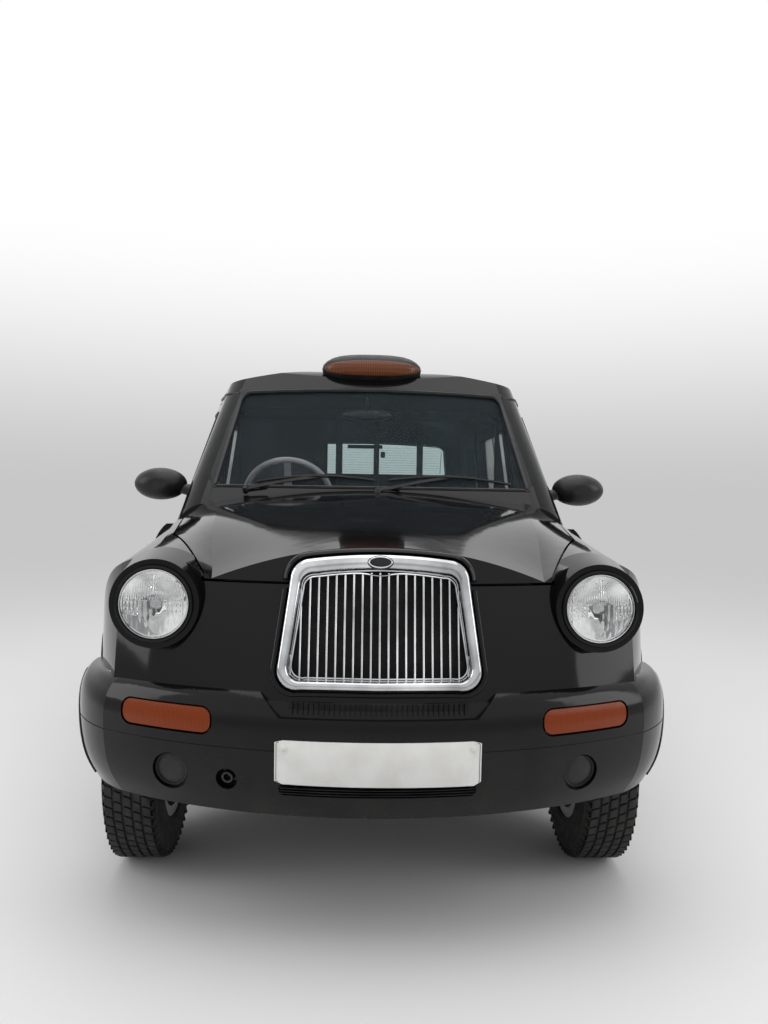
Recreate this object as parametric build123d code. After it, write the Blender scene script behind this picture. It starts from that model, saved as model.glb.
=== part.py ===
from build123d import *
import os
from functools import lru_cache
from math import asin, cos, radians, sin, sqrt

# A London-style black taxi cab, right-hand drive, with four doors, a bonnet and a boot lid.
# X runs across (+X is the cab's left side), Y runs along it (the front is at -Y), Z is up.
# The origin is on the ground below the middle of the cab. Lengths are in millimetres.

# Main sizes
LENGTH = 4580
FRONT_OVERHANG = 790
WHEELBASE = 2886
TRACK = 1462
FRONT_Y = -LENGTH / 2
REAR_Y = LENGTH / 2
FRONT_AXLE_Y = FRONT_Y + FRONT_OVERHANG
REAR_AXLE_Y = FRONT_AXLE_Y + WHEELBASE

# Tyres, wheels and the parts that carry them
TYRE_R = 340
TYRE_WIDTH = 178
RIM_R = 204
RIM_FLANGE_R = 216
RIM_WIDTH = 150
RIM_WALL = 6
DISC_OUT = 48
HUB_R = 62
TRIM_SLOTS = 12
AXLE_STUB_R = 22
BEARING_CLEARANCE = 0.05
SEAT_GAP = 0.3
KINGPIN_HALF = 631
KNUCKLE_HALF_HEIGHT = 110
ARCH_R = 405
LINER_WALL = 8

# Gaps round moving panels, and walls. A lip behind each gap is what a closed panel lies on.
SHUT_GAP = 7
PANEL_WALL = 25
CAB_WALL = 45
LIP_WALL = 10
LIP_REACH = 12
HINGE_ROOM = 70
FRAME_WALL = CAB_WALL + LIP_WALL
GLASS_SET = 12
GLASS_WALL = 6
WINDOW_CORNER_R = 42

# Side section of the body: half widths and heights from sill to waist
SILL_Z = 265
SILL_HALF = 815
CHINE_HALF = 864
CHINE_Z = 345
BULGE_HALF = 885
BULGE_Z = 640
BELT_HALF = 850
BELT_Z = 960
SHOULDER_HALF = 834
SHOULDER_Z = 1035
WAIST_HALF = 800
WAIST_Z = 1078

# Glasshouse
SCREEN_BASE_Y = -1000
SCREEN_BASE_Z = 1222
SCREEN_TOP_Y = -604
SCREEN_TOP_Z = 1652
SCREEN_SAG = 50
SCREEN_HALF = 628
SCREEN_TAPER = 0.129
PILLAR_HALF = 737
PILLAR_TAPER = 0.2
PILLAR_DEPTH = 130
SIDE_RUN = 1250
GLASS_MID_HALF = 768
GLASS_MID_Z = 1310
CANT_HALF = 735
CANT_Z = 1540
RAIL_HALF = 706
RAIL_Z = 1640
GUTTER_HALF = 620
GUTTER_Z = 1705
ROOF_Z = 1780
REAR_BODY_Y = 2225
BACKLIGHT_BASE = (1975, 1340)
BACKLIGHT_TOP = (1842, 1580)

# Nose: wide arc of its plan, and how far its face leans back per millimetre of height
NOSE_Y = -2235
NOSE_PLAN_R = 1300
NOSE_HALF = 890
NOSE_CORNER_X = 720
NOSE_SIDE_Y = -1480
NOSE_SWELL = 0.565
NOSE_LEAN = 0.2156
NOSE_REF_Z = 740
NOSE_FOOT_Z = 664
NOSE_SPLIT_Y = -1985
SCUTTLE_Y = -1010

# Sections of the nose, front to back.
# y, crest half width, crest z, shoulder half width, shoulder z,
# inner half width, inner z, bonnet edge half width, bonnet edge z, bonnet middle z
NOSE_SECTIONS = [
    (-2330, 560, 985, 745, 925, 500, 978, 430, 936, 1030),
    (-2100, 604, 1012, 764, 944, 530, 1004, 446, 968, 1070),
    (-1620, 672, 1054, 792, 966, 600, 1074, 520, 1092, 1148),
    (-1200, 716, 1088, 812, 1000, 642, 1128, 560, 1158, 1197),
    (-940, 745, 1116, 830, 1012, 682, 1164, 590, 1194, 1227),
]

# Bonnet
BONNET_LIP_Z = 965
BONNET_REAR_Y = -1136

# Doors
DOOR_SILL_Z = 335
DOOR_FRONT_Y = -985
PILLAR_B_HALF = 22
REAR_DOOR_END_Y = 1085
DOOR_TOP_Z = 1618
PILLAR_SHOW = 42
WINDOW_SILL_Z = 1112
WINDOW_TOP_Z = 1562
WINDOW_BORDER = 62
DOOR_ARCH_R = 462

# Boot lid
BOOT_HALF = 605
BOOT_BASE_Z = 704
BOOT_TOP_Z = 1256

# Bumpers: levels of the beam as height and how far the face stands back there
FRONT_LEVELS = [(375, 48), (430, 20), (505, 4), (585, 0), (645, 8), (678, 26), (692, 52)]
REAR_LEVELS = [(385, 40), (425, 12), (480, 2), (600, 0), (655, 10), (690, 40)]
BUMPER_HALF = 882
BUMPER_CORNER_X = 740
BUMPER_SWELL = 0.66
BUMPER_END_Y = -1760
BUMPER_TOP_Z = 692
BUMPER_WALL = 30
REAR_BUMPER_R = 3200
REAR_CORNER_X = 782
REAR_SWELL = 0.72
VENT_LEDGE_Z = 632

# Grille
GRILLE_BARS = 21
GRILLE_PITCH = 22.3
GRILLE_BAR = 9
GRILLE_DEPTH = 38
GRILLE_BASE_Z = 697
GRILLE_TOP_Z = 1046
GRILLE_BASE_HALF = 258
GRILLE_TOP_HALF = 226
GRILLE_RIM = 32
GRILLE_LEAN = 12.2

# Lamps, plates and signs
LAMP_HALF = 592
LAMP_Z = 899
LAMP_Y = -2128
LAMP_R = 104
LAMP_DEPTH = 118
LENS_R = 90
LENS_RISE = 15
LENS_WALL = 5
REFLECTOR_DEPTH = 84
INDICATOR = (250, 62)
INDICATOR_X = 553
INDICATOR_Z = 613
TOW_HOLE = (-383, 468, 28)
BLANK_R = 50
BLANK_X = 537
BLANK_Z = 470
SEAM_Z = 550
TAIL_LAMP_Z = (735, 1010)
PLATE = (520, 111)
FRONT_PLATE_Z = 525
REAR_PLATE_Z = 845
SIGN_Y = -488
MIRROR_CENTRE = (882, -752, 1237)
# Levels of a mirror's shell: depth from its centre, half width, half height
MIRROR_LEVELS = [(-62, 38, 20), (-50, 70, 42), (-24, 98, 60), (8, 108, 67), (34, 105, 64)]
# Levels of the roof sign: z, half width, half depth
SIGN_LEVELS = [(1716, 168, 58), (1752, 222, 84), (1790, 216, 82), (1820, 172, 62), (1834, 110, 36)]

# Inside
FLOOR_Z = 325
FLOOR_WALL = 20
FLOOR_REAR_Z = 520
FLOOR_RISE = (930, 1070)
PARTITION_Y = 75
DRIVER_X = -362
STEERING_CENTRE = (DRIVER_X, -555, 1186)
STEERING_R = 190
STEERING_TILT = 30
COLUMN_R = 14


def steps_to_edges(start, steps):
    """Lines and arcs from start: a step is an end point, or (middle, end) for an arc."""
    edges = []
    here = start
    for step in steps:
        if isinstance(step[0], tuple):
            middle, end = step
            edges.append(ThreePointArc(here, middle, end))
        else:
            end = step
            edges.append(Line(here, end))
        here = end
    return edges


def outline(start, steps):
    """A face bounded by the steps and a line back to start."""
    return make_face(steps_to_edges(start, [*steps, start]))


def flip(point):
    """A point moved to the other side of the middle plane."""
    return (-point[0], point[1])


def mirrored(start, steps, crown=None, keel=None):
    """A face symmetric about the middle, from its right half.

    The far end closes with an arc through crown and the near end with one through keel, or with lines.
    """
    ends = [start] + [step[1] if isinstance(step[0], tuple) else step for step in steps]
    back = []
    for index in range(len(steps) - 1, -1, -1):
        step = steps[index]
        end = flip(ends[index])
        back.append((flip(step[0]), end) if isinstance(step[0], tuple) else end)
    top = (crown, flip(ends[-1])) if crown else flip(ends[-1])
    close = (keel, start) if keel else start
    return make_face(steps_to_edges(start, [*steps, top, *back, close]))


def along_x(face, low, high):
    """A prism of a face drawn in (y, z), from x = low to x = high."""
    return extrude(Plane.YZ.offset(low) * face, amount=high - low)


def along_y(face, low, high):
    """A prism of a face drawn in (x, z), from y = low to y = high."""
    return extrude(Plane.XZ.offset(-high) * face, amount=high - low)


def along_z(face, low, high):
    """A prism of a face drawn in (x, y), from z = low to z = high."""
    return extrude(Plane.XY.offset(low) * face, amount=high - low)


def block(x_low, x_high, y_low, y_high, z_low, z_high):
    """A box from its corners."""
    size = (x_high - x_low, y_high - y_low, z_high - z_low)
    centre = ((x_low + x_high) / 2, (y_low + y_high) / 2, (z_low + z_high) / 2)
    return Pos(*centre) * Box(*size)


def disc_x(radius, low, high, y, z):
    """A cylinder lying along X."""
    return Pos((low + high) / 2, y, z) * Rot(0, 90, 0) * Cylinder(radius, high - low)


def disc_y(radius, low, high, x, z):
    """A cylinder lying along Y."""
    return Pos(x, (low + high) / 2, z) * Rot(90, 0, 0) * Cylinder(radius, high - low)


def dome(edge, base, rise):
    """An arc step from (edge, base) to the axis, centred on the axis that it is turned about."""
    radius = (edge**2 + rise**2) / (2 * abs(rise))
    way = 1 if rise > 0 else -1
    half = asin(edge / radius) / 2
    middle = (radius * sin(half), base + rise - way * radius * (1 - cos(half)))
    return middle, (0, base + rise)


def other_side(shape):
    """The mirror image of a shape on the cab's other side."""
    return mirror(shape, Plane.YZ)


def both_sides(shape):
    """A shape on one side and its mirror image on the other."""
    return Part() + [*shape.solids(), *other_side(shape).solids()]


def screen_y(z):
    """Where the windscreen's middle line lies at a height."""
    lean = (SCREEN_TOP_Y - SCREEN_BASE_Y) / (SCREEN_TOP_Z - SCREEN_BASE_Z)
    return SCREEN_BASE_Y + (z - SCREEN_BASE_Z) * lean


def pillar_y(z):
    """Where the rear edge of the windscreen pillar lies at a height."""
    return screen_y(z) + PILLAR_DEPTH + PILLAR_SHOW


def nose_y(z):
    """Where the middle of the nose's front face lies at a height."""
    return NOSE_Y + (z - NOSE_REF_Z) * NOSE_LEAN


def screen_half(z):
    """Half the windscreen's width at a height."""
    return SCREEN_HALF + (SCREEN_BASE_Z - z) * SCREEN_TAPER


def front_plan(front, inset, half, corner_x, side_y, back_y, swell, plan_radius=NOSE_PLAN_R):
    """The plan of a nose or bumper: one wide arc, a corner arc each side and straight flanks.

    Swell is how far out the corner arc's middle lies between the wide arc's end and the flank.
    """
    radius = plan_radius - inset
    middle = front + inset
    corner = corner_x - inset
    corner_y = middle + radius - sqrt(radius**2 - corner**2)
    flank = half - inset
    mid_x = corner + (flank - corner) * swell
    mid_y = corner_y + (side_y - corner_y) * 0.42
    right = [(flank, side_y), ((mid_x, mid_y), (corner, corner_y))]
    return mirrored((flank, back_y), right, (0, middle))


@lru_cache
def nose_body(inset, foot):
    """The nose from bumper to scuttle, moved in by inset, with its underside at foot."""
    sections = []
    for y, crest, crest_z, shoulder, shoulder_z, inner, inner_z, edge, edge_z, middle_z in NOSE_SECTIONS:
        right = [
            (CHINE_HALF - inset, CHINE_Z),
            ((BULGE_HALF - inset, BULGE_Z), (846 - inset, 800)),
            ((shoulder - inset, shoulder_z - inset / 2), (crest - inset / 2, crest_z - inset)),
            ((inner - inset / 4, inner_z - inset), (edge, edge_z - inset)),
        ]
        face = mirrored((SILL_HALF - inset, foot), right, (0, middle_z - inset))
        sections.append(Plane.XZ.offset(-y) * face)
    plans = []
    for z in (240, 1260):
        face = front_plan(nose_y(z), inset, NOSE_HALF, NOSE_CORNER_X, NOSE_SIDE_Y, -880, NOSE_SWELL)
        plans.append(Plane.XY.offset(z) * face)
    return loft(sections) & loft(plans, ruled=True)


def cab_side_face(inset):
    """The cab's outline from the side, from scuttle over the roof to the boot and back."""
    steps = [
        (SCUTTLE_Y + inset, SCREEN_BASE_Z - 8),
        (SCREEN_TOP_Y - 10 + inset, SCREEN_TOP_Z - 4 - inset / 4),
        ((-520, 1733 - inset), (-330, 1766 - inset)),
        ((350, ROOF_Z + 2 - inset), (1050, 1763 - inset)),
        ((1500, 1712 - inset), (BACKLIGHT_TOP[0] - inset, BACKLIGHT_TOP[1] - inset / 3)),
        (BACKLIGHT_BASE[0] - inset, BACKLIGHT_BASE[1] - inset / 3),
        ((2022 - inset, 1284 - inset / 2), (2090 - inset, 1232 - inset / 2)),
        ((2190 - inset, 1110), (REAR_BODY_Y - 8 - inset, 900)),
        (REAR_BODY_Y - inset, 640),
        (REAR_BODY_Y - inset, 140),
    ]
    return outline((SCUTTLE_Y + inset, 140), steps)


def lower_section(inset, foot):
    """The section across the cab below its waist."""
    right = [
        (CHINE_HALF - inset, CHINE_Z),
        ((BULGE_HALF - inset, BULGE_Z), (BELT_HALF - inset, BELT_Z)),
        ((SHOULDER_HALF - inset, SHOULDER_Z), (WAIST_HALF - inset, WAIST_Z)),
    ]
    return mirrored((SILL_HALF - inset, foot), right)


def cab_lower(inset, foot):
    """The cab below its waist."""
    section = lower_section(inset, foot)
    flank = 910 - inset
    corner = [
        (flank, 1700),
        ((866 - inset, 1985), (765 - inset, 2140 - inset)),
    ]
    plan = mirrored((flank, -1100), corner, (0, REAR_BODY_Y + 1 - inset))
    return along_y(section, -1100, REAR_Y) & along_z(plan, 100, 1200)


def cab_upper(inset):
    """The cab above its waist: sides and roof by one section, screen and corners by two plans."""
    right = [
        (WAIST_HALF - inset, WAIST_Z),
        ((GLASS_MID_HALF - inset, GLASS_MID_Z), (CANT_HALF - inset, CANT_Z)),
        ((RAIL_HALF - inset, RAIL_Z - inset / 2), (GUTTER_HALF - inset / 2, GUTTER_Z - inset)),
    ]
    section = mirrored((WAIST_HALF + 8 - inset, 1000), right, (0, ROOF_Z - inset))
    plans = []
    for z, rear, corner_x in ((990, REAR_BODY_Y + 36, 742), (1850, 1740, 560)):
        front = screen_y(z) + inset
        flank = 925 - inset
        pillar = PILLAR_HALF + (SCREEN_BASE_Z - z) * PILLAR_TAPER - inset
        steps = [
            ((flank - 42, rear - 215), (flank, rear - 500)),
            (flank, front + SIDE_RUN),
            (pillar, front + PILLAR_DEPTH),
            ((pillar - 22, front + 84), (screen_half(z) - inset, front + SCREEN_SAG)),
        ]
        start = (corner_x - inset, rear - inset - 88)
        plans.append(Plane.XY.offset(z) * mirrored(start, steps, (0, front), (0, rear - inset)))
    return along_y(section, -1400, REAR_Y) & loft(plans, ruled=True)


@lru_cache
def cab_body(inset, foot):
    """The whole cab behind the scuttle, moved in by inset."""
    whole = cab_lower(inset, foot) + cab_upper(inset)
    return whole & along_x(cab_side_face(inset), -950, 950)


def grown(points, gap):
    """A straight-sided outline moved outwards by gap."""
    face = make_face(Polyline(*points, close=True))
    return offset(face, gap, kind=Kind.INTERSECTION) if gap else face


def window_pane(points):
    """A window's outline with rounded corners."""
    return fillet(make_face(Polyline(*points, close=True)).vertices(), WINDOW_CORNER_R)


def hinge_strip(y_low, y_high):
    """The strip of a side outline between two places along the cab, where a door needs its room to turn."""
    return Pos((y_low + y_high) / 2, 1000) * Rectangle(y_high - y_low, 2400)


def door_front_face(gap=0.0):
    """Side outline of a front door."""
    points = [
        (DOOR_FRONT_Y, DOOR_SILL_Z),
        (DOOR_FRONT_Y, WAIST_Z - 20),
        (pillar_y(WAIST_Z + 110), WAIST_Z + 110),
        (pillar_y(1548), 1548),
        (pillar_y(1548) + 108, DOOR_TOP_Z - 6),
        (-PILLAR_B_HALF, DOOR_TOP_Z),
        (-PILLAR_B_HALF, DOOR_SILL_Z),
    ]
    return grown(points, gap)


def door_rear_face(gap=0.0):
    """Side outline of a rear door, cut away round the wheel arch."""
    points = [
        (PILLAR_B_HALF, DOOR_SILL_Z),
        (PILLAR_B_HALF, DOOR_TOP_Z),
        (REAR_DOOR_END_Y - 150, DOOR_TOP_Z),
        (REAR_DOOR_END_Y - 30, 1548),
        (REAR_DOOR_END_Y, WAIST_Z),
        (REAR_DOOR_END_Y, DOOR_SILL_Z),
    ]
    arch = Pos(REAR_AXLE_Y, TYRE_R) * Circle(DOOR_ARCH_R - gap)
    return grown(points, gap) - arch


def window_front_face():
    """Side outline of a front door's window."""
    rear = -PILLAR_B_HALF - WINDOW_BORDER
    return window_pane(
        [
            (pillar_y(WINDOW_SILL_Z) + WINDOW_BORDER, WINDOW_SILL_Z),
            (pillar_y(WINDOW_TOP_Z) + WINDOW_BORDER, WINDOW_TOP_Z),
            (rear, WINDOW_TOP_Z),
            (rear, WINDOW_SILL_Z),
        ]
    )


def window_rear_face():
    """Side outline of a rear door's window."""
    front = PILLAR_B_HALF + WINDOW_BORDER
    rear = REAR_DOOR_END_Y - WINDOW_BORDER
    return window_pane(
        [
            (front, WINDOW_SILL_Z),
            (front, WINDOW_TOP_Z),
            (rear - 80, WINDOW_TOP_Z),
            (rear, WINDOW_SILL_Z + 240),
            (rear, WINDOW_SILL_Z),
        ]
    )


def window_quarter_face():
    """Side outline of the fixed window behind a rear door."""
    front = REAR_DOOR_END_Y + WINDOW_BORDER
    return window_pane(
        [
            (front + 13, WINDOW_SILL_Z + 16),
            (front - 20, WINDOW_TOP_Z - 18),
            (front + 290, WINDOW_TOP_Z - 22),
            (front + 425, 1310),
            (front + 385, WINDOW_SILL_Z + 16),
        ]
    )


def screen_face():
    """Front outline of the windscreen."""
    top = screen_half(SCREEN_TOP_Z)
    steps = [
        (top - 4, SCREEN_TOP_Z - 34),
        ((top - 20, SCREEN_TOP_Z - 14), (top - 56, SCREEN_TOP_Z - 6)),
    ]
    return mirrored((SCREEN_HALF - 4, SCREEN_BASE_Z + 8), steps, (0, SCREEN_TOP_Z + 8))


def backlight_face():
    """Rear outline of the rear window."""
    return mirrored((596, 1370), [(570, 1545), (520, 1575)], (0, 1592))


def boot_face(gap=0.0):
    """Rear outline of the boot lid."""
    steps = [
        (BOOT_HALF + gap, BOOT_TOP_Z - 120),
        (BOOT_HALF - 25 + gap, BOOT_TOP_Z - 26 + gap),
        (BOOT_HALF - 70 + gap, BOOT_TOP_Z + gap),
    ]
    return mirrored((BOOT_HALF - 8 + gap, BOOT_BASE_Z - gap), steps)


def bonnet_plan(gap=0.0):
    """Plan outline of the bonnet."""
    steps = [
        (466 + gap, -2100),
        (643 + gap, -1620),
        (700 + gap, -1200),
        (706 + gap, BONNET_REAR_Y + 14 + gap),
    ]
    return mirrored((466 + gap, -2400), steps, (0, BONNET_REAR_Y + gap))


def bumper_beam(levels, inset, corner_x, side_y, swell, plan_radius):
    """A bumper's outer form, moved in by inset: a smooth skin over its plans at each level."""
    plans = []
    for z, back in levels:
        face = front_plan(FRONT_Y, back + inset, BUMPER_HALF, corner_x, side_y, -1500, swell, plan_radius)
        plans.append(Plane.XY.offset(z) * face)
    return loft(plans)


@lru_cache
def front_beam(inset):
    """The front bumper's outer form, moved in by inset."""
    return bumper_beam(FRONT_LEVELS, inset, BUMPER_CORNER_X, BUMPER_END_Y, BUMPER_SWELL, NOSE_PLAN_R)


def front_skin(outer, inner):
    """A layer of the front bumper between two depths below its face."""
    return front_beam(outer) - front_beam(inner)


def front_prism(width, height, x, z, radius):
    """A rounded rectangle in front view, run through the nose."""
    return along_y(Pos(x, z) * RectangleRounded(width, height, radius), -2500, -1800)


def make_front_bumper(nose):
    """The front bumper: a hollow beam with a ledge under the grille, an air slot and lamp pockets."""
    shape = front_skin(0, BUMPER_WALL)
    shape -= nose
    shape -= both_sides(disc_x(ARCH_R + LINER_WALL + SEAT_GAP, 340, 1000, FRONT_AXLE_Y, TYRE_R))
    shape -= block(-1000, 1000, BUMPER_END_Y, 0, 0, 1200)
    shape -= front_skin(-60, 20) & along_y(mirrored((250, VENT_LEDGE_Z), [(330, 720)]), -2500, -1800)
    shape -= front_prism(496, 34, 0, 454, 14)
    pocket = front_skin(-20, 22)
    width, height = INDICATOR
    for side in (-1, 1):
        tool = front_prism(width + 10, height + 10, side * INDICATOR_X, INDICATOR_Z, 30)
        shape -= pocket & tool
        shape -= front_skin(-20, 12) & disc_y(BLANK_R, -2500, -1800, side * BLANK_X, BLANK_Z)
    x, z, radius = TOW_HOLE
    shape -= front_skin(-20, 24) & disc_y(radius, -2500, -1800, x, z)
    return shape - (front_skin(-20, 2) & block(-1000, 1000, -2400, BUMPER_END_Y, SEAM_Z, SEAM_Z + 4))


def make_front_indicators():
    """Amber indicator lenses seated in the bumper's pockets."""
    width, height = INDICATOR
    layer = front_skin(3, 22 - SEAT_GAP)
    lens = layer & front_prism(width, height, INDICATOR_X, INDICATOR_Z, 25)
    return both_sides(lens)


def make_rear_bumper():
    """The rear bumper: a hollow beam round the tail."""
    outer, inner = (
        bumper_beam(REAR_LEVELS, inset, REAR_CORNER_X, -2070, REAR_SWELL, REAR_BUMPER_R)
        for inset in (0, BUMPER_WALL)
    )
    shape = (outer - inner) - block(-1000, 1000, -1915, 0, 0, 1200)
    return mirror(shape, Plane.XZ) - cab_body(-SEAT_GAP, 100)


def grille_outline(grow):
    """The grille's outline in its own leaning plane, grown by a margin."""
    base = GRILLE_BASE_Z - NOSE_REF_Z - grow
    top = GRILLE_TOP_Z - NOSE_REF_Z + grow
    low_half = GRILLE_BASE_HALF + grow
    top_half = GRILLE_TOP_HALF + grow
    steps = [
        ((low_half - 14, base + 18), (low_half, base + 62)),
        (top_half + 5, top - 66),
        ((top_half - 9, top - 30), (top_half - 46, top - 12)),
    ]
    return mirrored((low_half - 60, base + 4), steps, (0, top))


def in_grille(face, back, front):
    """A prism of a face drawn in the grille's leaning plane, from back to front along its normal."""
    lean = radians(GRILLE_LEAN)
    plane = Plane(origin=(0, NOSE_Y - 12, NOSE_REF_Z), x_dir=(1, 0, 0), z_dir=(0, -cos(lean), sin(lean)))
    return extrude(plane.offset(back) * face, amount=front - back)


def make_grille():
    """The chrome surround, its upright bars, the plate behind and a blank oval badge, one solid."""
    middle = (GRILLE_TOP_Z + GRILLE_BASE_Z) / 2 - NOSE_REF_Z
    inside = grille_outline(2 - GRILLE_RIM)
    shape = in_grille(grille_outline(0), -16, 22) - in_grille(grille_outline(-GRILLE_RIM), -20, 40)
    shape += in_grille(inside, -16, -10)
    bars = []
    for index in range(GRILLE_BARS):
        x = (index - (GRILLE_BARS - 1) / 2) * GRILLE_PITCH
        bars.append(Pos(x, middle) * Rectangle(GRILLE_BAR, 400))
    shape += in_grille((Sketch() + bars) & inside, -12, 8)
    badge = Pos(0, GRILLE_TOP_Z - NOSE_REF_Z - 24) * Ellipse(34, 17)
    return shape + in_grille(badge, 0, GRILLE_DEPTH - 10)


def make_headlamps():
    """Lamp bowls with a black rim, hollow behind the lens, one each side."""
    back = LAMP_Y + LAMP_DEPTH
    profile = outline(
        (0, back),
        [
            (LAMP_R, back),
            (LAMP_R, LAMP_Y + 6),
            ((LAMP_R - 3, LAMP_Y - 3), (LENS_R + 4, LAMP_Y - 6)),
            (LENS_R, LAMP_Y),
            dome(LENS_R, LAMP_Y, REFLECTOR_DEPTH),
        ],
    )
    bowl = revolve(profile, Axis.Y)
    return both_sides(Pos(LAMP_HALF, 0, LAMP_Z) * bowl)


def make_headlamp_lenses():
    """Domed glass lenses over the lamp bowls."""
    edge = LENS_R - SEAT_GAP
    front = LAMP_Y - 2
    back = front + LENS_WALL
    crown, _ = dome(edge, front, -LENS_RISE)
    profile = outline(
        (0, front - LENS_RISE),
        [(crown, (edge, front)), (edge, back), dome(edge, back, -LENS_RISE)],
    )
    return both_sides(Pos(LAMP_HALF, 0, LAMP_Z) * revolve(profile, Axis.Y))


def tail_lamp_zone(grow):
    """The block of space that a left tail lamp takes on the rear corner."""
    low, high = TAIL_LAMP_Z
    return block(672 - grow, 900, 2025 - grow, 2400, low - grow, high + grow)


def make_roof_sign(roof):
    """The illuminated sign's pebble-shaped housing, seated on the roof."""
    plans = [Plane.XY.offset(z) * (Pos(0, SIGN_Y) * Ellipse(x, y)) for z, x, y in SIGN_LEVELS]
    return loft(plans) - roof


def make_mirror(cab):
    """A left door mirror: an egg-shaped shell, cut flat for its glass, on a tapered foot."""
    x, y, z = MIRROR_CENTRE
    levels = [Plane.XZ.offset(-y - at) * (Pos(x, z) * Ellipse(wide, tall)) for at, wide, tall in MIRROR_LEVELS]
    shell = loft(levels)
    foot = loft(
        [
            Plane.YZ.offset(at) * (Pos(y + 6, low) * Ellipse(deep, tall))
            for at, low, deep, tall in ((700, z - 36, 40, 30), (x - 60, z - 14, 24, 20))
        ]
    )
    return (shell + foot) - cab


def make_wipers(screen_layer, foot_layer):
    """Two wipers parked low on the windscreen, each a blade and an arm from its spindle."""
    parts = []
    # blade start, crest and end, then spindle, as (x, z) in front view
    for blade_start, crest, blade_end, spindle in (
        ((-450, 1250), (-215, 1270), (10, 1262), (-500, 1214)),
        ((70, 1262), (310, 1274), (560, 1250), (20, 1212)),
    ):
        blade = Polyline(blade_start, crest, blade_end)
        arm = Polyline(spindle, crest)
        strip = Sketch() + [trace(blade, 14), trace(arm, 16)]
        parts.append(screen_layer & along_y(strip, -1300, -800))
        parts.append(foot_layer & disc_y(16, -1300, -800, *spindle))
    return (Part() + parts) - nose_body(-SEAT_GAP, 150)


def make_tyre(side, axle_y):
    """A tyre with rounded shoulders, turned about its axle."""
    half = TYRE_WIDTH / 2
    bead = RIM_WIDTH / 2 - RIM_WALL - SEAT_GAP
    lip = RIM_R + SEAT_GAP
    over = RIM_FLANGE_R + SEAT_GAP
    profile = outline(
        (-bead, lip),
        [
            (-bead, over),
            (-bead - 8, over),
            ((-half, 262), (-half + 12, TYRE_R - 30)),
            ((-half + 17, TYRE_R - 9), (-half + 34, TYRE_R)),
            (half - 34, TYRE_R),
            ((half - 17, TYRE_R - 9), (half - 12, TYRE_R - 30)),
            ((half, 262), (bead + 8, over)),
            (bead, over),
            (bead, lip),
        ],
    )
    ring = revolve(profile, Axis.X)
    return Pos(side * TRACK / 2, axle_y, TYRE_R) * ring


def make_wheel(side, axle_y):
    """A steel wheel with its slotted silver trim, turned about its axle."""
    half = RIM_WIDTH / 2
    inside = RIM_R - RIM_WALL - 14
    bore = AXLE_STUB_R + BEARING_CLEARANCE
    profile = outline(
        (-half, inside),
        [
            (-half, RIM_FLANGE_R),
            (-half + RIM_WALL, RIM_FLANGE_R),
            (-half + RIM_WALL, RIM_R),
            (half - RIM_WALL, RIM_R),
            (half - RIM_WALL, RIM_FLANGE_R),
            (half, RIM_FLANGE_R),
            (half, inside),
            (DISC_OUT + 8, inside - 8),
            ((DISC_OUT + 14, 110), (DISC_OUT + 2, HUB_R)),
            (DISC_OUT + 12, HUB_R - 10),
            (DISC_OUT + 12, bore),
            (-20, bore),
            (-20, HUB_R - 20),
            (DISC_OUT - 6, HUB_R),
            ((DISC_OUT + 6, 110), (DISC_OUT - 2, inside - 10)),
            (half - 28, inside),
        ],
    )
    ring = revolve(profile, Axis.X)
    slot = Pos(DISC_OUT, 0, 150) * Box(60, 30, 20)
    ring = ring - [Rot(index * 360 / TRIM_SLOTS, 0, 0) * slot for index in range(TRIM_SLOTS)]
    if side < 0:
        ring = other_side(ring)
    return Pos(side * TRACK / 2, axle_y, TYRE_R) * ring


def make_knuckle(side):
    """A front knuckle: an upright on the kingpin line, with its stub axle and steering arm."""
    post = Pos(KINGPIN_HALF, FRONT_AXLE_Y, TYRE_R) * Cylinder(28, 2 * KNUCKLE_HALF_HEIGHT)
    stub = disc_x(AXLE_STUB_R, KINGPIN_HALF, TRACK / 2 + DISC_OUT - 2, FRONT_AXLE_Y, TYRE_R)
    flange = disc_x(55, KINGPIN_HALF, KINGPIN_HALF + 34, FRONT_AXLE_Y, TYRE_R)
    arm = block(KINGPIN_HALF - 60, KINGPIN_HALF, FRONT_AXLE_Y + 10, FRONT_AXLE_Y + 120, 270, 292)
    shape = post + stub + flange + arm
    return shape if side > 0 else other_side(shape)


def make_front_suspension():
    """Upper and lower wishbones that hold the knuckles' posts between them."""
    near = KNUCKLE_HALF_HEIGHT + SEAT_GAP
    wishbone = outline(
        (KINGPIN_HALF + 30, FRONT_AXLE_Y - 26),
        [
            ((KINGPIN_HALF + 44, FRONT_AXLE_Y), (KINGPIN_HALF + 30, FRONT_AXLE_Y + 26)),
            (346, FRONT_AXLE_Y + 150),
            (346, FRONT_AXLE_Y + 90),
            (KINGPIN_HALF - 60, FRONT_AXLE_Y),
            (346, FRONT_AXLE_Y - 90),
            (346, FRONT_AXLE_Y - 150),
        ],
    )
    arms = [
        along_z(wishbone, TYRE_R - near - 24, TYRE_R - near),
        along_z(wishbone, TYRE_R + near, TYRE_R + near + 24),
        block(343 + SEAT_GAP, 350, FRONT_AXLE_Y - 170, FRONT_AXLE_Y + 170, TYRE_R - near - 24, TYRE_R + near + 24),
    ]
    return both_sides(Part() + arms)


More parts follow.
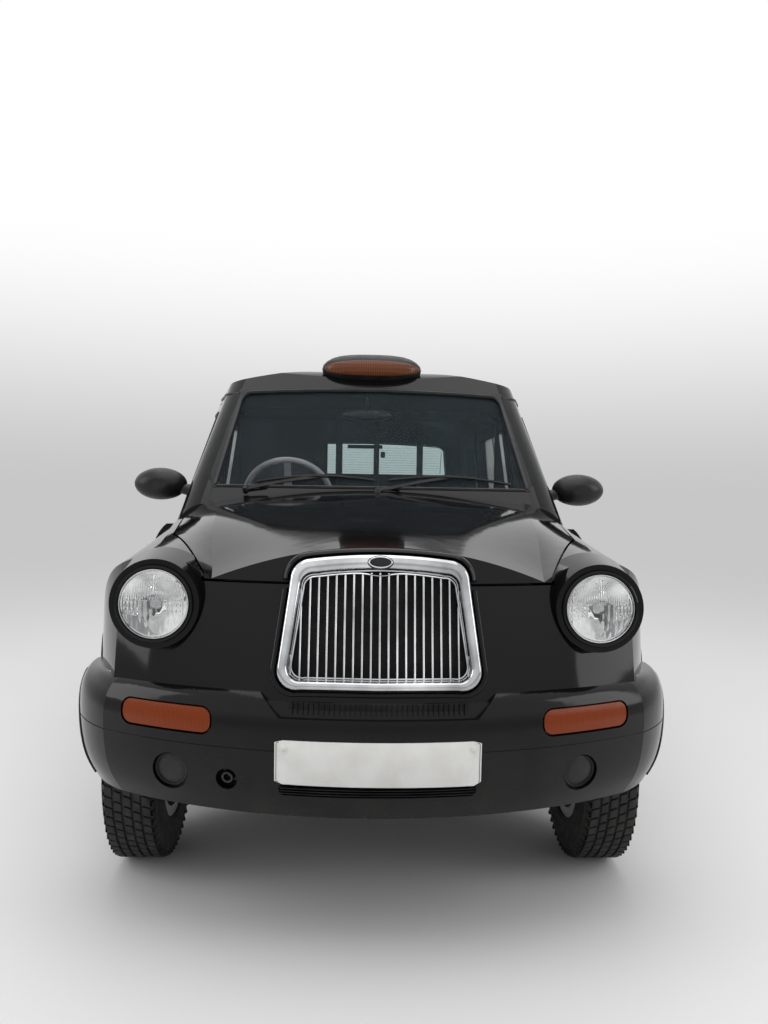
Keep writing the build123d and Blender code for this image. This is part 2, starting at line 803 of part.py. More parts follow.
def make_chassis():
    """Two rails that rise over the rear axle, with crossmembers and outriggers."""
    rail = outline(
        (-2120, 352),
        [
            (-2120, 430),
            (-1880, 430),
            (-1740, FLOOR_Z - SEAT_GAP),
            (FLOOR_RISE[0], FLOOR_Z - SEAT_GAP),
            (FLOOR_RISE[1], FLOOR_REAR_Z - SEAT_GAP),
            (1700, FLOOR_REAR_Z - SEAT_GAP),
            (1860, 430),
            (2140, 430),
            (2140, 345),
            (1840, 345),
            (1680, 440),
            (1120, 440),
            (970, 225),
            (-1700, 225),
            (-1860, 352),
        ],
    )
    shape = both_sides(along_x(rail, 270, 343))
    crosses = [
        block(-270, 270, -1580, -1420, 225, 320),
        block(-270, 270, -2110, -2030, 355, 425),
        block(-270, 270, -700, -620, 235, 315),
        block(-270, 270, 380, 460, 235, 315),
        block(-270, 270, 1870, 1930, 350, 425),
    ]
    outriggers = [block(343, 768, y, y + 60, 268, 320) for y in (-930, -30, 820)]
    arms = both_sides(Part() + outriggers)
    return Part() + [*shape.solids(), *crosses, *arms.solids()]


def make_rear_axle():
    """A beam axle turned in one, with its differential, hub stubs and spring perches."""
    end = TRACK / 2 + DISC_OUT - 2
    profile = outline(
        (-end, 0),
        [
            (-end, AXLE_STUB_R),
            (-640, AXLE_STUB_R),
            (-640, 42),
            (-120, 42),
            ((0, 128), (120, 42)),
            (640, 42),
            (640, AXLE_STUB_R),
            (end, AXLE_STUB_R),
            (end, 0),
        ],
    )
    beam = Pos(0, REAR_AXLE_Y, TYRE_R) * revolve(profile, Axis.X)
    top = 440 - SEAT_GAP
    perch = Pos(306, REAR_AXLE_Y, (TYRE_R + top) / 2) * Cylinder(34, top - TYRE_R)
    return beam + both_sides(perch)


def make_floor(hollow):
    """The floor, stepped up over the rear axle, with its wheel arches cut."""
    rise, top = FLOOR_RISE
    profile = outline(
        (SCUTTLE_Y + FRAME_WALL + SEAT_GAP, FLOOR_Z),
        [
            (rise, FLOOR_Z),
            (top, FLOOR_REAR_Z),
            (2400, FLOOR_REAR_Z),
            (2400, FLOOR_REAR_Z + FLOOR_WALL),
            (top - 10, FLOOR_REAR_Z + FLOOR_WALL),
            (rise - 10, FLOOR_Z + FLOOR_WALL),
            (SCUTTLE_Y + FRAME_WALL + SEAT_GAP, FLOOR_Z + FLOOR_WALL),
        ],
    )
    floor = along_x(profile, -804, 804) & hollow
    return floor - both_sides(disc_x(ARCH_R + LINER_WALL + SEAT_GAP, 530, 1000, REAR_AXLE_Y, TYRE_R))


def arch_liner(axle_y, wall_x, foot_z, envelope):
    """A curved liner over a left wheel with an inner wall, trimmed to the body."""
    reach = ARCH_R + LINER_WALL
    ring = disc_x(reach, wall_x, 900, axle_y, TYRE_R)
    ring -= disc_x(ARCH_R, wall_x + LINER_WALL, 1000, axle_y, TYRE_R)
    return ring & envelope & block(0, 900, -3000, 3000, foot_z, 1500)


def make_dashboard(hollow):
    """The dashboard, a moulding across the cab under the windscreen."""
    profile = outline(
        (SCUTTLE_Y + FRAME_WALL + SEAT_GAP, 800),
        [
            (SCUTTLE_Y + FRAME_WALL + SEAT_GAP, 1170),
            (-900, 1186),
            ((-760, 1180), (-640, 1136)),
            ((-606, 1110), (-612, 1070)),
            (-690, 800),
        ],
    )
    shape = along_x(profile, -900, 900) & hollow
    column = steering_tube(COLUMN_R + BEARING_CLEARANCE, 0, 420)
    return shape - column


def steering_plane():
    """The plane of the steering wheel, its normal along the column towards the driver."""
    tilt = radians(STEERING_TILT)
    return Plane(origin=STEERING_CENTRE, x_dir=(1, 0, 0), z_dir=(0, cos(tilt), sin(tilt)))


def steering_tube(radius, start, length):
    """A cylinder on the column's line, from a depth below the wheel's plane downwards."""
    return extrude(steering_plane().offset(-start) * Circle(radius), amount=-length)


def make_steering_wheel():
    """The steering wheel: rim, three spokes, boss and the shaft that turns in the dashboard."""
    plane = steering_plane()
    rim = plane * Torus(STEERING_R, 14)
    boss = steering_tube(48, -12, 40)
    shape = rim + boss + steering_tube(COLUMN_R, 20, 190)
    for angle in (0, 180, 270):
        spoke = plane * (Rot(0, 0, angle) * (Pos(STEERING_R / 2 + 6, 0, 0) * Box(STEERING_R - 10, 26, 10)))
        shape += spoke
    return shape


def seat_block(x_low, x_high, profile, radius):
    """A seat part from its side outline, with its front edges rounded."""
    shape = along_x(profile, x_low, x_high)
    return fillet(shape.edges().filter_by(Axis.X), radius)


def make_driver_seat():
    """The driver's seat: plinth, cushion, back and headrest."""
    left, right = DRIVER_X - 255, DRIVER_X + 255
    floor_top = FLOOR_Z + FLOOR_WALL + SEAT_GAP
    plinth = block(left + 50, right - 50, -430, -60, floor_top, 570)
    cushion = seat_block(left, right, outline((-520, 540), [(-520, 690), (-40, 660), (-40, 540)]), 40)
    back = seat_block(left + 10, right - 10, outline((-100, 620), [(-20, 1240), (55, 1230), (20, 600)]), 30)
    rest = seat_block(DRIVER_X - 130, DRIVER_X + 130, outline((-30, 1225), [(-12, 1400), (60, 1395), (44, 1220)]), 24)
    return plinth + cushion + back + rest


def make_rear_seat():
    """The rear bench and its back."""
    floor_top = FLOOR_REAR_Z + FLOOR_WALL + SEAT_GAP
    cushion = seat_block(-520, 520, outline((1110, floor_top), [(1110, 770), (1640, 740), (1640, floor_top)]), 18)
    back_side = outline((1600, floor_top), [(1570, 780), (1690, 1290), (1780, 1285), (1700, floor_top)])
    back = seat_block(-640, 640, back_side, 30)
    arches = both_sides(disc_x(ARCH_R + LINER_WALL + SEAT_GAP, 530, 1000, REAR_AXLE_Y, TYRE_R))
    return cushion + back - arches


def make_partition(envelope):
    """The partition behind the driver: a low panel, uprights and a head rail round its panes."""
    y_low, y_high = PARTITION_Y, PARTITION_Y + 30
    wall = block(-900, 900, y_low, y_high, FLOOR_Z + FLOOR_WALL + SEAT_GAP, 1650)
    holes = []
    for low, high in ((-660, -166), (-138, 30), (52, 254), (278, 660)):
        holes.append(block(low, high, y_low - 5, y_high + 5, 1110, 1600))
    return (wall & envelope) - (Part() + holes)


def make_partition_glass():
    """Panes in the partition."""
    panes = []
    y = PARTITION_Y + 12
    for low, high in ((-660, -166), (-138, 30), (52, 254), (278, 660)):
        panes.append(block(low + SEAT_GAP, high - SEAT_GAP, y, y + GLASS_WALL, 1110 + SEAT_GAP, 1600 - SEAT_GAP))
    return Part() + panes


def make_tip_up_seats():
    """Two rear-facing seats folded up on the partition."""
    y_low = PARTITION_Y + 30 + SEAT_GAP
    pads = []
    for centre in (-330, 330):
        pad = block(centre - 210, centre + 210, y_low, y_low + 95, 470, 900)
        pads.append(fillet(pad.edges().group_by(Axis.Y)[-1], 26))
        backrest = block(centre - 200, centre + 200, y_low, y_low + 50, 930, 1090)
        pads.append(fillet(backrest.edges().group_by(Axis.Y)[-1], 20))
    return Part() + pads


def save(name, shape):
    """Writes one piece as its own STEP file."""
    export_step(shape, f"parts/{name}.step")


def save_pair(name, shape):
    """Writes a left piece and its mirror image."""
    save(f"{name}_left", shape)
    save(f"{name}_right", other_side(shape))


def make_nose_pieces(nose, left_half):
    """Bonnet, nose panel, wings and scuttle, cut from the nose's shell."""
    nose_shell = nose - nose_body(PANEL_WALL, 150)
    nose_frame = nose - nose_body(PANEL_WALL + LIP_WALL, 150)
    bonnet_tool = along_z(bonnet_plan(), BONNET_LIP_Z, 1400)
    bonnet_hole = along_z(bonnet_plan(SHUT_GAP), BONNET_LIP_Z - SHUT_GAP, 1400)
    bonnet_hole -= nose_body(PANEL_WALL + SEAT_GAP, 150)
    bonnet_hole += along_z(bonnet_plan(-LIP_REACH), BONNET_LIP_Z + LIP_REACH, 1400)
    grille_hole = in_grille(grille_outline(SHUT_GAP), -220, 200)
    front_arch = disc_x(ARCH_R, 300, 1000, FRONT_AXLE_Y, TYRE_R)
    save("bonnet", (nose_shell & bonnet_tool) - grille_hole)

    nose_front = block(-1000, 1000, -2400, NOSE_SPLIT_Y, NOSE_FOOT_Z, 1300)
    boss_depth = NOSE_SPLIT_Y - LAMP_Y - 2
    boss = Pos(LAMP_HALF, LAMP_Y + 2 + boss_depth / 2, LAMP_Z) * Rot(90, 0, 0) * Cone(
        LAMP_R + 38, LAMP_R + 14, boss_depth
    )
    boss -= nose_body(PANEL_WALL, 150)
    lamp_hole = disc_y(LAMP_R + SEAT_GAP, -2400, -1900, LAMP_HALF, LAMP_Z)
    panel = (nose_frame & nose_front) - in_grille(grille_outline(SEAT_GAP), -220, 200)
    panel = (panel + both_sides(boss)) - bonnet_hole - both_sides(lamp_hole)
    save("nose_panel", panel)

    wing_zone = block(0, 1000, NOSE_SPLIT_Y, SCUTTLE_Y, 300, 1300)
    wing = (nose_frame & wing_zone) - bonnet_hole - front_arch
    wing -= block(-650, 650, BONNET_REAR_Y - 100, SCUTTLE_Y, 300, 1300)
    wing -= block(0, 1000, NOSE_SPLIT_Y - 1, BUMPER_END_Y + SEAT_GAP, 200, BUMPER_TOP_Z + SEAT_GAP)
    save_pair("front_wing", wing & left_half)

    scuttle_zone = block(-650, 650, BONNET_REAR_Y - 100, SCUTTLE_Y, 900, 1300)
    save("scuttle", (nose_frame & scuttle_zone) - bonnet_hole)


def door_lip_face(outer, inner, hinge_y):
    """A doorway's clear outline: the door's own less its lip, but whole where the door needs room to turn."""
    return inner + (outer & hinge_strip(hinge_y - 60, hinge_y + HINGE_ROOM))


def make_cab_pieces(cab, left_half):
    """Body sides, roof, bulkhead, tail, doors, boot lid and their glass, cut from the cab's shell."""
    reach = 950
    cab_shell = cab - cab_body(CAB_WALL, 100)
    landing = cab_body(CAB_WALL + SEAT_GAP, 100)
    screen_hole = along_y(screen_face(), -1300, -300)
    backlight_hole = along_y(backlight_face(), 1600, 2300)
    quarter_hole = both_sides(along_x(window_quarter_face(), 600, reach))
    frame = cab - cab_body(FRAME_WALL, 100) - screen_hole - backlight_hole - quarter_hole
    boot_clear = boot_face(-LIP_REACH) + (boot_face(SHUT_GAP) & Pos(0, BOOT_TOP_Z) * Rectangle(2000, 2 * HINGE_ROOM))
    frame -= along_y(boot_face(SHUT_GAP), 1900, 2400) - landing
    frame -= along_y(boot_clear, 1900, 2400)
    post_room = along_y(lower_section(CAB_WALL, 100), SCUTTLE_Y - 50, SCUTTLE_Y + FRAME_WALL)
    post_room += block(-750, 750, SCUTTLE_Y - 50, SCUTTLE_Y + FRAME_WALL, WAIST_Z - 10, WAIST_Z + 60)
    post = along_y(lower_section(CAB_WALL + SHUT_GAP, 100), SCUTTLE_Y - 50, SCUTTLE_Y + FRAME_WALL)
    for outline_of, hinge_y in ((door_front_face, DOOR_FRONT_Y), (door_rear_face, PILLAR_B_HALF)):
        outer = outline_of(SHUT_GAP)
        frame -= both_sides(along_x(outer, 600, reach) - landing - post)
        clear = door_lip_face(outer, outline_of(-LIP_REACH), hinge_y)
        frame -= both_sides(along_x(clear, 600, reach) - post)
    frame -= both_sides(disc_x(ARCH_R, 530, 1000, REAR_AXLE_Y, TYRE_R))
    frame -= both_sides(tail_lamp_zone(SEAT_GAP) - cab_body(18, 100))

    wall_front, wall_back = SCUTTLE_Y - 5, SCUTTLE_Y + FRAME_WALL
    frame -= block(-760, 760, wall_front, wall_back + 5, 100, FLOOR_Z)
    bulkhead_zone = block(-640, 640, wall_front, wall_back + 60, FLOOR_Z, SCREEN_BASE_Z + 60)
    roof_zone = block(-650, 650, -700, 1780, 1500, 1900)
    tail_zone = block(-650, 650, 1780, 2400, 100, 1700)
    save("bulkhead", frame & bulkhead_zone)
    save("roof", frame & roof_zone)
    save("tail_panel", frame & tail_zone)
    sides = frame - bulkhead_zone - roof_zone - tail_zone
    save_pair("side_frame", sides & left_half)

    glass = cab_body(GLASS_SET, 150) - cab_body(GLASS_SET + GLASS_WALL, 140)
    for name, door_face, window in (
        ("front", door_front_face(), window_front_face()),
        ("rear", door_rear_face(), window_rear_face()),
    ):
        window_hole = along_x(window, 600, reach)
        save_pair(f"door_{name}", (cab_shell & along_x(door_face, 600, reach)) - window_hole - post_room)
        save_pair(f"door_glass_{name}", glass & window_hole)
    save("boot_lid", cab_shell & along_y(boot_face(), 1900, 2400))
    save("windscreen", glass & screen_hole)
    save("rear_window", glass & backlight_hole)
    save("quarter_windows", glass & quarter_hole)

    lamp = (cab_body(-8, 100) - cab_body(18 - SEAT_GAP, 90)) & tail_lamp_zone(0)
    save("tail_lamps", both_sides(lamp))
    plate = cab_body(-SEAT_GAP - 4, 100) - cab_body(-SEAT_GAP, 90)
    rear_tool = along_y(Pos(0, REAR_PLATE_Z) * Rectangle(*PLATE), 2000, 2400)
    save("rear_plate", plate & rear_tool)


def make_front_fittings():
    """Grille, bumpers, lamps, plate, sign, mirrors and wipers."""
    save("grille", make_grille())
    nose_grown = nose_body(-SEAT_GAP, 150) & block(-1000, 1000, -2400, 0, NOSE_FOOT_Z, 1300)
    save("front_bumper", make_front_bumper(nose_grown))
    save("rear_bumper", make_rear_bumper())
    save("front_indicators", make_front_indicators())
    plate_tool = along_y(Pos(0, FRONT_PLATE_Z) * Rectangle(*PLATE), -2500, -1800)
    save("front_plate", front_skin(-SEAT_GAP - 4, -SEAT_GAP) & plate_tool)
    save("headlamps", make_headlamps())
    save("headlamp_lenses", make_headlamp_lenses())
    save("roof_sign", make_roof_sign(cab_body(-SEAT_GAP, 100)))
    save_pair("mirror", make_mirror(cab_body(-SEAT_GAP, 100)))
    blade_layer = cab_body(-14, 100) - cab_body(-4, 90)
    foot_layer = cab_body(-14, 100) - cab_body(-SEAT_GAP, 90)
    save("wipers", make_wipers(blade_layer, foot_layer))


def make_running_gear():
    """Chassis, engine, axles, knuckles, wheels and tyres."""
    for side, word in ((1, "left"), (-1, "right")):
        save(f"knuckle_{word}", make_knuckle(side))
        for axle_y, end in ((FRONT_AXLE_Y, "front"), (REAR_AXLE_Y, "rear")):
            save(f"wheel_{end}_{word}", make_wheel(side, axle_y))
            save(f"tyre_{end}_{word}", make_tyre(side, axle_y))
    save("front_suspension", make_front_suspension())
    save("chassis", make_chassis())
    save("rear_axle", make_rear_axle())
    engine = block(-230, 230, -1900, -1180, 320 + SEAT_GAP, 860)
    save("engine_block", chamfer(engine.edges().group_by(Axis.Z)[-1], 60))
    front = arch_liner(FRONT_AXLE_Y, 352, 490, nose_body(PANEL_WALL + LIP_WALL + SEAT_GAP, 150))
    rear = arch_liner(REAR_AXLE_Y, 540, 400, cab_body(FRAME_WALL + SEAT_GAP, 100))
    save("arch_liners", Part() + [*both_sides(front).solids(), *both_sides(rear).solids()])


def make_interior():
    """Floor, dashboard, steering wheel, partition and seats."""
    near = cab_body(FRAME_WALL + SEAT_GAP, 100)
    clear = cab_body(FRAME_WALL + SHUT_GAP, 100)
    save("floor_pan", make_floor(near))
    save("dashboard", make_dashboard(clear))
    save("steering_wheel", make_steering_wheel())
    save("driver_seat", make_driver_seat())
    save("rear_seat", make_rear_seat())
    save("partition", make_partition(clear))
    save("partition_glass", make_partition_glass())
    save("tip_up_seats", make_tip_up_seats())


def main():
    """Builds every piece and writes it."""
    os.makedirs("parts", exist_ok=True)
    left_half = block(0, 1200, -3000, 3000, 0, 2500)
    make_nose_pieces(nose_body(0, SILL_Z), left_half)
    make_cab_pieces(cab_body(0, SILL_Z), left_half)
    make_front_fittings()
    make_running_gear()
    make_interior()


main()
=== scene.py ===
"""Looks of a black London-style taxi cab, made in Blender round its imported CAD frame.

Each sub-assembly is a class: its sizes are dataclass fields, and its methods build its meshes and dress
them. Lengths are in metres, +X is the cab's left side, and its nose is at -Y.
"""

import logging
import math
from dataclasses import dataclass, field
from enum import Enum

import bmesh
import bpy
import numpy as np
from mathutils import Matrix, Vector
from mathutils.bvhtree import BVHTree


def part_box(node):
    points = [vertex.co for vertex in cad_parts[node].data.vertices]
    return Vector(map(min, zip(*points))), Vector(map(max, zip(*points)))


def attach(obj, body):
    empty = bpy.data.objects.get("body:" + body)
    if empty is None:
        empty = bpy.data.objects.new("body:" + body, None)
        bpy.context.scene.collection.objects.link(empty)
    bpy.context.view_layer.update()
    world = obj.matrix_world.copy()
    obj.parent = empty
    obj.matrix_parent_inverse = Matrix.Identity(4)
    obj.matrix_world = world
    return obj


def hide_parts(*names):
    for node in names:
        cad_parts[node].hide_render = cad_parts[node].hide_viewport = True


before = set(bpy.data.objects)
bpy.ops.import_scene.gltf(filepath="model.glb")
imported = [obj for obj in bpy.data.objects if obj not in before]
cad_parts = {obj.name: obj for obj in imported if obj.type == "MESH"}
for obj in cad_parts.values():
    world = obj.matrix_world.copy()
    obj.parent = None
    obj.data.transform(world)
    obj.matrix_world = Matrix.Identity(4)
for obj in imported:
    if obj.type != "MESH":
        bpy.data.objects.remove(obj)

log = logging.getLogger("cab")
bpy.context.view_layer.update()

Triple = tuple[float, float, float]
Pairs = list[tuple[float, float]]
Points = np.ndarray | list
Socket = bpy.types.NodeSocket
LEFT: Triple = (1.0, 0.0, 0.0)
REAR: Triple = (0.0, 1.0, 0.0)
AHEAD: Triple = (0.0, -1.0, 0.0)
UP: Triple = (0.0, 0.0, 1.0)
DOWN: Triple = (0.0, 0.0, -1.0)
FAR = 3.0  # well outside the cab: where lines start that look for its surface
QUARTER = math.pi / 2
FULL = 2 * math.pi
Z_TO_FRONT = Matrix.Rotation(QUARTER, 4, "X")
Z_TO_REAR = Matrix.Rotation(-QUARTER, 4, "X")
Z_TO_LEFT = Matrix.Rotation(QUARTER, 4, "Y")


class Body(Enum):
    """The moving bodies that pieces ride on."""

    CAB = "cab"
    DOOR_FL = "door_fl"
    DOOR_FR = "door_fr"
    DOOR_RL = "door_rl"
    DOOR_RR = "door_rr"
    BONNET = "bonnet"
    BOOT_LID = "boot_lid"
    STEERING_WHEEL = "steering_wheel"
    WHEEL_FL = "wheel_fl"
    WHEEL_FR = "wheel_fr"
    WHEEL_RL = "wheel_rl"
    WHEEL_RR = "wheel_rr"


class Slot(Enum):
    """Material slots of the record that new pieces take their finish from."""

    PAINT = "body_paint"
    CHROME = "chrome"
    BLACK = "black_plastic"
    GLASS = "glass"
    LAMP = "lamp"
    AMBER = "amber_lens"
    RED = "red_lens"
    PLATE = "plate"
    TYRE = "tyre"
    WHEEL = "wheel_silver"
    CLOTH = "seat_cloth"
    GREY = "grey_plastic"
    TRIM = "trim"
    SIGN = "sign"
    DASH = "dash"
    LINER = "liner"


class Graph:
    """A material's node tree, with short calls for the nodes that the finishes use."""

    def __init__(self, name: str) -> None:
        """Starts an empty material.

        Args:
            name: what the material is called.
        """
        self.material = bpy.data.materials.new(name)
        self.material.use_nodes = True
        self.tree = self.material.node_tree
        self.tree.nodes.clear()
        self.shader = self.node("ShaderNodeBsdfPrincipled")
        out = self.node("ShaderNodeOutputMaterial")
        self.link(self.shader.outputs["BSDF"], out.inputs["Surface"])
        self.place = self.node("ShaderNodeTexCoord").outputs["Object"]

    def node(self, kind: str, **settings: object) -> bpy.types.Node:
        """Adds a node of a kind with its settings.

        Args:
            kind: the node's type.
            settings: its properties.

        Returns:
            The node.
        """
        made = self.tree.nodes.new(kind)
        for key, value in settings.items():
            setattr(made, key, value)
        return made

    def link(self, start: Socket, end: Socket) -> None:
        """Joins two sockets."""
        self.tree.links.new(start, end)

    def set(self, **values: object) -> None:
        """Sets sockets of the shader to values that are the same all over; _ stands for a space."""
        for key, value in values.items():
            self.shader.inputs[key.replace("_", " ")].default_value = value

    def noise(self, scale: float, detail: float = 3.0, vector: Socket | None = None) -> Socket:
        """A noise over the piece.

        Args:
            scale: features per metre.
            detail: how many finer layers it has.
            vector: where it is read, if not at the piece's own place.

        Returns:
            The noise's value socket.
        """
        made = self.node("ShaderNodeTexNoise")
        made.inputs["Scale"].default_value = scale
        made.inputs["Detail"].default_value = detail
        self.link(vector or self.place, made.inputs["Vector"])
        return made.outputs["Fac"]

    def span(self, value: Socket, low: float, high: float, start: float = 0.3, end: float = 0.7) -> Socket:
        """Spreads a value between start and end over low to high.

        Args:
            value: what is spread.
            low: the result at start.
            high: the result at end.
            start: where the value's range starts.
            end: where it ends.

        Returns:
            The result's socket.
        """
        made = self.node("ShaderNodeMapRange")
        for key, number in (("From Min", start), ("From Max", end), ("To Min", low), ("To Max", high)):
            made.inputs[key].default_value = number
        self.link(value, made.inputs["Value"])
        return made.outputs["Result"]

    def blend(self, factor: Socket, first: Socket | Triple, second: Socket | Triple) -> Socket:
        """A colour between two.

        Args:
            factor: how far it goes towards the second.
            first: a socket or a plain colour.
            second: the same.

        Returns:
            The colour's socket.
        """
        made = self.node("ShaderNodeMix", data_type="RGBA")
        self.link(factor, made.inputs["Factor"])
        for name, colour in (("A", first), ("B", second)):
            if isinstance(colour, Socket):
                self.link(colour, made.inputs[name])
            else:
                made.inputs[name].default_value = (*colour, 1.0)
        return made.outputs["Result"]

    def bands(self, scale: float, way: str = "X", distortion: float = 0.0) -> Socket:
        """Even light and dark bands over the piece.

        Args:
            scale: how close together they lie.
            way: the axis that they follow each other along.
            distortion: how uneven they are.

        Returns:
            The bands' value socket.
        """
        made = self.node("ShaderNodeTexWave", wave_type="BANDS", bands_direction=way)
        made.inputs["Scale"].default_value = scale
        made.inputs["Distortion"].default_value = distortion
        self.link(self.place, made.inputs["Vector"])
        return made.outputs["Fac"]

    def stretch(self, x: float, y: float, z: float) -> Socket:
        """The piece's place, stretched along each axis.

        Args:
            x: factor along X.
            y: factor along Y.
            z: factor along Z.

        Returns:
            The vector's socket.
        """
        made = self.node("ShaderNodeMapping")
        made.inputs["Scale"].default_value = (x, y, z)
        self.link(self.place, made.inputs["Vector"])
        return made.outputs["Vector"]

    def height(self) -> Socket:
        """The height over the ground.

        Returns:
            Its socket, in metres.
        """
        made = self.node("ShaderNodeSeparateXYZ")
        self.link(self.place, made.inputs["Vector"])
        return made.outputs["Z"]

    def bump(self, height: Socket, depth: float, strength: float = 1.0) -> None:
        """Raises the surface by a height socket, up to depth in metres.

        Args:
            height: the socket that raises it.
            depth: how far, in metres.
            strength: how much of that shows.
        """
        made = self.node("ShaderNodeBump")
        made.inputs["Strength"].default_value = strength
        made.inputs["Distance"].default_value = depth
        self.link(height, made.inputs["Height"])
        self.link(made.outputs["Normal"], self.shader.inputs["Normal"])

    def drive(self, socket: str, value: Socket) -> None:
        """Joins a value that varies over the surface to one of the shader's sockets."""
        self.link(value, self.shader.inputs[socket])


_materials: dict[str, bpy.types.Material] = {}


class Finish:
    """A surface finish. A subclass paints its node tree, and each is made once."""

    name: str

    def paint(self, graph: Graph) -> None:
        """Fills the finish's node tree."""
        raise NotImplementedError

    def material(self) -> bpy.types.Material:
        """The finish's material, made on first use.

        Returns:
            The material.
        """
        if self.name not in _materials:
            graph = Graph(self.name)
            self.paint(graph)
            _materials[self.name] = graph.material
        return _materials[self.name]


@dataclass(frozen=True)
class CoachPaint(Finish):
    """Gloss coach paint: faint waviness, and road film that thickens towards the sills."""

    name: str
    colour: Triple
    film: Triple = (0.035, 0.031, 0.026)
    gloss: float = 0.06

    def paint(self, graph: Graph) -> None:
        """Fills the finish's node tree.

        Args:
            graph: the material's node tree.
        """
        low = graph.span(graph.height(), 0.55, 0.02, 0.28, 0.62)
        patches = graph.span(graph.noise(9.0, 6.0), 0.0, 1.0, 0.35, 0.75)
        film = graph.node("ShaderNodeMath", operation="MULTIPLY")
        graph.link(low, film.inputs[0])
        graph.link(patches, film.inputs[1])
        graph.drive("Base Color", graph.blend(film.outputs[0], self.colour, self.film))
        graph.drive("Roughness", graph.span(film.outputs[0], self.gloss, 0.42, 0.0, 0.6))
        graph.bump(graph.noise(26.0, 1.0), 0.00008)
        graph.set(Specular_IOR_Level=0.22)


@dataclass(frozen=True)
class Shell(Finish):
    """A body panel: gloss paint outside, and dark lining on what faces the cabin's middle."""

    name: str
    colour: Triple
    lining: Triple = (0.014, 0.014, 0.015)
    middle: Triple = (0.0, 0.3, 1.1)
    gloss: float = 0.06

    def paint(self, graph: Graph) -> None:
        """Fills the finish's node tree.

        Args:
            graph: the material's node tree.
        """
        inwards = graph.node("ShaderNodeVectorMath", operation="SUBTRACT")
        inwards.inputs[0].default_value = self.middle
        graph.link(graph.place, inwards.inputs[1])
        flat = graph.node("ShaderNodeVectorMath", operation="MULTIPLY")
        graph.link(inwards.outputs[0], flat.inputs[0])
        flat.inputs[1].default_value = (1.0, 0.3, 1.0)
        unit = graph.node("ShaderNodeVectorMath", operation="NORMALIZE")
        graph.link(flat.outputs[0], unit.inputs[0])
        toward = graph.node("ShaderNodeVectorMath", operation="DOT_PRODUCT")
        graph.link(unit.outputs[0], toward.inputs[0])
        graph.link(graph.node("ShaderNodeTexCoord").outputs["Normal"], toward.inputs[1])
        inside = graph.span(toward.outputs["Value"], 0.0, 1.0, 0.28, 0.34)
        cloth = graph.blend(graph.span(graph.noise(400.0, 3.0), 0.0, 1.0), self.lining,
                            tuple(1.4 * c for c in self.lining))
        graph.drive("Base Color", graph.blend(inside, self.colour, cloth))
        graph.drive("Roughness", graph.span(inside, self.gloss, 0.75, 0.0, 1.0))
        graph.bump(graph.noise(26.0, 1.0), 0.00008)
        graph.set(Specular_IOR_Level=0.22)


@dataclass(frozen=True)
class Metal(Finish):
    """Bare or plated metal with faint smudges; on the chrome the same noise is coarse and strong, and paints
    dark reflections into its colour.
    """

    name: str
    colour: Triple
    roughness: tuple[float, float] = (0.05, 0.12)
    grain: float = 60.0
    depth: float = 0.00003
    # dull: how dark the darker patches are; on the chrome these patches are painted reflections
    dull: float = 0.86

    def paint(self, graph: Graph) -> None:
        """Fills the finish's node tree.

        Args:
            graph: the material's node tree.
        """
        # On the other metals this noise gives fine smudges. On the chrome it is coarse and deep, and its
        # dark patches are painted reflections.
        smudges_and_painted_reflections = graph.noise(self.grain, 4.0)
        dull = tuple(self.dull * part for part in self.colour)
        graph.drive("Base Color", graph.blend(graph.span(smudges_and_painted_reflections, 0.0, 1.0), self.colour, dull))
        graph.drive("Roughness", graph.span(smudges_and_painted_reflections, *self.roughness))
        graph.bump(graph.noise(180.0, 2.0), self.depth)
        graph.set(Metallic=1.0)


@dataclass(frozen=True)
class Moulded(Finish):
    """Moulded plastic or rubber with a fine grain, lighter where it is worn."""

    name: str
    colour: Triple
    worn: Triple
    roughness: tuple[float, float] = (0.45, 0.65)
    grain: float = 900.0
    depth: float = 0.0001
    shine: float = 0.3

    def paint(self, graph: Graph) -> None:
        """Fills the finish's node tree.

        Args:
            graph: the material's node tree.
        """
        wear = graph.span(graph.noise(14.0, 6.0), 0.0, 1.0, 0.42, 0.72)
        graph.drive("Base Color", graph.blend(wear, self.colour, self.worn))
        graph.drive("Roughness", graph.span(graph.noise(30.0, 4.0), *self.roughness))
        graph.bump(graph.noise(self.grain, 2.0), self.depth)
        graph.set(Specular_IOR_Level=self.shine)


@dataclass(frozen=True)
class Glazing(Finish):
    """Clear or tinted glass that bends light, faintly wavy, with a haze that varies a little."""

    name: str
    colour: Triple
    haze: tuple[float, float] = (0.0, 0.004)
    ripple: float = 0.00002
    ior: float = 1.46

    def paint(self, graph: Graph) -> None:
        """Fills the finish's node tree.

        Args:
            graph: the material's node tree.
        """
        film = graph.noise(6.0, 5.0)
        clean = tuple(min(1.0, 1.03 * part) for part in self.colour)
        graph.drive("Base Color", graph.blend(graph.span(film, 0.0, 1.0), self.colour, clean))
        graph.drive("Roughness", graph.span(film, *self.haze))
        graph.bump(graph.noise(4.0, 1.0), self.ripple)
        graph.set(Transmission_Weight=1.0, IOR=self.ior)


@dataclass(frozen=True)
class Pane(Finish):
    """Thin window glass: clear, under a wiped film that lightens it a little, more so in patches."""

    name: str
    tint: Triple = (0.05, 0.071, 0.083)
    strength: float = 0.1

    def paint(self, graph: Graph) -> None:
        """Fills the finish's node tree.

        Args:
            graph: the material's node tree.
        """
        film = graph.noise(6.0, 5.0)
        filmed = tuple(1.5 * part for part in self.tint)
        graph.drive("Base Color", graph.blend(graph.span(film, 0.0, 1.0), self.tint, filmed))
        graph.drive("Roughness", graph.span(film, 0.14, 0.18))
        graph.set(Alpha=self.strength, IOR=1.45, Specular_IOR_Level=0.15)


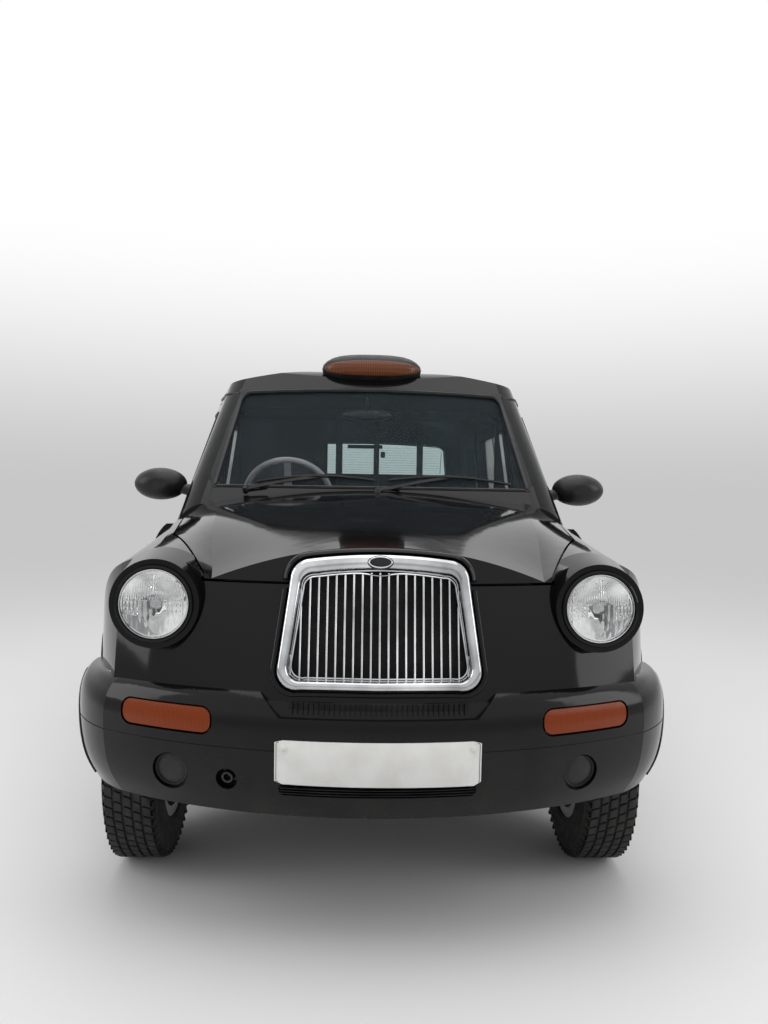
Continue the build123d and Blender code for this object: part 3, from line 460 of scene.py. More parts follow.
@dataclass(frozen=True)
class LampPlastic(Finish):
    """Coloured lamp plastic with a moulded prism pattern under a smooth face."""

    name: str
    colour: Triple
    deep: Triple
    ribs: float = 260.0

    def paint(self, graph: Graph) -> None:
        """Fills the finish's node tree.

        Args:
            graph: the material's node tree.
        """
        prisms = graph.bands(self.ribs / 3)
        graph.drive("Base Color", graph.blend(prisms, self.colour, self.deep))
        graph.drive("Roughness", graph.span(graph.noise(20.0), 0.05, 0.14))
        graph.bump(prisms, 0.0004, 0.5)
        graph.set(Specular_IOR_Level=0.25)


@dataclass(frozen=True)
class TailStack(Finish):
    """A tail lamp's stacked panes, coloured by their height: clear, red, red and amber."""

    name: str
    clear: Triple = (0.3, 0.29, 0.28)
    red: Triple = (0.2, 0.004, 0.003)
    amber: Triple = (0.3, 0.06, 0.003)
    edges: tuple[float, float] = (0.812, 0.944)

    def paint(self, graph: Graph) -> None:
        """Fills the finish's node tree.

        Args:
            graph: the material's node tree.
        """
        high = graph.height()
        colour = self.clear
        for edge, above in zip(self.edges, (self.red, self.amber)):
            colour = graph.blend(graph.span(high, 0.0, 1.0, edge - 0.001, edge + 0.001), colour, above)
        graph.drive("Base Color", colour)
        prisms = graph.bands(70.0)
        graph.drive("Roughness", graph.span(graph.noise(20.0), 0.06, 0.15))
        graph.bump(prisms, 0.0004, 0.5)
        graph.set(Specular_IOR_Level=0.25)


@dataclass(frozen=True)
class Cloth(Finish):
    """Woven seat cloth: warp and weft, flecks and a soft sheen."""

    name: str
    colour: Triple
    fleck: Triple
    threads: float = 420.0

    def paint(self, graph: Graph) -> None:
        """Fills the finish's node tree.

        Args:
            graph: the material's node tree.
        """
        threads = [graph.bands(self.threads / 3, way, 0.6) for way in ("X", "Z")]
        weave = graph.node("ShaderNodeMath", operation="MAXIMUM")
        for thread, socket in zip(threads, weave.inputs):
            graph.link(thread, socket)
        flecks = graph.span(graph.noise(330.0, 3.0), 0.0, 1.0, 0.5, 0.72)
        graph.drive("Base Color", graph.blend(flecks, self.colour, self.fleck))
        graph.drive("Roughness", graph.span(graph.noise(8.0, 3.0), 0.8, 0.95))
        graph.bump(weave.outputs[0], 0.0006, 0.7)
        graph.set(Sheen_Weight=0.08, Sheen_Roughness=0.5, Specular_IOR_Level=0.2)


@dataclass(frozen=True)
class Tread(Finish):
    """Tyre rubber: near black, dusty on the tread and dull on the wall."""

    name: str
    colour: Triple = (0.012, 0.012, 0.012)
    dust: Triple = (0.055, 0.05, 0.044)

    def paint(self, graph: Graph) -> None:
        """Fills the finish's node tree.

        Args:
            graph: the material's node tree.
        """
        dust = graph.span(graph.noise(22.0, 8.0, graph.stretch(1.0, 0.7, 0.7)), 0.0, 0.55, 0.45, 0.8)
        graph.drive("Base Color", graph.blend(dust, self.colour, self.dust))
        graph.drive("Roughness", graph.span(graph.noise(45.0, 4.0), 0.62, 0.85))
        graph.bump(graph.noise(700.0, 3.0), 0.0002)


@dataclass(frozen=True)
class Ground(Finish):
    """The plain pale floor."""

    name: str
    colour: Triple = (0.8, 0.8, 0.8)

    def paint(self, graph: Graph) -> None:
        """Fills the finish's node tree."""
        graph.drive("Base Color", graph.blend(graph.noise(1.5, 2.0), self.colour, (0.78, 0.78, 0.78)))
        graph.set(Roughness=0.9, Specular_IOR_Level=0.1)


PAINT = CoachPaint("coach_paint_black", (0.0035, 0.0035, 0.004))
SHELL = Shell("coach_paint_and_lining", (0.0035, 0.0035, 0.004))
FRIT = Moulded("glass_border_black", (0.016, 0.018, 0.018), (0.02, 0.022, 0.022), (0.05, 0.08), 300.0,
               0.00001, 0.12)
BUMPER_PAINT = CoachPaint("bumper_paint_black", (0.005, 0.005, 0.0055), gloss=0.1)
# Its coarse noise (7 per metre) and dark share (0.42) paint reflections of a darker surrounding into the
# chrome's colour.
CHROME = Metal("chrome_plate", (0.76, 0.77, 0.79), (0.03, 0.08), 7.0, 0.00001, 0.42)
SILVER = Metal("wheel_silver_lacquer", (0.52, 0.53, 0.54), (0.28, 0.4), 40.0)
BRIGHT = Metal("lamp_reflector", (0.9, 0.9, 0.9), (0.03, 0.07))
CAST = Metal("cast_iron_grey", (0.09, 0.085, 0.08), (0.55, 0.75), 90.0, 0.0003)
UNDERSEAL = Moulded("underseal_black", (0.012, 0.012, 0.012), (0.04, 0.036, 0.03), (0.6, 0.85), 300.0,
                    0.0004)
LINER_BLACK = Moulded("liner_black", (0.008, 0.008, 0.008), (0.02, 0.019, 0.018), (0.6, 0.8))
BLACK_PLASTIC = Moulded("black_plastic", (0.009, 0.009, 0.01), (0.02, 0.02, 0.021), (0.32, 0.45))
DASH_GREY = Moulded("dash_grain", (0.03, 0.03, 0.033), (0.045, 0.045, 0.048), (0.5, 0.7), 700.0, 0.0003)
WHEEL_GREY = Moulded("steering_wheel_grey", (0.3, 0.3, 0.31), (0.36, 0.36, 0.36), (0.4, 0.55))
PARTITION_GREY = Moulded("partition_grey", (0.02, 0.02, 0.021), (0.032, 0.032, 0.032), (0.5, 0.7))
FLOOR_RUBBER = Moulded("floor_rubber", (0.02, 0.02, 0.02), (0.04, 0.038, 0.035), (0.6, 0.8), 200.0, 0.0005)
WINDOW_GLASS = Pane("window_glass")
PRIVACY_GLASS = Pane("privacy_glass", (0.01, 0.014, 0.016), 0.45)
REAR_GLASS = Glazing("rear_glass", (0.755, 0.98, 0.975), ior=1.2)
LAMP_GLASS = Glazing("lamp_glass", (0.97, 0.98, 0.98), (0.0, 0.03))
AMBER = LampPlastic("amber_lens", (0.23, 0.036, 0.001), (0.13, 0.018, 0.0005))
RED = LampPlastic("red_lens", (0.22, 0.005, 0.004), (0.12, 0.002, 0.002))
TAIL = TailStack("tail_lamp_stack")
PLATE_WHITE = Moulded("plate_white", (0.72, 0.72, 0.7), (0.64, 0.63, 0.6), (0.28, 0.4), 500.0, 0.00002)
SEAT_CLOTH = Cloth("seat_cloth", (0.026, 0.027, 0.032), (0.075, 0.075, 0.092))
TYRE_RUBBER = Tread("tyre_rubber")
SIGN_LENS = LampPlastic("sign_lens", (0.155, 0.052, 0.022), (0.105, 0.034, 0.015), 90.0)
COPPER = Metal("heater_copper", (0.2, 0.1, 0.06), (0.5, 0.65))

FINISHED_NODES: dict[Finish, str] = {
    LINER_BLACK: "arch_liners",
    PAINT: "bonnet boot_lid front_wing_left front_wing_right nose_panel scuttle",
    SHELL: ("bulkhead door_front_left door_front_right door_rear_left door_rear_right roof "
            "side_frame_left side_frame_right tail_panel"),
    UNDERSEAL: "chassis",
    DASH_GREY: "dashboard",
    WINDOW_GLASS: "door_glass_front_left door_glass_front_right partition_glass windscreen",
    PRIVACY_GLASS: "door_glass_rear_left door_glass_rear_right quarter_windows",
    SEAT_CLOTH: "driver_seat rear_seat tip_up_seats",
    CAST: "engine_block front_suspension knuckle_left knuckle_right rear_axle",
    FLOOR_RUBBER: "floor_pan",
    BUMPER_PAINT: "front_bumper rear_bumper",
    AMBER: "front_indicators",
    PLATE_WHITE: "front_plate rear_plate",
    CHROME: "grille",
    LAMP_GLASS: "headlamp_lenses",
    BRIGHT: "headlamps",
    BLACK_PLASTIC: "mirror_left mirror_right roof_sign wipers",
    PARTITION_GREY: "partition",
    REAR_GLASS: "rear_window",
    WHEEL_GREY: "steering_wheel",
    TAIL: "tail_lamps",
    TYRE_RUBBER: "tyre_front_left tyre_front_right tyre_rear_left tyre_rear_right",
    SILVER: "wheel_front_left wheel_front_right wheel_rear_left wheel_rear_right",
}


def dress_nodes() -> None:
    """Gives every CAD node the finish of the real piece."""
    finishes = {name: finish for finish, names in FINISHED_NODES.items() for name in names.split()}
    for name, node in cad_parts.items():
        material = finishes[name].material()
        if not node.material_slots:
            node.data.materials.append(material)
        for slot in node.material_slots:
            slot.material = material
        log.info("node %s: %s", name, material.name)


@dataclass
class Patch:
    """A bit of surface: its points and the faces between them."""

    points: np.ndarray
    faces: list[tuple[int, ...]]

    def moved(self, x: float = 0.0, y: float = 0.0, z: float = 0.0) -> "Patch":
        """The patch shifted."""
        return Patch(self.points + np.array([x, y, z]), self.faces)

    def placed(self, matrix: Matrix) -> "Patch":
        """The patch moved by a matrix."""
        turn = np.array(matrix)
        return Patch(self.points @ turn[:3, :3].T + turn[:3, 3], self.faces)

    def scaled(self, x: float = 1.0, y: float = 1.0, z: float = 1.0) -> "Patch":
        """The patch stretched about the origin; a negative factor turns its faces over too."""
        faces = self.faces if x * y * z > 0 else [face[::-1] for face in self.faces]
        return Patch(self.points * np.array([x, y, z]), faces)

    def other_side(self) -> "Patch":
        """The mirror image on the cab's other side."""
        return self.scaled(x=-1.0)


def join(*patches: Patch) -> Patch:
    """Several patches as one.

    Args:
        patches: what is joined.

    Returns:
        The whole.
    """
    points, faces, start = [], [], 0
    for patch in patches:
        points.append(patch.points)
        faces += [tuple(index + start for index in face) for face in patch.faces]
        start += len(patch.points)
    return Patch(np.vstack(points), faces)


def arc(first: tuple, middle: tuple, last: tuple, count: int) -> Pairs:
    """Points of the circle arc through three points, from the first, with the last left out.

    Args:
        first: where it starts.
        middle: a point on its way.
        last: where it ends.
        count: how many steps it has.

    Returns:
        The points in the plane.
    """
    (ax, ay), (bx, by), (cx, cy) = first, middle, last
    cross = 2 * (ax * (by - cy) + bx * (cy - ay) + cx * (ay - by))
    squares = [x * x + y * y for x, y in (first, middle, last)]
    ox = (squares[0] * (by - cy) + squares[1] * (cy - ay) + squares[2] * (ay - by)) / cross
    oy = (squares[0] * (cx - bx) + squares[1] * (ax - cx) + squares[2] * (bx - ax)) / cross
    radius = math.hypot(ax - ox, ay - oy)
    start, via, end = (math.atan2(y - oy, x - ox) for x, y in (first, middle, last))
    turn = (end - start) % FULL
    if (via - start) % FULL > turn:
        turn -= FULL
    angles = [start + turn * step / count for step in range(count)]
    return [(ox + radius * math.cos(angle), oy + radius * math.sin(angle)) for angle in angles]


def line(first: tuple, last: tuple, count: int) -> Pairs:
    """Points of a straight line, with the last left out."""
    return [tuple(a + (b - a) * step / count for a, b in zip(first, last)) for step in range(count)]


def rounded(width: float, height: float, radius: float, steps: int = 6) -> np.ndarray:
    """A rounded rectangle's outline about the origin, anticlockwise.

    Args:
        width: across.
        height: upwards.
        radius: of its corners.
        steps: to a corner.

    Returns:
        Its points.
    """
    x, y = width / 2 - radius, height / 2 - radius
    out = []
    for (cx, cy), start in (((x, y), 0.0), ((-x, y), 0.5), ((-x, -y), 1.0), ((x, -y), 1.5)):
        for step in range(steps + 1):
            angle = math.pi * (start + 0.5 * step / steps)
            out.append((cx + radius * math.cos(angle), cy + radius * math.sin(angle)))
    return np.array(out)


def ellipse(half_wide: float, half_high: float, count: int = 48) -> np.ndarray:
    """An ellipse's outline about the origin, anticlockwise."""
    angles = np.linspace(0, FULL, count, endpoint=False)
    return np.column_stack([half_wide * np.cos(angles), half_high * np.sin(angles)])


def pebble(wide: float, deep: float, count: int = 72) -> Pairs:
    """A rounded-oblong plan outline.

    Args:
        wide: half its width.
        deep: half its depth.
        count: how many points it has.

    Returns:
        Its points.
    """
    out = []
    for angle in np.linspace(0, FULL, count, endpoint=False):
        c, s = math.cos(angle), math.sin(angle)
        out.append((wide * math.copysign(abs(c) ** 0.86, c), deep * math.copysign(abs(s) ** 0.86, s)))
    return out


def grown(outline: np.ndarray, distance: float) -> np.ndarray:
    """An anticlockwise closed outline moved outwards by a distance.

    Args:
        outline: its points.
        distance: how far; inwards if negative.

    Returns:
        The new points.
    """
    ahead = np.roll(outline, -1, axis=0) - outline
    ahead /= np.maximum(np.linalg.norm(ahead, axis=1), 1e-9)[:, None]
    back = np.roll(ahead, 1, axis=0)
    normal = np.column_stack([ahead[:, 1] + back[:, 1], -ahead[:, 0] - back[:, 0]])
    length = np.linalg.norm(normal, axis=1)
    normal /= np.maximum(length, 1e-9)[:, None]
    return outline + normal * (distance / np.clip(length / 2, 0.5, 1.0))[:, None]


def grid(rows: Points, ring: bool = False, tube: bool = False) -> Patch:
    """Faces between rows of points.

    Args:
        rows: the points, by row, place in the row, and axis.
        ring: whether the last row joins the first.
        tube: whether each row closes on itself.

    Returns:
        The patch.
    """
    rows = np.array(rows, float)
    count, across = rows.shape[:2]
    faces = []
    for row in range(count if ring else count - 1):
        after = (row + 1) % count
        for place in range(across if tube else across - 1):
            beside = (place + 1) % across
            faces.append((row * across + place, row * across + beside,
                          after * across + beside, after * across + place))
    return Patch(rows.reshape(-1, 3), faces)


def lathe(profile: Pairs, segments: int = 48) -> Patch:
    """A profile of (radius, height) turned about the Z axis.

    Args:
        profile: the radii and heights.
        segments: steps round the axis.

    Returns:
        The patch.
    """
    angles = np.linspace(0, FULL, segments, endpoint=False)
    radius, height = (np.array([point[k] for point in profile]) for k in (0, 1))
    rows = np.stack([radius[:, None] * np.cos(angles), radius[:, None] * np.sin(angles),
                     np.repeat(height[:, None], segments, axis=1)], axis=2)
    return grid(rows, tube=True)


def closed(rows: Points, base: bool = True) -> Patch:
    """A tube through loops of points, with flat ends that Piece.make turns outwards.

    Args:
        rows: the points, by loop, place in the loop, and axis.
        base: whether the first loop is closed as well as the last.

    Returns:
        The patch.
    """
    body = grid(rows, tube=True)
    total, across = len(body.points), len(rows[0])
    last = tuple(range(total - across, total))
    ends = [tuple(range(across)), last[::-1]] if base else [last]
    return Patch(body.points, [*body.faces, *ends])


def slab(loops: list[tuple[np.ndarray, float]]) -> Patch:
    """A closed solid through loops drawn in (x, z) at depths along Y."""
    return closed([[(x, depth, z) for x, z in loop] for loop, depth in loops])


def block(*levels: tuple[float, float, float, float]) -> Patch:
    """A slab through rounded rectangles, each given by its width, height, corner radius and depth."""
    return slab([(rounded(wide, high, radius), depth) for wide, high, radius, depth in levels])


def button(*levels: Triple) -> Patch:
    """A slab through ellipses, each given by its half width, half height and depth."""
    return slab([(ellipse(wide, high), depth) for wide, high, depth in levels])


def band(loops: list[tuple[np.ndarray, float]]) -> Patch:
    """A moulding that runs round loops drawn in (x, z) at depths along Y."""
    return grid([[(x, depth, z) for x, z in loop] for loop, depth in loops], ring=True, tube=True)


def plate(outline: np.ndarray, back: float, front: float, edge: float = 0.001) -> Patch:
    """A plate of an outline drawn in (x, z), from y = back to y = front, with eased edges.

    Args:
        outline: its points.
        back: the depth of its back.
        front: the depth of its face.
        edge: how far its edges are eased.

    Returns:
        The patch.
    """
    way = 1.0 if front > back else -1.0
    loops = [(grown(outline, -edge), back), (outline, back + way * edge), (outline, front - way * edge),
             (grown(outline, -0.3 * edge), front - way * 0.3 * edge), (grown(outline, -edge), front)]
    return slab(loops)


def sweep(path: Points, section: Points, up: tuple, ring: bool = False) -> Patch:
    """A section carried along a path.

    Args:
        path: the points that it follows.
        section: its outline as (sideways, upwards) offsets.
        up: the direction that upwards leans to.
        ring: whether the path closes on itself.

    Returns:
        The patch, capped at its ends unless it is a ring.
    """
    path, section = np.array(path, float), np.array(section, float)
    if ring:
        ahead = np.roll(path, -1, axis=0) - np.roll(path, 1, axis=0)
    else:
        ahead = np.gradient(path, axis=0)
    ahead /= np.linalg.norm(ahead, axis=1)[:, None]
    side = np.cross(ahead, np.array(up, float))
    side /= np.linalg.norm(side, axis=1)[:, None]
    top = np.cross(side, ahead)
    wide, tall = section[None, :, :1], section[None, :, 1:]
    rows = path[:, None, :] + side[:, None, :] * wide + top[:, None, :] * tall
    return grid(rows, ring=True, tube=True) if ring else closed(rows)


def tube(path: Points, radius: float, up: tuple, sides: int = 12, ring: bool = False) -> Patch:
    """A round bar along a path."""
    return sweep(path, ellipse(radius, radius, sides), up, ring)


def upright_rib(width: float, depth: float, height: float) -> Patch:
    """An upright rib with a rounded front, from z = 0 to its height.

    Args:
        width: across.
        depth: front to back.
        height: upwards.

    Returns:
        The patch.
    """
    half = width / 2
    section = [(half, depth / 2), (half, -depth / 4), (half * 0.6, -depth / 2), (-half * 0.6, -depth / 2),
               (-half, -depth / 4), (-half, depth / 2)]
    return grid([[(x, y, z) for x, y in section] for z in (0.0, height * 0.12, height * 0.88, height)],
                tube=True)


def facing(place: tuple | Vector, out: tuple | Vector, up: tuple = UP) -> Matrix:
    """The matrix that stands a piece drawn in (x, z), with its face to -Y, at a place, facing out.

    Args:
        place: where it stands.
        out: the way that its face looks.
        up: the way that its top leans.

    Returns:
        The matrix.
    """
    forward = -Vector(out).normalized()
    side = forward.cross(Vector(up)).normalized()
    high = side.cross(forward)
    return Matrix.Translation(place) @ Matrix((side, forward, high)).transposed().to_4x4()


class Piece:
    """One visible piece, gathered from patches with their finishes, that rides on one body."""

    def __init__(self, name: str, body: Body, slot: Slot | None = None) -> None:
        """Starts an empty piece.

        Args:
            name: its name in the scene.
            body: what it rides on.
            slot: the record's material slot that its main finish belongs to.
        """
        self.name, self.body, self.slot = name, body, slot
        self.patches: list[Patch] = []
        self.finishes: list[Finish] = []

    def add(self, patch: Patch, finish: Finish) -> "Piece":
        """Adds a patch in a finish.

        Args:
            patch: the surface.
            finish: what covers it.

        Returns:
            The piece.
        """
        self.patches.append(patch)
        self.finishes.append(finish)
        return self

    def make(self, replaces: tuple[str, ...] = (), sharp: float = 38.0,
             solid: bool = True) -> bpy.types.Object:
        """Builds the object and ties it to its body.

        Args:
            replaces: the CAD nodes that it stands for.
            sharp: the angle in degrees above which an edge stays sharp.
            solid: whether its patches are closed, so that their normals can be worked out.

        Returns:
            The object.
        """
        used = list(dict.fromkeys(self.finishes))
        mesh = bpy.data.meshes.new(self.name)
        whole = join(*self.patches)
        mesh.from_pydata(whole.points.tolist(), [], whole.faces)
        for finish in used:
            mesh.materials.append(finish.material())
        indices = []
        for patch, finish in zip(self.patches, self.finishes):
            indices += [used.index(finish)] * len(patch.faces)
        mesh.polygons.foreach_set("material_index", indices)
        work = bmesh.new()
        work.from_mesh(mesh)
        bmesh.ops.remove_doubles(work, verts=work.verts, dist=1e-6)
        bmesh.ops.dissolve_degenerate(work, edges=work.edges, dist=1e-7)
        if solid:
            bmesh.ops.recalc_face_normals(work, faces=work.faces)
        work.to_mesh(mesh)
        work.free()
        return self.settle(mesh, replaces, sharp)

    def settle(self, mesh: bpy.types.Mesh, replaces: tuple[str, ...] = (),
               sharp: float = 38.0) -> bpy.types.Object:
        """Makes the object of a finished mesh and ties it to its body.

        Args:
            mesh: the finished mesh.
            replaces: the CAD nodes that the piece stands for.
            sharp: the angle, in degrees, above which an edge stays sharp.

        Returns:
            The object.
        """
        mesh.shade_smooth()
        mesh.set_sharp_from_angle(angle=math.radians(sharp))
        made = bpy.data.objects.new(self.name, mesh)
        bpy.context.scene.collection.objects.link(made)
        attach(made, self.body.value)
        if replaces:
            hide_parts(*replaces)
        log.info("piece %s on %s: %d faces", self.name, self.body.value, len(mesh.polygons))
        return made


class Skin:
    """The surface of some CAD nodes, on which fittings are laid."""

    def __init__(self, *nodes: str) -> None:
        """Gathers the surface.

        Args:
            nodes: the CAD nodes that it is made of.
        """
        points, faces = [], []
        for name in nodes:
            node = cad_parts[name]
            start = len(points)
            points += [node.matrix_world @ vertex.co for vertex in node.data.vertices]
            faces += [tuple(start + index for index in face.vertices) for face in node.data.polygons]
        self.tree = BVHTree.FromPolygons(points, faces)

    def hit(self, origin: tuple, way: tuple) -> tuple[Vector, Vector] | None:
        """Where a line from origin first meets the surface, and its normal there, or None.

        Args:
            origin: where the line starts.
            way: its direction.

        Returns:
            The place and the normal, or None.
        """
        place, normal, _, _ = self.tree.ray_cast(Vector(origin), Vector(way))
        if place is None:
            return None
        return place, normal if normal.dot(Vector(way)) < 0 else -normal

    def trace(self, starts: list[tuple], way: tuple) -> list[Vector]:
        """Where lines from the starts first meet the surface; those that miss it are left out."""
        found = [self.hit(start, way) for start in starts]
        return [place[0] for place in found if place]

    def drape(self, patch: Patch, way: tuple, start: float = FAR) -> Patch:
        """Lays a patch on the surface, seen along a main axis.

        The patch's own coordinate along that axis becomes its height over the surface.

        Args:
            patch: the patch, drawn flat.
            way: the direction in which it is pressed on.
            start: how far before the surface the lines start.

        Returns:
            The patch on the surface. A point that meets nothing takes its neighbour's depth.
        """
        push = Vector(way)
        axis = max(range(3), key=lambda k: abs(push[k]))
        points = patch.points.copy()
        last = 0.0
        for row, point in enumerate(patch.points):
            origin = Vector(point)
            origin[axis] = 0.0
            origin -= push * start
            found = self.hit(origin, way)
            if found:
                last = found[0][axis]
            points[row, axis] = last + point[axis]
        return Patch(points, patch.faces)


@dataclass
class Spot:
    """Where a unit shape stands: its place, its Euler turn and its size."""

    place: Triple
    turn: Triple = (0.0, 0.0, 0.0)
    size: Triple = (1.0, 1.0, 1.0)


class Repeater:
    """A Geometry Nodes tree that sets a unit shape on points, sized and turned by their attributes."""

    _tree: bpy.types.NodeTree | None = None

    @classmethod
    def tree(cls) -> bpy.types.NodeTree:
        """The node tree, made on first use.

        Returns:
            The tree.
        """
        if cls._tree:
            return cls._tree
        tree = bpy.data.node_groups.new("repeat_on_points", "GeometryNodeTree")
        sockets = (("Points", "INPUT", "NodeSocketGeometry"), ("Unit", "INPUT", "NodeSocketObject"),
                   ("Finish", "INPUT", "NodeSocketMaterial"), ("Spread", "INPUT", "NodeSocketFloat"),
                   ("Seed", "INPUT", "NodeSocketInt"), ("Mesh", "OUTPUT", "NodeSocketGeometry"))
        for name, way, kind in sockets:
            tree.interface.new_socket(name=name, in_out=way, socket_type=kind)
        kinds = {"start": "NodeGroupInput", "unit": "GeometryNodeObjectInfo",
                 "set": "GeometryNodeInstanceOnPoints", "turn": "GeometryNodeInputNamedAttribute",
                 "size": "GeometryNodeInputNamedAttribute", "euler": "FunctionNodeEulerToRotation",
                 "chance": "FunctionNodeRandomValue", "low": "ShaderNodeMath", "high": "ShaderNodeMath",
                 "vary": "ShaderNodeVectorMath", "real": "GeometryNodeRealizeInstances",
                 "dress": "GeometryNodeSetMaterial", "end": "NodeGroupOutput"}
        node = {name: tree.nodes.new(kind) for name, kind in kinds.items()}
        for name in ("turn", "size"):
            node[name].data_type = "FLOAT_VECTOR"
            node[name].inputs["Name"].default_value = name
        for name, operation in (("low", "SUBTRACT"), ("high", "ADD"), ("vary", "SCALE")):
            node[name].operation = operation
        for name in ("low", "high"):
            node[name].inputs[0].default_value = 1.0
        for giver, outlet, taker, inlet in (
                ("start", "Points", "set", "Points"), ("start", "Unit", "unit", "Object"),
                ("unit", "Geometry", "set", "Instance"), ("turn", "Attribute", "euler", "Euler"),
                ("euler", "Rotation", "set", "Rotation"), ("start", "Spread", "low", 1),
                ("start", "Spread", "high", 1), ("low", 0, "chance", "Min"), ("high", 0, "chance", "Max"),
                ("start", "Seed", "chance", "Seed"), ("size", "Attribute", "vary", 0),
                ("chance", "Value", "vary", "Scale"), ("vary", "Vector", "set", "Scale"),
                ("set", "Instances", "real", "Geometry"), ("real", "Geometry", "dress", "Geometry"),
                ("start", "Finish", "dress", "Material"), ("dress", "Geometry", "end", "Mesh")):
            tree.links.new(node[giver].outputs[outlet], node[taker].inputs[inlet])
        cls._tree = tree
        return tree

    @classmethod
    def spread(cls, unit: Patch, spots: list[Spot], finish: Finish, spread: float = 0.0) -> Patch:
        """Sets a unit shape on every spot.

        Args:
            unit: the shape, drawn about the origin.
            spots: where it stands.
            finish: what the tree dresses it in.
            spread: how much the sizes vary, as a share.

        Returns:
            All the shapes as one patch.
        """
        shape = bpy.data.meshes.new("unit")
        shape.from_pydata(unit.points.tolist(), [], unit.faces)
        source = bpy.data.objects.new("unit", shape)
        mesh = bpy.data.meshes.new("spots")
        mesh.from_pydata([spot.place for spot in spots], [], [])
        for name in ("turn", "size"):
            layer = mesh.attributes.new(name, "FLOAT_VECTOR", "POINT")
            layer.data.foreach_set("vector", [value for spot in spots for value in getattr(spot, name)])
        host = bpy.data.objects.new("spots", mesh)
        for thing in (source, host):
            bpy.context.scene.collection.objects.link(thing)
        nodes = host.modifiers.new("repeat", "NODES")
        nodes.node_group = cls.tree()
        given = {"Unit": source, "Finish": finish.material(), "Spread": spread, "Seed": 7}
        for item in cls.tree().interface.items_tree:
            if item.in_out == "INPUT" and item.name in given:
                nodes[item.identifier] = given[item.name]
        graph = bpy.context.evaluated_depsgraph_get()
        made = bpy.data.meshes.new_from_object(host.evaluated_get(graph), depsgraph=graph)
        points = np.array([vertex.co[:] for vertex in made.vertices])
        faces = [tuple(face.vertices) for face in made.polygons]
        for thing in (host, source):
            bpy.data.objects.remove(thing)
        for data in (made, mesh, shape):
            bpy.data.meshes.remove(data)
        return Patch(points, faces)


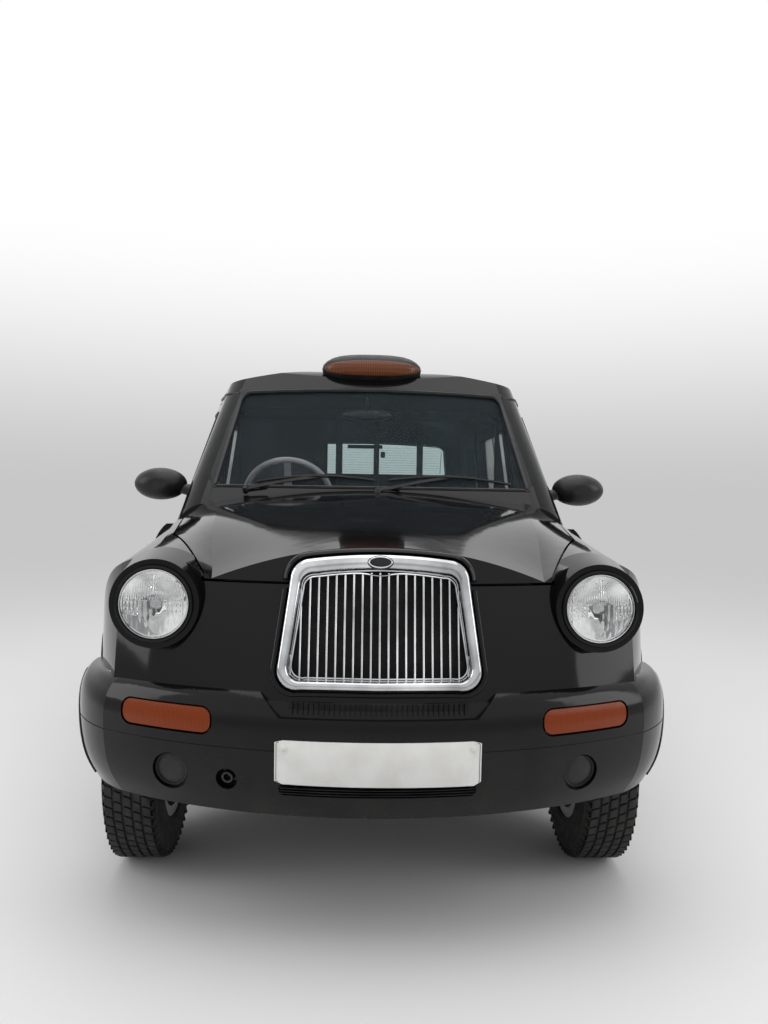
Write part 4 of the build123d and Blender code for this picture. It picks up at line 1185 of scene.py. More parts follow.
@dataclass
class Grille:
    """The chrome grille: rounded surround, upright bars, lip wire, bead row and a bare oval badge."""

    origin: Triple = (0.0, -2.247, 0.74)
    lean: float = math.radians(12.2)
    base: float = -0.043
    top: float = 0.306
    base_half: float = 0.258
    top_half: float = 0.226
    side_rim: float = 0.033
    base_rim: float = 0.029
    top_rim: float = 0.045
    bars: int = 21
    pitch: float = 0.0223
    bar_width: float = 0.0054

    def world(self, patch: Patch) -> Patch:
        """A patch drawn in (x, z) with its face to -Y, moved to the leaning plane."""
        return patch.placed(Matrix.Translation(self.origin) @ Matrix.Rotation(-self.lean, 4, "X"))

    def outline(self, side: float, base: float, top: float) -> np.ndarray:
        """The outline moved inwards by the given rims, anticlockwise in (x, z).

        Args:
            side: the rim at the sides.
            base: the rim below.
            top: the rim above.

        Returns:
            Its points.
        """
        low, high = self.base + base, self.top - top
        low_half, top_half = self.base_half - side, self.top_half - side
        round_low = 1.0 - 0.4 * min(1.0, side / 0.03)
        right = [
            *line((0.0, low), (low_half - 0.06 * round_low, low + 0.003), 14),
            *arc((low_half - 0.06 * round_low, low + 0.003),
                 (low_half - 0.014 * round_low, low + 0.017 * round_low),
                 (low_half, low + 0.062 * round_low), 8),
            *line((low_half, low + 0.062 * round_low), (top_half + 0.005, high - 0.066 * round_low), 20),
            *arc((top_half + 0.005, high - 0.066 * round_low),
                 (top_half - 0.009 * round_low, high - 0.03 * round_low),
                 (top_half - 0.046 * round_low, high - 0.012), 8),
        ]
        crown = arc((top_half - 0.046 * round_low, high - 0.012), (0.0, high),
                    (-(top_half - 0.046 * round_low), high - 0.012), 32)
        left = [(-x, z) for x, z in reversed(right[1:])]
        return np.array([*right, *crown, *left])

    def surround(self) -> Patch:
        """The surround's rounded chrome moulding.

        Returns:
            The patch.
        """
        across = [(0.0, 0.012), (0.0, -0.006), (0.03, -0.0125), (0.1, -0.0175), (0.22, -0.0208),
                  (0.38, -0.022), (0.55, -0.0216), (0.7, -0.0198), (0.8, -0.0165), (0.86, -0.0115),
                  (0.89, -0.0062), (0.93, -0.0048), (0.98, -0.0045), (1.0, -0.003), (1.0, 0.012)]
        outer = self.outline(0.0, 0.0, 0.0)
        inner = self.outline(self.side_rim, self.base_rim, self.top_rim)
        return self.world(band([(outer * (1 - share) + inner * share, depth) for share, depth in across]))

    def bar_spots(self) -> list[Spot]:
        """Where each bar starts, and its length between the surround's edges.

        Returns:
            The spots.
        """
        edge = self.outline(self.side_rim - 0.002, self.base_rim - 0.004, self.top_rim + 0.0035)
        spots = []
        for index in range(self.bars):
            x = (index - (self.bars - 1) / 2) * self.pitch
            heights = []
            for (ax, az), (bx, bz) in zip(edge, np.roll(edge, -1, axis=0)):
                if (ax - x) * (bx - x) <= 0 and ax != bx:
                    heights.append(az + (bz - az) * (x - ax) / (bx - ax))
            if len(heights) > 1:
                low, high = min(heights), max(heights)
                spots.append(Spot((x, 0.0, low), (0.0, 0.0, 0.0), (1.0, 1.0, high - low)))
        return spots

    def bar(self) -> Patch:
        """One bar, a unit long, with a rounded nose.

        Returns:
            The patch.
        """
        half = self.bar_width / 2
        nose = [(half * math.cos(a), -0.0055 - half * math.sin(a)) for a in np.linspace(0, math.pi, 9)]
        section = [(half, 0.012), *nose, (-half, 0.012)]
        return grid([[(x, y, z) for x, y in section] for z in (0.0, 0.25, 0.5, 0.75, 1.0)], tube=True)

    def wire(self) -> Patch:
        """The thin wire inside the surround, dipping under the badge.

        Returns:
            The patch.
        """
        loop = self.outline(self.side_rim + 0.0035, self.base_rim + 0.003, self.top_rim + 0.0035)
        path = [(x, -0.0085, z - (0.0075 * math.exp(-((x / 0.036) ** 2)) if z > 0.1 else 0.0))
                for x, z in loop]
        return self.world(tube(path, 0.0022, AHEAD, 8, ring=True))

    def beads(self) -> Patch:
        """The row of small beads along the bottom edge.

        Returns:
            The patch.
        """
        bead = lathe([(0.0, -0.0026), (0.0018, -0.0018), (0.0026, 0.0), (0.0018, 0.0018), (0.0, 0.0026)], 8)
        low = self.base + self.base_rim
        spots = [Spot((x, -0.0062, low - 0.0035)) for x in np.arange(-0.204, 0.2041, 0.0068)]
        return self.world(Repeater.spread(bead, spots, CHROME))

    def badge(self) -> tuple[Patch, Patch]:
        """The bare oval badge: its chrome rim and its dark enamel.

        Returns:
            Both patches.
        """
        rim = button((0.031, 0.0155, 0.0), (0.031, 0.0155, -0.0255), (0.0295, 0.014, -0.0272),
                     (0.0275, 0.012, -0.0268), (0.0265, 0.011, -0.0245))
        face = button((0.0266, 0.0111, -0.0235), (0.0266, 0.0111, -0.025), (0.018, 0.0075, -0.0256),
                      (0.006, 0.0025, -0.0258))
        centre = self.top - 0.0235
        seat = button((0.0335, 0.018, -0.015), (0.0335, 0.018, -0.0228)).moved(z=centre)
        return self.world(rim.moved(z=centre)), self.world(join(face.moved(z=centre), seat))

    def back(self) -> Patch:
        """The dark plate behind the bars."""
        return self.world(plate(self.outline(0.012, 0.012, 0.012), 0.026, 0.02, 0.0005))

    def build(self) -> None:
        """Builds the grille in two pieces."""
        rim, face = self.badge()
        frame_piece = Piece("grille_surround", Body.CAB, Slot.CHROME)
        frame_piece.add(self.surround(), CHROME).add(self.wire(), CHROME).add(self.beads(), CHROME)
        frame_piece.add(rim, CHROME).add(face, BLACK_PLASTIC).add(self.back(), LINER_BLACK)
        frame_piece.make(("grille",))
        bars = self.world(Repeater.spread(self.bar(), self.bar_spots(), CHROME))
        Piece("grille_bars", Body.CAB, Slot.CHROME).add(bars, CHROME).make(sharp=50.0)


@dataclass
class Headlamps:
    """Round headlamps: black ring, bright bezel, mirror bowl with its bulb shield, and a fluted lens."""

    centre: Triple = (0.592, -2.128, 0.899)
    lens_radius: float = 0.0885
    rise: float = 0.0165
    flute: float = 0.0062
    depth: float = 0.0013

    def turned(self, profile: Pairs, segments: int = 72) -> Patch:
        """A profile of (radius, depth behind the rim) turned about the lamp's axis."""
        spun = lathe([(radius, -depth) for radius, depth in profile], segments)
        return spun.placed(Matrix.Translation(self.centre) @ Z_TO_FRONT)

    def shells(self) -> list[tuple[Patch, Finish]]:
        """The ring, bezel, bowl, bulb and shield.

        Returns:
            Each with its finish.
        """
        ring = [(0.0925, 0.01), (0.0925, -0.0035), (0.0945, -0.0075), (0.098, -0.0085), (0.1015, -0.0068),
                (0.1038, -0.0015), (0.1038, 0.03), (0.0925, 0.03), (0.0925, 0.01)]
        bezel = [(0.088, 0.004), (0.0882, -0.0035), (0.0896, -0.0052), (0.0912, -0.005), (0.0922, -0.003),
                 (0.0922, 0.006), (0.088, 0.006), (0.088, 0.004)]
        bowl = [(0.0875, 0.004)]
        bowl += [(r, 0.0785 - r * r / 0.104) for r in np.linspace(0.0873, 0.012, 22)]
        bowl += [(0.006, 0.079), (0.012, 0.083)]
        bowl += [(r, 0.0825 - r * r / 0.106) for r in np.linspace(0.014, 0.0895, 12)]
        bowl += [(0.0875, 0.004)]
        shield = [(0.0, 0.02), (0.008, 0.0206), (0.0145, 0.0232), (0.0175, 0.029), (0.0178, 0.036),
                  (0.017, 0.036), (0.0166, 0.029), (0.0138, 0.0244), (0.0, 0.0215)]
        bulb = [(0.0, 0.03), (0.004, 0.031), (0.006, 0.035), (0.0062, 0.06), (0.0085, 0.066), (0.0085, 0.08),
                (0.0, 0.08)]
        return [(self.turned(ring), PAINT), (self.turned(bezel), CHROME), (self.turned(bowl), BRIGHT),
                (self.turned(shield, 32), SILVER), (self.turned(bulb, 20), LAMP_GLASS)]

    def pattern(self, x: float, z: float) -> float:
        """How deep the lens's inner face is moulded at a place on it.

        Args:
            x: across from the lens's middle.
            z: upwards from it.

        Returns:
            The depth.
        """
        edge = max(0.0, min(1.0, (self.lens_radius - 0.006 - math.hypot(x, z)) / 0.004))
        if z > 0.012:
            wave = math.cos(FULL * x / self.flute)
        elif abs(x) > 0.034 and z > -0.03:
            wave = 0.8 * math.cos(FULL * x / (1.7 * self.flute)) + 0.4 * math.cos(FULL * z / 0.015)
        else:
            wave = 0.25 * math.cos(FULL * x / (2.4 * self.flute))
        step = 0.9 if abs(z - 0.012) < 0.0012 and abs(x) < 0.07 else 0.0
        return edge * self.depth * (wave + step)

    def lens(self) -> Patch:
        """The domed lens, smooth in front and moulded behind.

        Returns:
            The patch.
        """
        angles = np.linspace(0, FULL, 168, endpoint=False)
        front, back = [], []
        for share in np.linspace(0.001, 1.0, 44):
            radius = share * self.lens_radius
            dome = -0.002 - self.rise * (1 - share**2)
            ring = [(radius * math.cos(a), radius * math.sin(a)) for a in angles]
            front.append([(x, dome, z) for x, z in ring])
            back.append([(x, dome + 0.0035 + self.pattern(x, z), z) for x, z in ring])
        return closed([*front, *reversed(back)]).moved(*self.centre)

    def build(self) -> None:
        """Builds both lamps; the lenses are pieces of their own."""
        body = Piece("headlamp_bowls", Body.CAB, Slot.LAMP)
        glass = Piece("headlamp_glass", Body.CAB, Slot.GLASS)
        for patch, finish in self.shells():
            body.add(patch, finish).add(patch.other_side(), finish)
        lens = self.lens()
        glass.add(lens, LAMP_GLASS).add(lens.other_side(), LAMP_GLASS)
        body.make(("headlamps",))
        glass.make(("headlamp_lenses",), sharp=70.0)


@dataclass
class FrontEnd:
    """What is fixed to the bumper and bonnet: plate, vents, blanks, towing eye and mouldings."""

    plate_size: tuple[float, float] = (0.52, 0.111)
    plate_z: float = 0.525
    vent_half: float = 0.224
    vent_z: tuple[float, float] = (0.64, 0.668)
    vents: int = 34
    blank: Triple = (0.537, 0.47, 0.047)
    bumper: Skin = field(default_factory=lambda: Skin("front_bumper"))
    way: Triple = REAR

    def dense_plate(self, outline: np.ndarray, back: float, front: float, columns: int = 26) -> Patch:
        """A plate in (x, z) cut into upright strips, so that it can bend round the bumper.

        Args:
            outline: its points, convex.
            back: the depth of its back.
            front: the depth of its face.
            columns: how many cuts it has.

        Returns:
            The patch.
        """
        lows, highs = [], []
        left, right = outline[:, 0].min(), outline[:, 0].max()
        spans = np.linspace(left + 0.0004, right - 0.0004, columns)
        for x in spans:
            heights = []
            for (ax, az), (bx, bz) in zip(outline, np.roll(outline, -1, axis=0)):
                if (ax - x) * (bx - x) <= 0 and ax != bx:
                    heights.append(az + (bz - az) * (x - ax) / (bx - ax))
            lows.append(min(heights))
            highs.append(max(heights))
        rows = []
        for x, low, high in zip(spans, lows, highs):
            e = min(0.0008, (high - low) / 4)
            rows.append([(x, back, low), (x, front + e, low), (x, front, low + e), (x, front, high - e),
                         (x, front + e, high), (x, back, high)])
        return closed(rows)

    def number_plate(self) -> None:
        """The blank front plate with its thin border and two screw caps."""
        wide, high = self.plate_size
        face = self.dense_plate(rounded(wide - 0.001, high - 0.001, 0.008), 0.0, -0.0038)
        piece = Piece("front_plate_blank", Body.CAB, Slot.PLATE)
        piece.add(self.bumper.drape(face.moved(z=self.plate_z), self.way), PLATE_WHITE)
        outer = rounded(wide - 0.009, high - 0.009, 0.005)
        inner = rounded(wide - 0.0115, high - 0.0115, 0.004)
        border = band([(outer, -0.0036), (outer, -0.0041), (inner, -0.0041), (inner, -0.0036)])
        for x in (-0.236, 0.236):
            cap = lathe([(0.0, 0.0035), (0.005, 0.003), (0.008, 0.001), (0.0085, -0.001), (0.0, -0.001)],
                        24)
            cap = cap.placed(Z_TO_FRONT).moved(x, -0.004, self.plate_z + 0.036)
            piece.add(self.bumper.drape(cap, self.way), PLATE_WHITE)
        piece.add(self.bumper.drape(border.moved(z=self.plate_z), self.way), BLACK_PLASTIC)
        piece.make(("front_plate",), sharp=50.0)

    def air_vents(self) -> None:
        """The row of small upright slots under the grille, and the slats of the lower opening."""
        low, high = self.vent_z
        rib = upright_rib(0.0032, 0.008, high - low)
        spots = []
        for index in range(self.vents):
            x = (index + 0.5) / self.vents * 2 * self.vent_half - self.vent_half
            place, _ = self.bumper.hit((x, -FAR, (low + high) / 2), self.way)
            turn = math.atan2(x, 1.3)
            spots.append(Spot((x, place.y - 0.004, low), (0.0, 0.0, turn)))
        slots = Repeater.spread(rib, spots, BLACK_PLASTIC)
        strip = []
        for x in np.linspace(-self.vent_half - 0.006, self.vent_half + 0.006, 40):
            place, _ = self.bumper.hit((x, -FAR, (low + high) / 2), self.way)
            y = place.y - 0.0008
            strip.append([(x, y, low - 0.002), (x, y - 0.0006, low), (x, y - 0.0006, high),
                          (x, y, high + 0.002)])
        piece = Piece("bumper_vents", Body.CAB, Slot.BLACK)
        piece.add(slots, BUMPER_PAINT).add(grid(strip, tube=True), LINER_BLACK)
        for z in (0.447, 0.4535, 0.46):
            path = [(x, -2.278 + x * x / 2.6, z) for x in np.linspace(-0.243, 0.243, 40)]
            section = [(-0.01, -0.0012), (0.01, -0.0006), (0.01, 0.0006), (-0.01, 0.0012)]
            piece.add(sweep(path, section, UP), BLACK_PLASTIC)
        piece.make()

    def blanks(self) -> None:
        """Round fog-lamp blanks and the towing-eye socket."""
        x, z, radius = self.blank
        disc = lathe([(0.0, 0.004), (radius * 0.55, 0.0034), (radius * 0.8, 0.0022), (radius * 0.86, 0.0005),
                      (radius * 0.92, 0.002), (radius, 0.0), (radius, -0.004), (0.0, -0.004)], 40)
        disc = disc.placed(Z_TO_FRONT)
        piece = Piece("fog_blanks", Body.CAB, Slot.BLACK)
        for side in (-1, 1):
            piece.add(self.bumper.drape(disc.moved(x=side * x, z=z), self.way), BLACK_PLASTIC)
        eye = lathe([(0.01, 0.0), (0.01, 0.012), (0.0145, 0.013), (0.016, 0.01), (0.016, -0.006),
                     (0.0, -0.006), (0.0, -0.002), (0.01, 0.0)], 28)
        eye = eye.placed(Z_TO_FRONT)
        piece.add(self.bumper.drape(eye.moved(x=-0.383, z=0.468), self.way), CAST)
        piece.make()

    def bonnet_lip(self) -> None:
        """The moulded lip of the bonnet that frames the grille's upper half."""
        grille = Grille()
        loop = grille.outline(-0.021, -0.02, -0.02)
        inner = grille.outline(-0.001, -0.001, -0.001)
        keep = [i for i, (_, z) in enumerate(loop) if z > 0.236]
        keep.sort(key=lambda i: loop[i][0])
        rows = []
        for i in keep:
            (ox, oz), (ix, iz) = loop[i], inner[i]
            section = []
            for share, depth in ((0.0, 0.04), (0.0, 0.012), (0.15, 0.0), (0.4, -0.0095), (0.7, -0.0115),
                                 (0.92, -0.006), (1.0, 0.0), (1.0, 0.04)):
                section.append((ox + (ix - ox) * share, depth, oz + (iz - oz) * share))
            rows.append(section)
        Piece("bonnet_lip", Body.BONNET, Slot.PAINT).add(grille.world(closed(rows)), PAINT).make(sharp=60.0)

    def nose_lip(self) -> None:
        """The moulded edge of the nose round the grille's lower half."""
        grille = Grille()
        outer, inner = grille.outline(-0.017, -0.015, -0.011), grille.outline(-0.001, -0.001, -0.001)
        keep = [i for i, (_, z) in enumerate(outer) if z < 0.222]
        first = next(n for n, i in enumerate(keep) if i and keep[n - 1] != i - 1)
        keep = keep[first:] + keep[:first]
        rows = []
        for i in keep:
            (ox, oz), (ix, iz) = outer[i], inner[i]
            rows.append([(ox + (ix - ox) * share, depth, oz + (iz - oz) * share) for share, depth in
                         ((0.0, 0.03), (0.0, -0.0005), (0.15, -0.0055), (0.45, -0.008), (0.75, -0.0065),
                          (1.0, 0.0), (1.0, 0.03))])
        Piece("nose_lip", Body.CAB, Slot.PAINT).add(grille.world(closed(rows)), PAINT).make(sharp=60.0)

    def build(self) -> None:
        """Builds all of it."""
        self.number_plate()
        self.air_vents()
        self.blanks()
        self.bonnet_lip()
        self.nose_lip()


@dataclass
class RoadWheels:
    """Tyres with moulded tread and side rings, and the fittings on the silver wheels."""

    radius: float = 0.34
    half: float = 0.089
    bead: float = 0.2165
    groove: float = 0.0075
    rows: tuple[tuple[float, float], ...] = ((-0.056, 0.022), (-0.028, 0.019), (0.0, 0.021), (0.028, 0.019),
                                             (0.056, 0.022))
    blocks: int = 62
    corners: tuple[tuple[str, Body, float, float], ...] = (
        ("front_left", Body.WHEEL_FL, 1.0, -1.5), ("front_right", Body.WHEEL_FR, -1.0, -1.5),
        ("rear_left", Body.WHEEL_RL, 1.0, 1.386), ("rear_right", Body.WHEEL_RR, -1.0, 1.386))

    def carcass(self) -> Patch:
        """The tyre's casing as (radius, sideways) turned about the axle, its faces drawn about Z.

        Returns:
            The patch.
        """
        base = self.radius - self.groove
        side = [(self.bead, -0.0745), (0.2175, -0.079), (0.224, -0.0822), (0.2262, -0.0846),
                (0.229, -0.0846), (0.2312, -0.0838), (0.246, -0.087), (0.262, -0.0886), (0.268, -0.0888),
                (0.2694, -0.0899), (0.274, -0.0899), (0.2752, -0.0886), (0.292, -0.0862), (0.3065, -0.0818),
                (0.3082, -0.0826), (0.3112, -0.0818), (0.3124, -0.0796), (0.322, -0.0752),
                (base - 0.0035, -0.07)]
        tread = [(base, x) for x in np.linspace(-0.066, 0.066, 9)]
        other = [(radius, -x) for radius, x in reversed(side)]
        return lathe([*side, *tread, *other, (self.bead, 0.0), side[0]], 96)

    def tread(self) -> Patch:
        """All the tread blocks, set round the casing by Geometry Nodes.

        Returns:
            The patch.
        """
        top, drop = self.groove - 0.0006, 0.0006
        long = FULL * self.radius / self.blocks * 0.8
        loops = []
        for lift, inset in ((-0.002, 0.0), (top - 0.001, 0.0), (top - drop / 2, 0.0006), (top, 0.0016)):
            half_x, half_y = 0.5 - inset / 0.021, long / 2 - inset
            loops.append([(half_x, half_y + 0.004, lift), (-half_x, half_y - 0.004, lift),
                          (-half_x, -half_y - 0.004, lift), (half_x, -half_y + 0.004, lift)])
        unit = closed(loops, base=False)
        spots = []
        for row, (x, wide) in enumerate(self.rows):
            for index in range(self.blocks):
                angle = FULL * (index + 0.5 * (row % 2)) / self.blocks
                base = self.radius - self.groove
                place = (x, base * math.cos(angle), base * math.sin(angle))
                spots.append(Spot(place, (angle - QUARTER, 0.0, 0.0), (wide, 1.0, 1.0)))
        blocks = Repeater.spread(unit, spots, TYRE_RUBBER, 0.012)
        lug = upright_rib(0.013, 0.012, 0.021)
        shoulder = []
        for side in (-1.0, 1.0):
            for index in range(self.blocks):
                angle = FULL * (index + 0.25) / self.blocks
                place = (side * 0.0735, 0.3155 * math.cos(angle), 0.3155 * math.sin(angle))
                shoulder.append(Spot(place, (angle - QUARTER, 0.0, -side * 0.3)))
        return join(blocks, Repeater.spread(lug.scaled(x=0.9), shoulder, TYRE_RUBBER))

    def fittings(self) -> list[tuple[Patch, Finish]]:
        """Centre cap, nuts, valve and trim ring, for a wheel whose outside faces +X.

        Returns:
            Each with its finish.
        """
        cap = lathe([(0.0, 0.082), (0.02, 0.081), (0.034, 0.077), (0.04, 0.07), (0.041, 0.058),
                     (0.0, 0.058)], 40)
        ring = lathe([(0.186, 0.076), (0.19, 0.079), (0.204, 0.0795), (0.212, 0.0775), (0.2155, 0.074),
                      (0.212, 0.0735), (0.19, 0.074), (0.186, 0.076)], 96)
        made = [(cap.placed(Z_TO_LEFT), SILVER), (ring.placed(Z_TO_LEFT), SILVER)]
        nut = lathe([(0.0, 0.02), (0.0055, 0.0195), (0.0095, 0.016), (0.0105, 0.0), (0.0, 0.0)], 6)
        for index in range(5):
            angle = FULL * index / 5
            place = (0.056, 0.0545 * math.cos(angle), 0.0545 * math.sin(angle))
            made.append((nut.placed(Z_TO_LEFT).moved(*place), CHROME))
        valve = tube([(0.062, 0.0, 0.176), (0.074, 0.0, 0.17), (0.084, 0.0, 0.168)], 0.0032, (0, 1, 0), 10)
        made.append((valve, BLACK_PLASTIC))
        return made

    def build(self) -> None:
        """Builds the four tyres and the fittings of the four wheels."""
        casing = self.carcass().placed(Z_TO_LEFT)
        whole = join(casing, self.tread())
        for name, body, side, y in self.corners:
            low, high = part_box(f"wheel_{name}")
            x = (low[0] + high[0]) / 2
            tyre = whole if side > 0 else whole.other_side()
            piece = Piece(f"tyre_{name}_tread", body, Slot.TYRE)
            piece.add(tyre.moved(x, y, self.radius), TYRE_RUBBER).make((f"tyre_{name}",), sharp=34.0)
            piece = Piece(f"wheel_{name}_fittings", body, Slot.WHEEL)
            for patch, finish in self.fittings():
                turned = patch if side > 0 else patch.other_side()
                piece.add(turned.moved(x, y, self.radius), finish)
            piece.make()


@dataclass
class Glasshouse:
    """What is round the glass: screen rubber, wipers, mirrors, roof sign and heater lines."""

    rubber_half: float = 0.008
    rubber_height: float = 0.0035
    mirror_x: float = 0.882
    mirror_z: float = 1.237
    mirror_half: tuple[float, float] = (0.092, 0.054)

    def seal(self, points: Pairs, skin: Skin, way: tuple) -> Patch:
        """A rubber strip on a skin along a closed outline drawn in (x, z).

        Args:
            points: the outline.
            skin: what it lies on.
            way: the direction that it is pressed on in.

        Returns:
            The patch.
        """
        path = skin.trace([(x, -FAR * way[1], z) for x, z in points], way)
        half, height = self.rubber_half, self.rubber_height
        section = [(-half, -0.004), (-half, 0.0), (-half * 0.6, height), (half * 0.6, height), (half, 0.0),
                   (half, -0.004)]
        return sweep(path, section, (0.0, -way[1], 0.0), ring=True)

    def screen_points(self, grow: float) -> Pairs:
        """The windscreen's outline moved outwards.

        Args:
            grow: how far.

        Returns:
            The outline.
        """
        top = 0.5725 + grow
        right = [*line((0.0, 1.23 - grow), (0.616 + grow, 1.23 - grow), 24),
                 *arc((0.616 + grow, 1.23 - grow), (0.624 + grow, 1.236), (0.624 + grow, 1.248), 4),
                 *line((0.624 + grow, 1.248), (top - 0.002, 1.612), 24),
                 *arc((top - 0.002, 1.612), (top - 0.018, 1.636 + grow), (top - 0.056, 1.647 + grow), 6)]
        crown = arc((top - 0.056, 1.647 + grow), (0.0, 1.66 + grow), (-(top - 0.056), 1.647 + grow), 36)
        return [*right, *crown, *[(-x, z) for x, z in reversed(right[1:])]]

    def seals(self) -> None:
        """Rubber round the windscreen and the rear window."""
        screen = Skin("windscreen", "roof", "side_frame_left", "side_frame_right", "bulkhead")
        piece = Piece("screen_rubber", Body.CAB, Slot.BLACK)
        piece.add(self.seal(self.screen_points(0.002), screen, REAR), BLACK_PLASTIC)
        piece.add(self.border(screen), FRIT)
        tail = Skin("rear_window", "roof", "tail_panel")
        right = [*line((0.0, 1.368), (0.59, 1.368), 24), *line((0.598, 1.374), (0.572, 1.545), 10),
                 *arc((0.572, 1.545), (0.552, 1.566), (0.52, 1.577), 5)]
        crown = arc((0.52, 1.577), (0.0, 1.594), (-0.52, 1.577), 30)
        outline = [*right, *crown, *[(-x, z) for x, z in reversed(right[1:])]]
        piece.add(self.seal(outline, tail, AHEAD), BLACK_PLASTIC)
        piece.make()

    def border(self, skin: Skin) -> Patch:
        """The glossy black band round the windscreen's glass, wider down both sides.

        Args:
            skin: what it lies on.

        Returns:
            The patch.
        """
        rows = []
        for share, lift in ((0.0, -0.002), (0.04, 0.0016), (0.5, 0.002), (0.96, 0.0014), (1.0, -0.002)):
            row = []
            for x, z in self.screen_points(0.006):
                wide = (0.03 + 0.016 * min(1.0, abs(x) / 0.62) ** 8) * (0.25 if z < 1.26 else 1.0)
                grow = 1.0 + wide * share / max(abs(x), 0.3) if abs(x) > 0.5 else 1.0
                high = z + (0.012 * share if z > 1.55 else 0.0)
                found = skin.hit((x * grow, -FAR, high), REAR)
                row.append(found[0] + found[1] * lift)
            rows.append(row)
        return grid(rows, tube=True)

    def heater_lines(self) -> None:
        """The fine heater wires printed on the inside of the rear window."""
        glass = Skin("rear_window")
        piece = Piece("heater_lines", Body.CAB, Slot.BLACK)
        for index in range(11):
            z = 1.388 + index * 0.0172
            half = 0.56 - 0.03 * max(0.0, (z - 1.5) / 0.09)
            path = glass.trace([(x, 0.5, z) for x in np.linspace(-half, half, 22)], REAR)
            piece.add(tube(path, 0.0007, UP, 4).moved(y=-0.0006), COPPER)
        for side in (-1, 1):
            path = glass.trace([(side * 0.552, 0.5, z) for z in np.linspace(1.384, 1.562, 9)], REAR)
            piece.add(tube(path, 0.0018, LEFT, 4).moved(y=-0.0006), COPPER)
        piece.make()

    def wiper(self, spindle: tuple, crest: tuple, start: tuple, end: tuple,
              skin: Skin) -> list[tuple[Patch, Finish]]:
        """One wiper: spindle cap, flat arm, and a bowed blade with its rubber.

        Args:
            spindle: where its arm turns.
            crest: where its arm meets the blade.
            start: the blade's first end.
            end: the blade's other end.
            skin: what it lies on.

        Returns:
            Its patches, each with its finish.
        """

        def lifted(x: float, z: float, gap: float) -> Vector:
            """The place over the skin at (x, z), by a gap."""
            place, normal = skin.hit((x, -FAR, z), REAR)
            return place + normal * gap

        arm = [lifted(spindle[0] + (crest[0] - spindle[0]) * t,
                      spindle[1] + (crest[1] - spindle[1]) * t,
                      0.007 + 0.006 * math.sin(math.pi * t)) for t in np.linspace(0, 1, 12)]
        flat = np.array([(-0.0075, -0.002), (-0.006, 0.0025), (0.006, 0.0025), (0.0075, -0.002)])
        blade, rubber = [], []
        for t in np.linspace(0, 1, 22):
            x = start[0] + (end[0] - start[0]) * t
            bow = 2 * crest[1] - (start[1] + end[1]) / 2
            z = (1 - t) ** 2 * start[1] + 2 * t * (1 - t) * bow + t * t * end[1]
            blade.append(lifted(x, z, 0.0065 + 0.004 * math.sin(math.pi * t)))
            rubber.append(lifted(x, z - 0.001, 0.0015))
        bridge = blade[6:16]
        cap = lathe([(0.0, 0.018), (0.007, 0.017), (0.011, 0.012), (0.0125, -0.004), (0.0, -0.004)], 24)
        place, normal = skin.hit((spindle[0], -FAR, spindle[1]), REAR)
        turned = normal.to_track_quat("Z", "Y").to_matrix().to_4x4()
        return [(cap.placed(Matrix.Translation(place) @ turned), BLACK_PLASTIC),
                (sweep(arm, flat, (0.0, -1.0, 0.4)), BLACK_PLASTIC),
                (sweep(blade, [(-0.003, -0.003), (-0.003, 0.003), (0.003, 0.003), (0.003, -0.003)],
                       (0.0, -1.0, 0.4)), BLACK_PLASTIC),
                (sweep(np.array(bridge) + np.array([0.0, -0.004, 0.002]), flat * 0.7, (0.0, -1.0, 0.4)),
                 BLACK_PLASTIC),
                (sweep(rubber, [(-0.0012, -0.001), (-0.0012, 0.004), (0.0012, 0.004), (0.0012, -0.001)],
                       (0.0, -1.0, 0.4)), TYRE_RUBBER)]

    def wipers(self) -> None:
        """Both wipers, parked low on the screen."""
        skin = Skin("windscreen", "roof", "bulkhead", "scuttle", "side_frame_left", "side_frame_right",
                    "bonnet")
        piece = Piece("wiper_arms", Body.CAB, Slot.BLACK)
        for spindle, crest, start, end in (
            ((-0.5, 1.214), (-0.215, 1.268), (-0.455, 1.246), (0.012, 1.256)),
            ((0.02, 1.212), (0.31, 1.272), (0.066, 1.258), (0.562, 1.248)),
        ):
            for patch, finish in self.wiper(spindle, crest, start, end, skin):
                piece.add(patch, finish)
        piece.make(("wipers",))

    def sign(self) -> None:
        """The roof sign: a black pebble-shaped housing with a bare dull orange lens in front."""
        levels = [(1.712, 0.166, 0.056), (1.722, 0.188, 0.066), (1.735, 0.206, 0.077), (1.75, 0.2195, 0.083),
                  (1.768, 0.2235, 0.085), (1.786, 0.2185, 0.082), (1.802, 0.203, 0.075),
                  (1.816, 0.18, 0.063), (1.826, 0.15, 0.05), (1.832, 0.11, 0.036), (1.8338, 0.05, 0.016)]
        rows = [[(x, y - 0.488, z) for x, y in pebble(wide, deep)] for z, wide, deep in levels]
        shell = closed(rows, base=False)
        housing = Piece("sign_housing", Body.CAB, Slot.SIGN).add(shell, BLACK_PLASTIC)
        housing.make(("roof_sign",), sharp=70.0)
        skin_rows = []
        tree = BVHTree.FromPolygons(shell.points.tolist(), shell.faces)
        for share in (1.0, 0.985, 0.96, 0.93, 0.89, 0.84, 0.77, 0.68, 0.55, 0.38, 0.2, 0.03):
            ring = []
            for x, z in pebble(0.212 * share, 0.0345 * share, 64):
                place = tree.ray_cast(Vector((x, -2.0, 1.7665 + z)), Vector(REAR))[0]
                ring.append(place + Vector((0.0, 0.0004 - 0.003 * min(1.0, (1.0 - share) * 20), 0.0)))
            skin_rows.append(ring)
        lens = Piece("sign_lens", Body.CAB, Slot.SIGN).add(closed(skin_rows, base=False), SIGN_LENS)
        lens.make(solid=False, sharp=80.0)

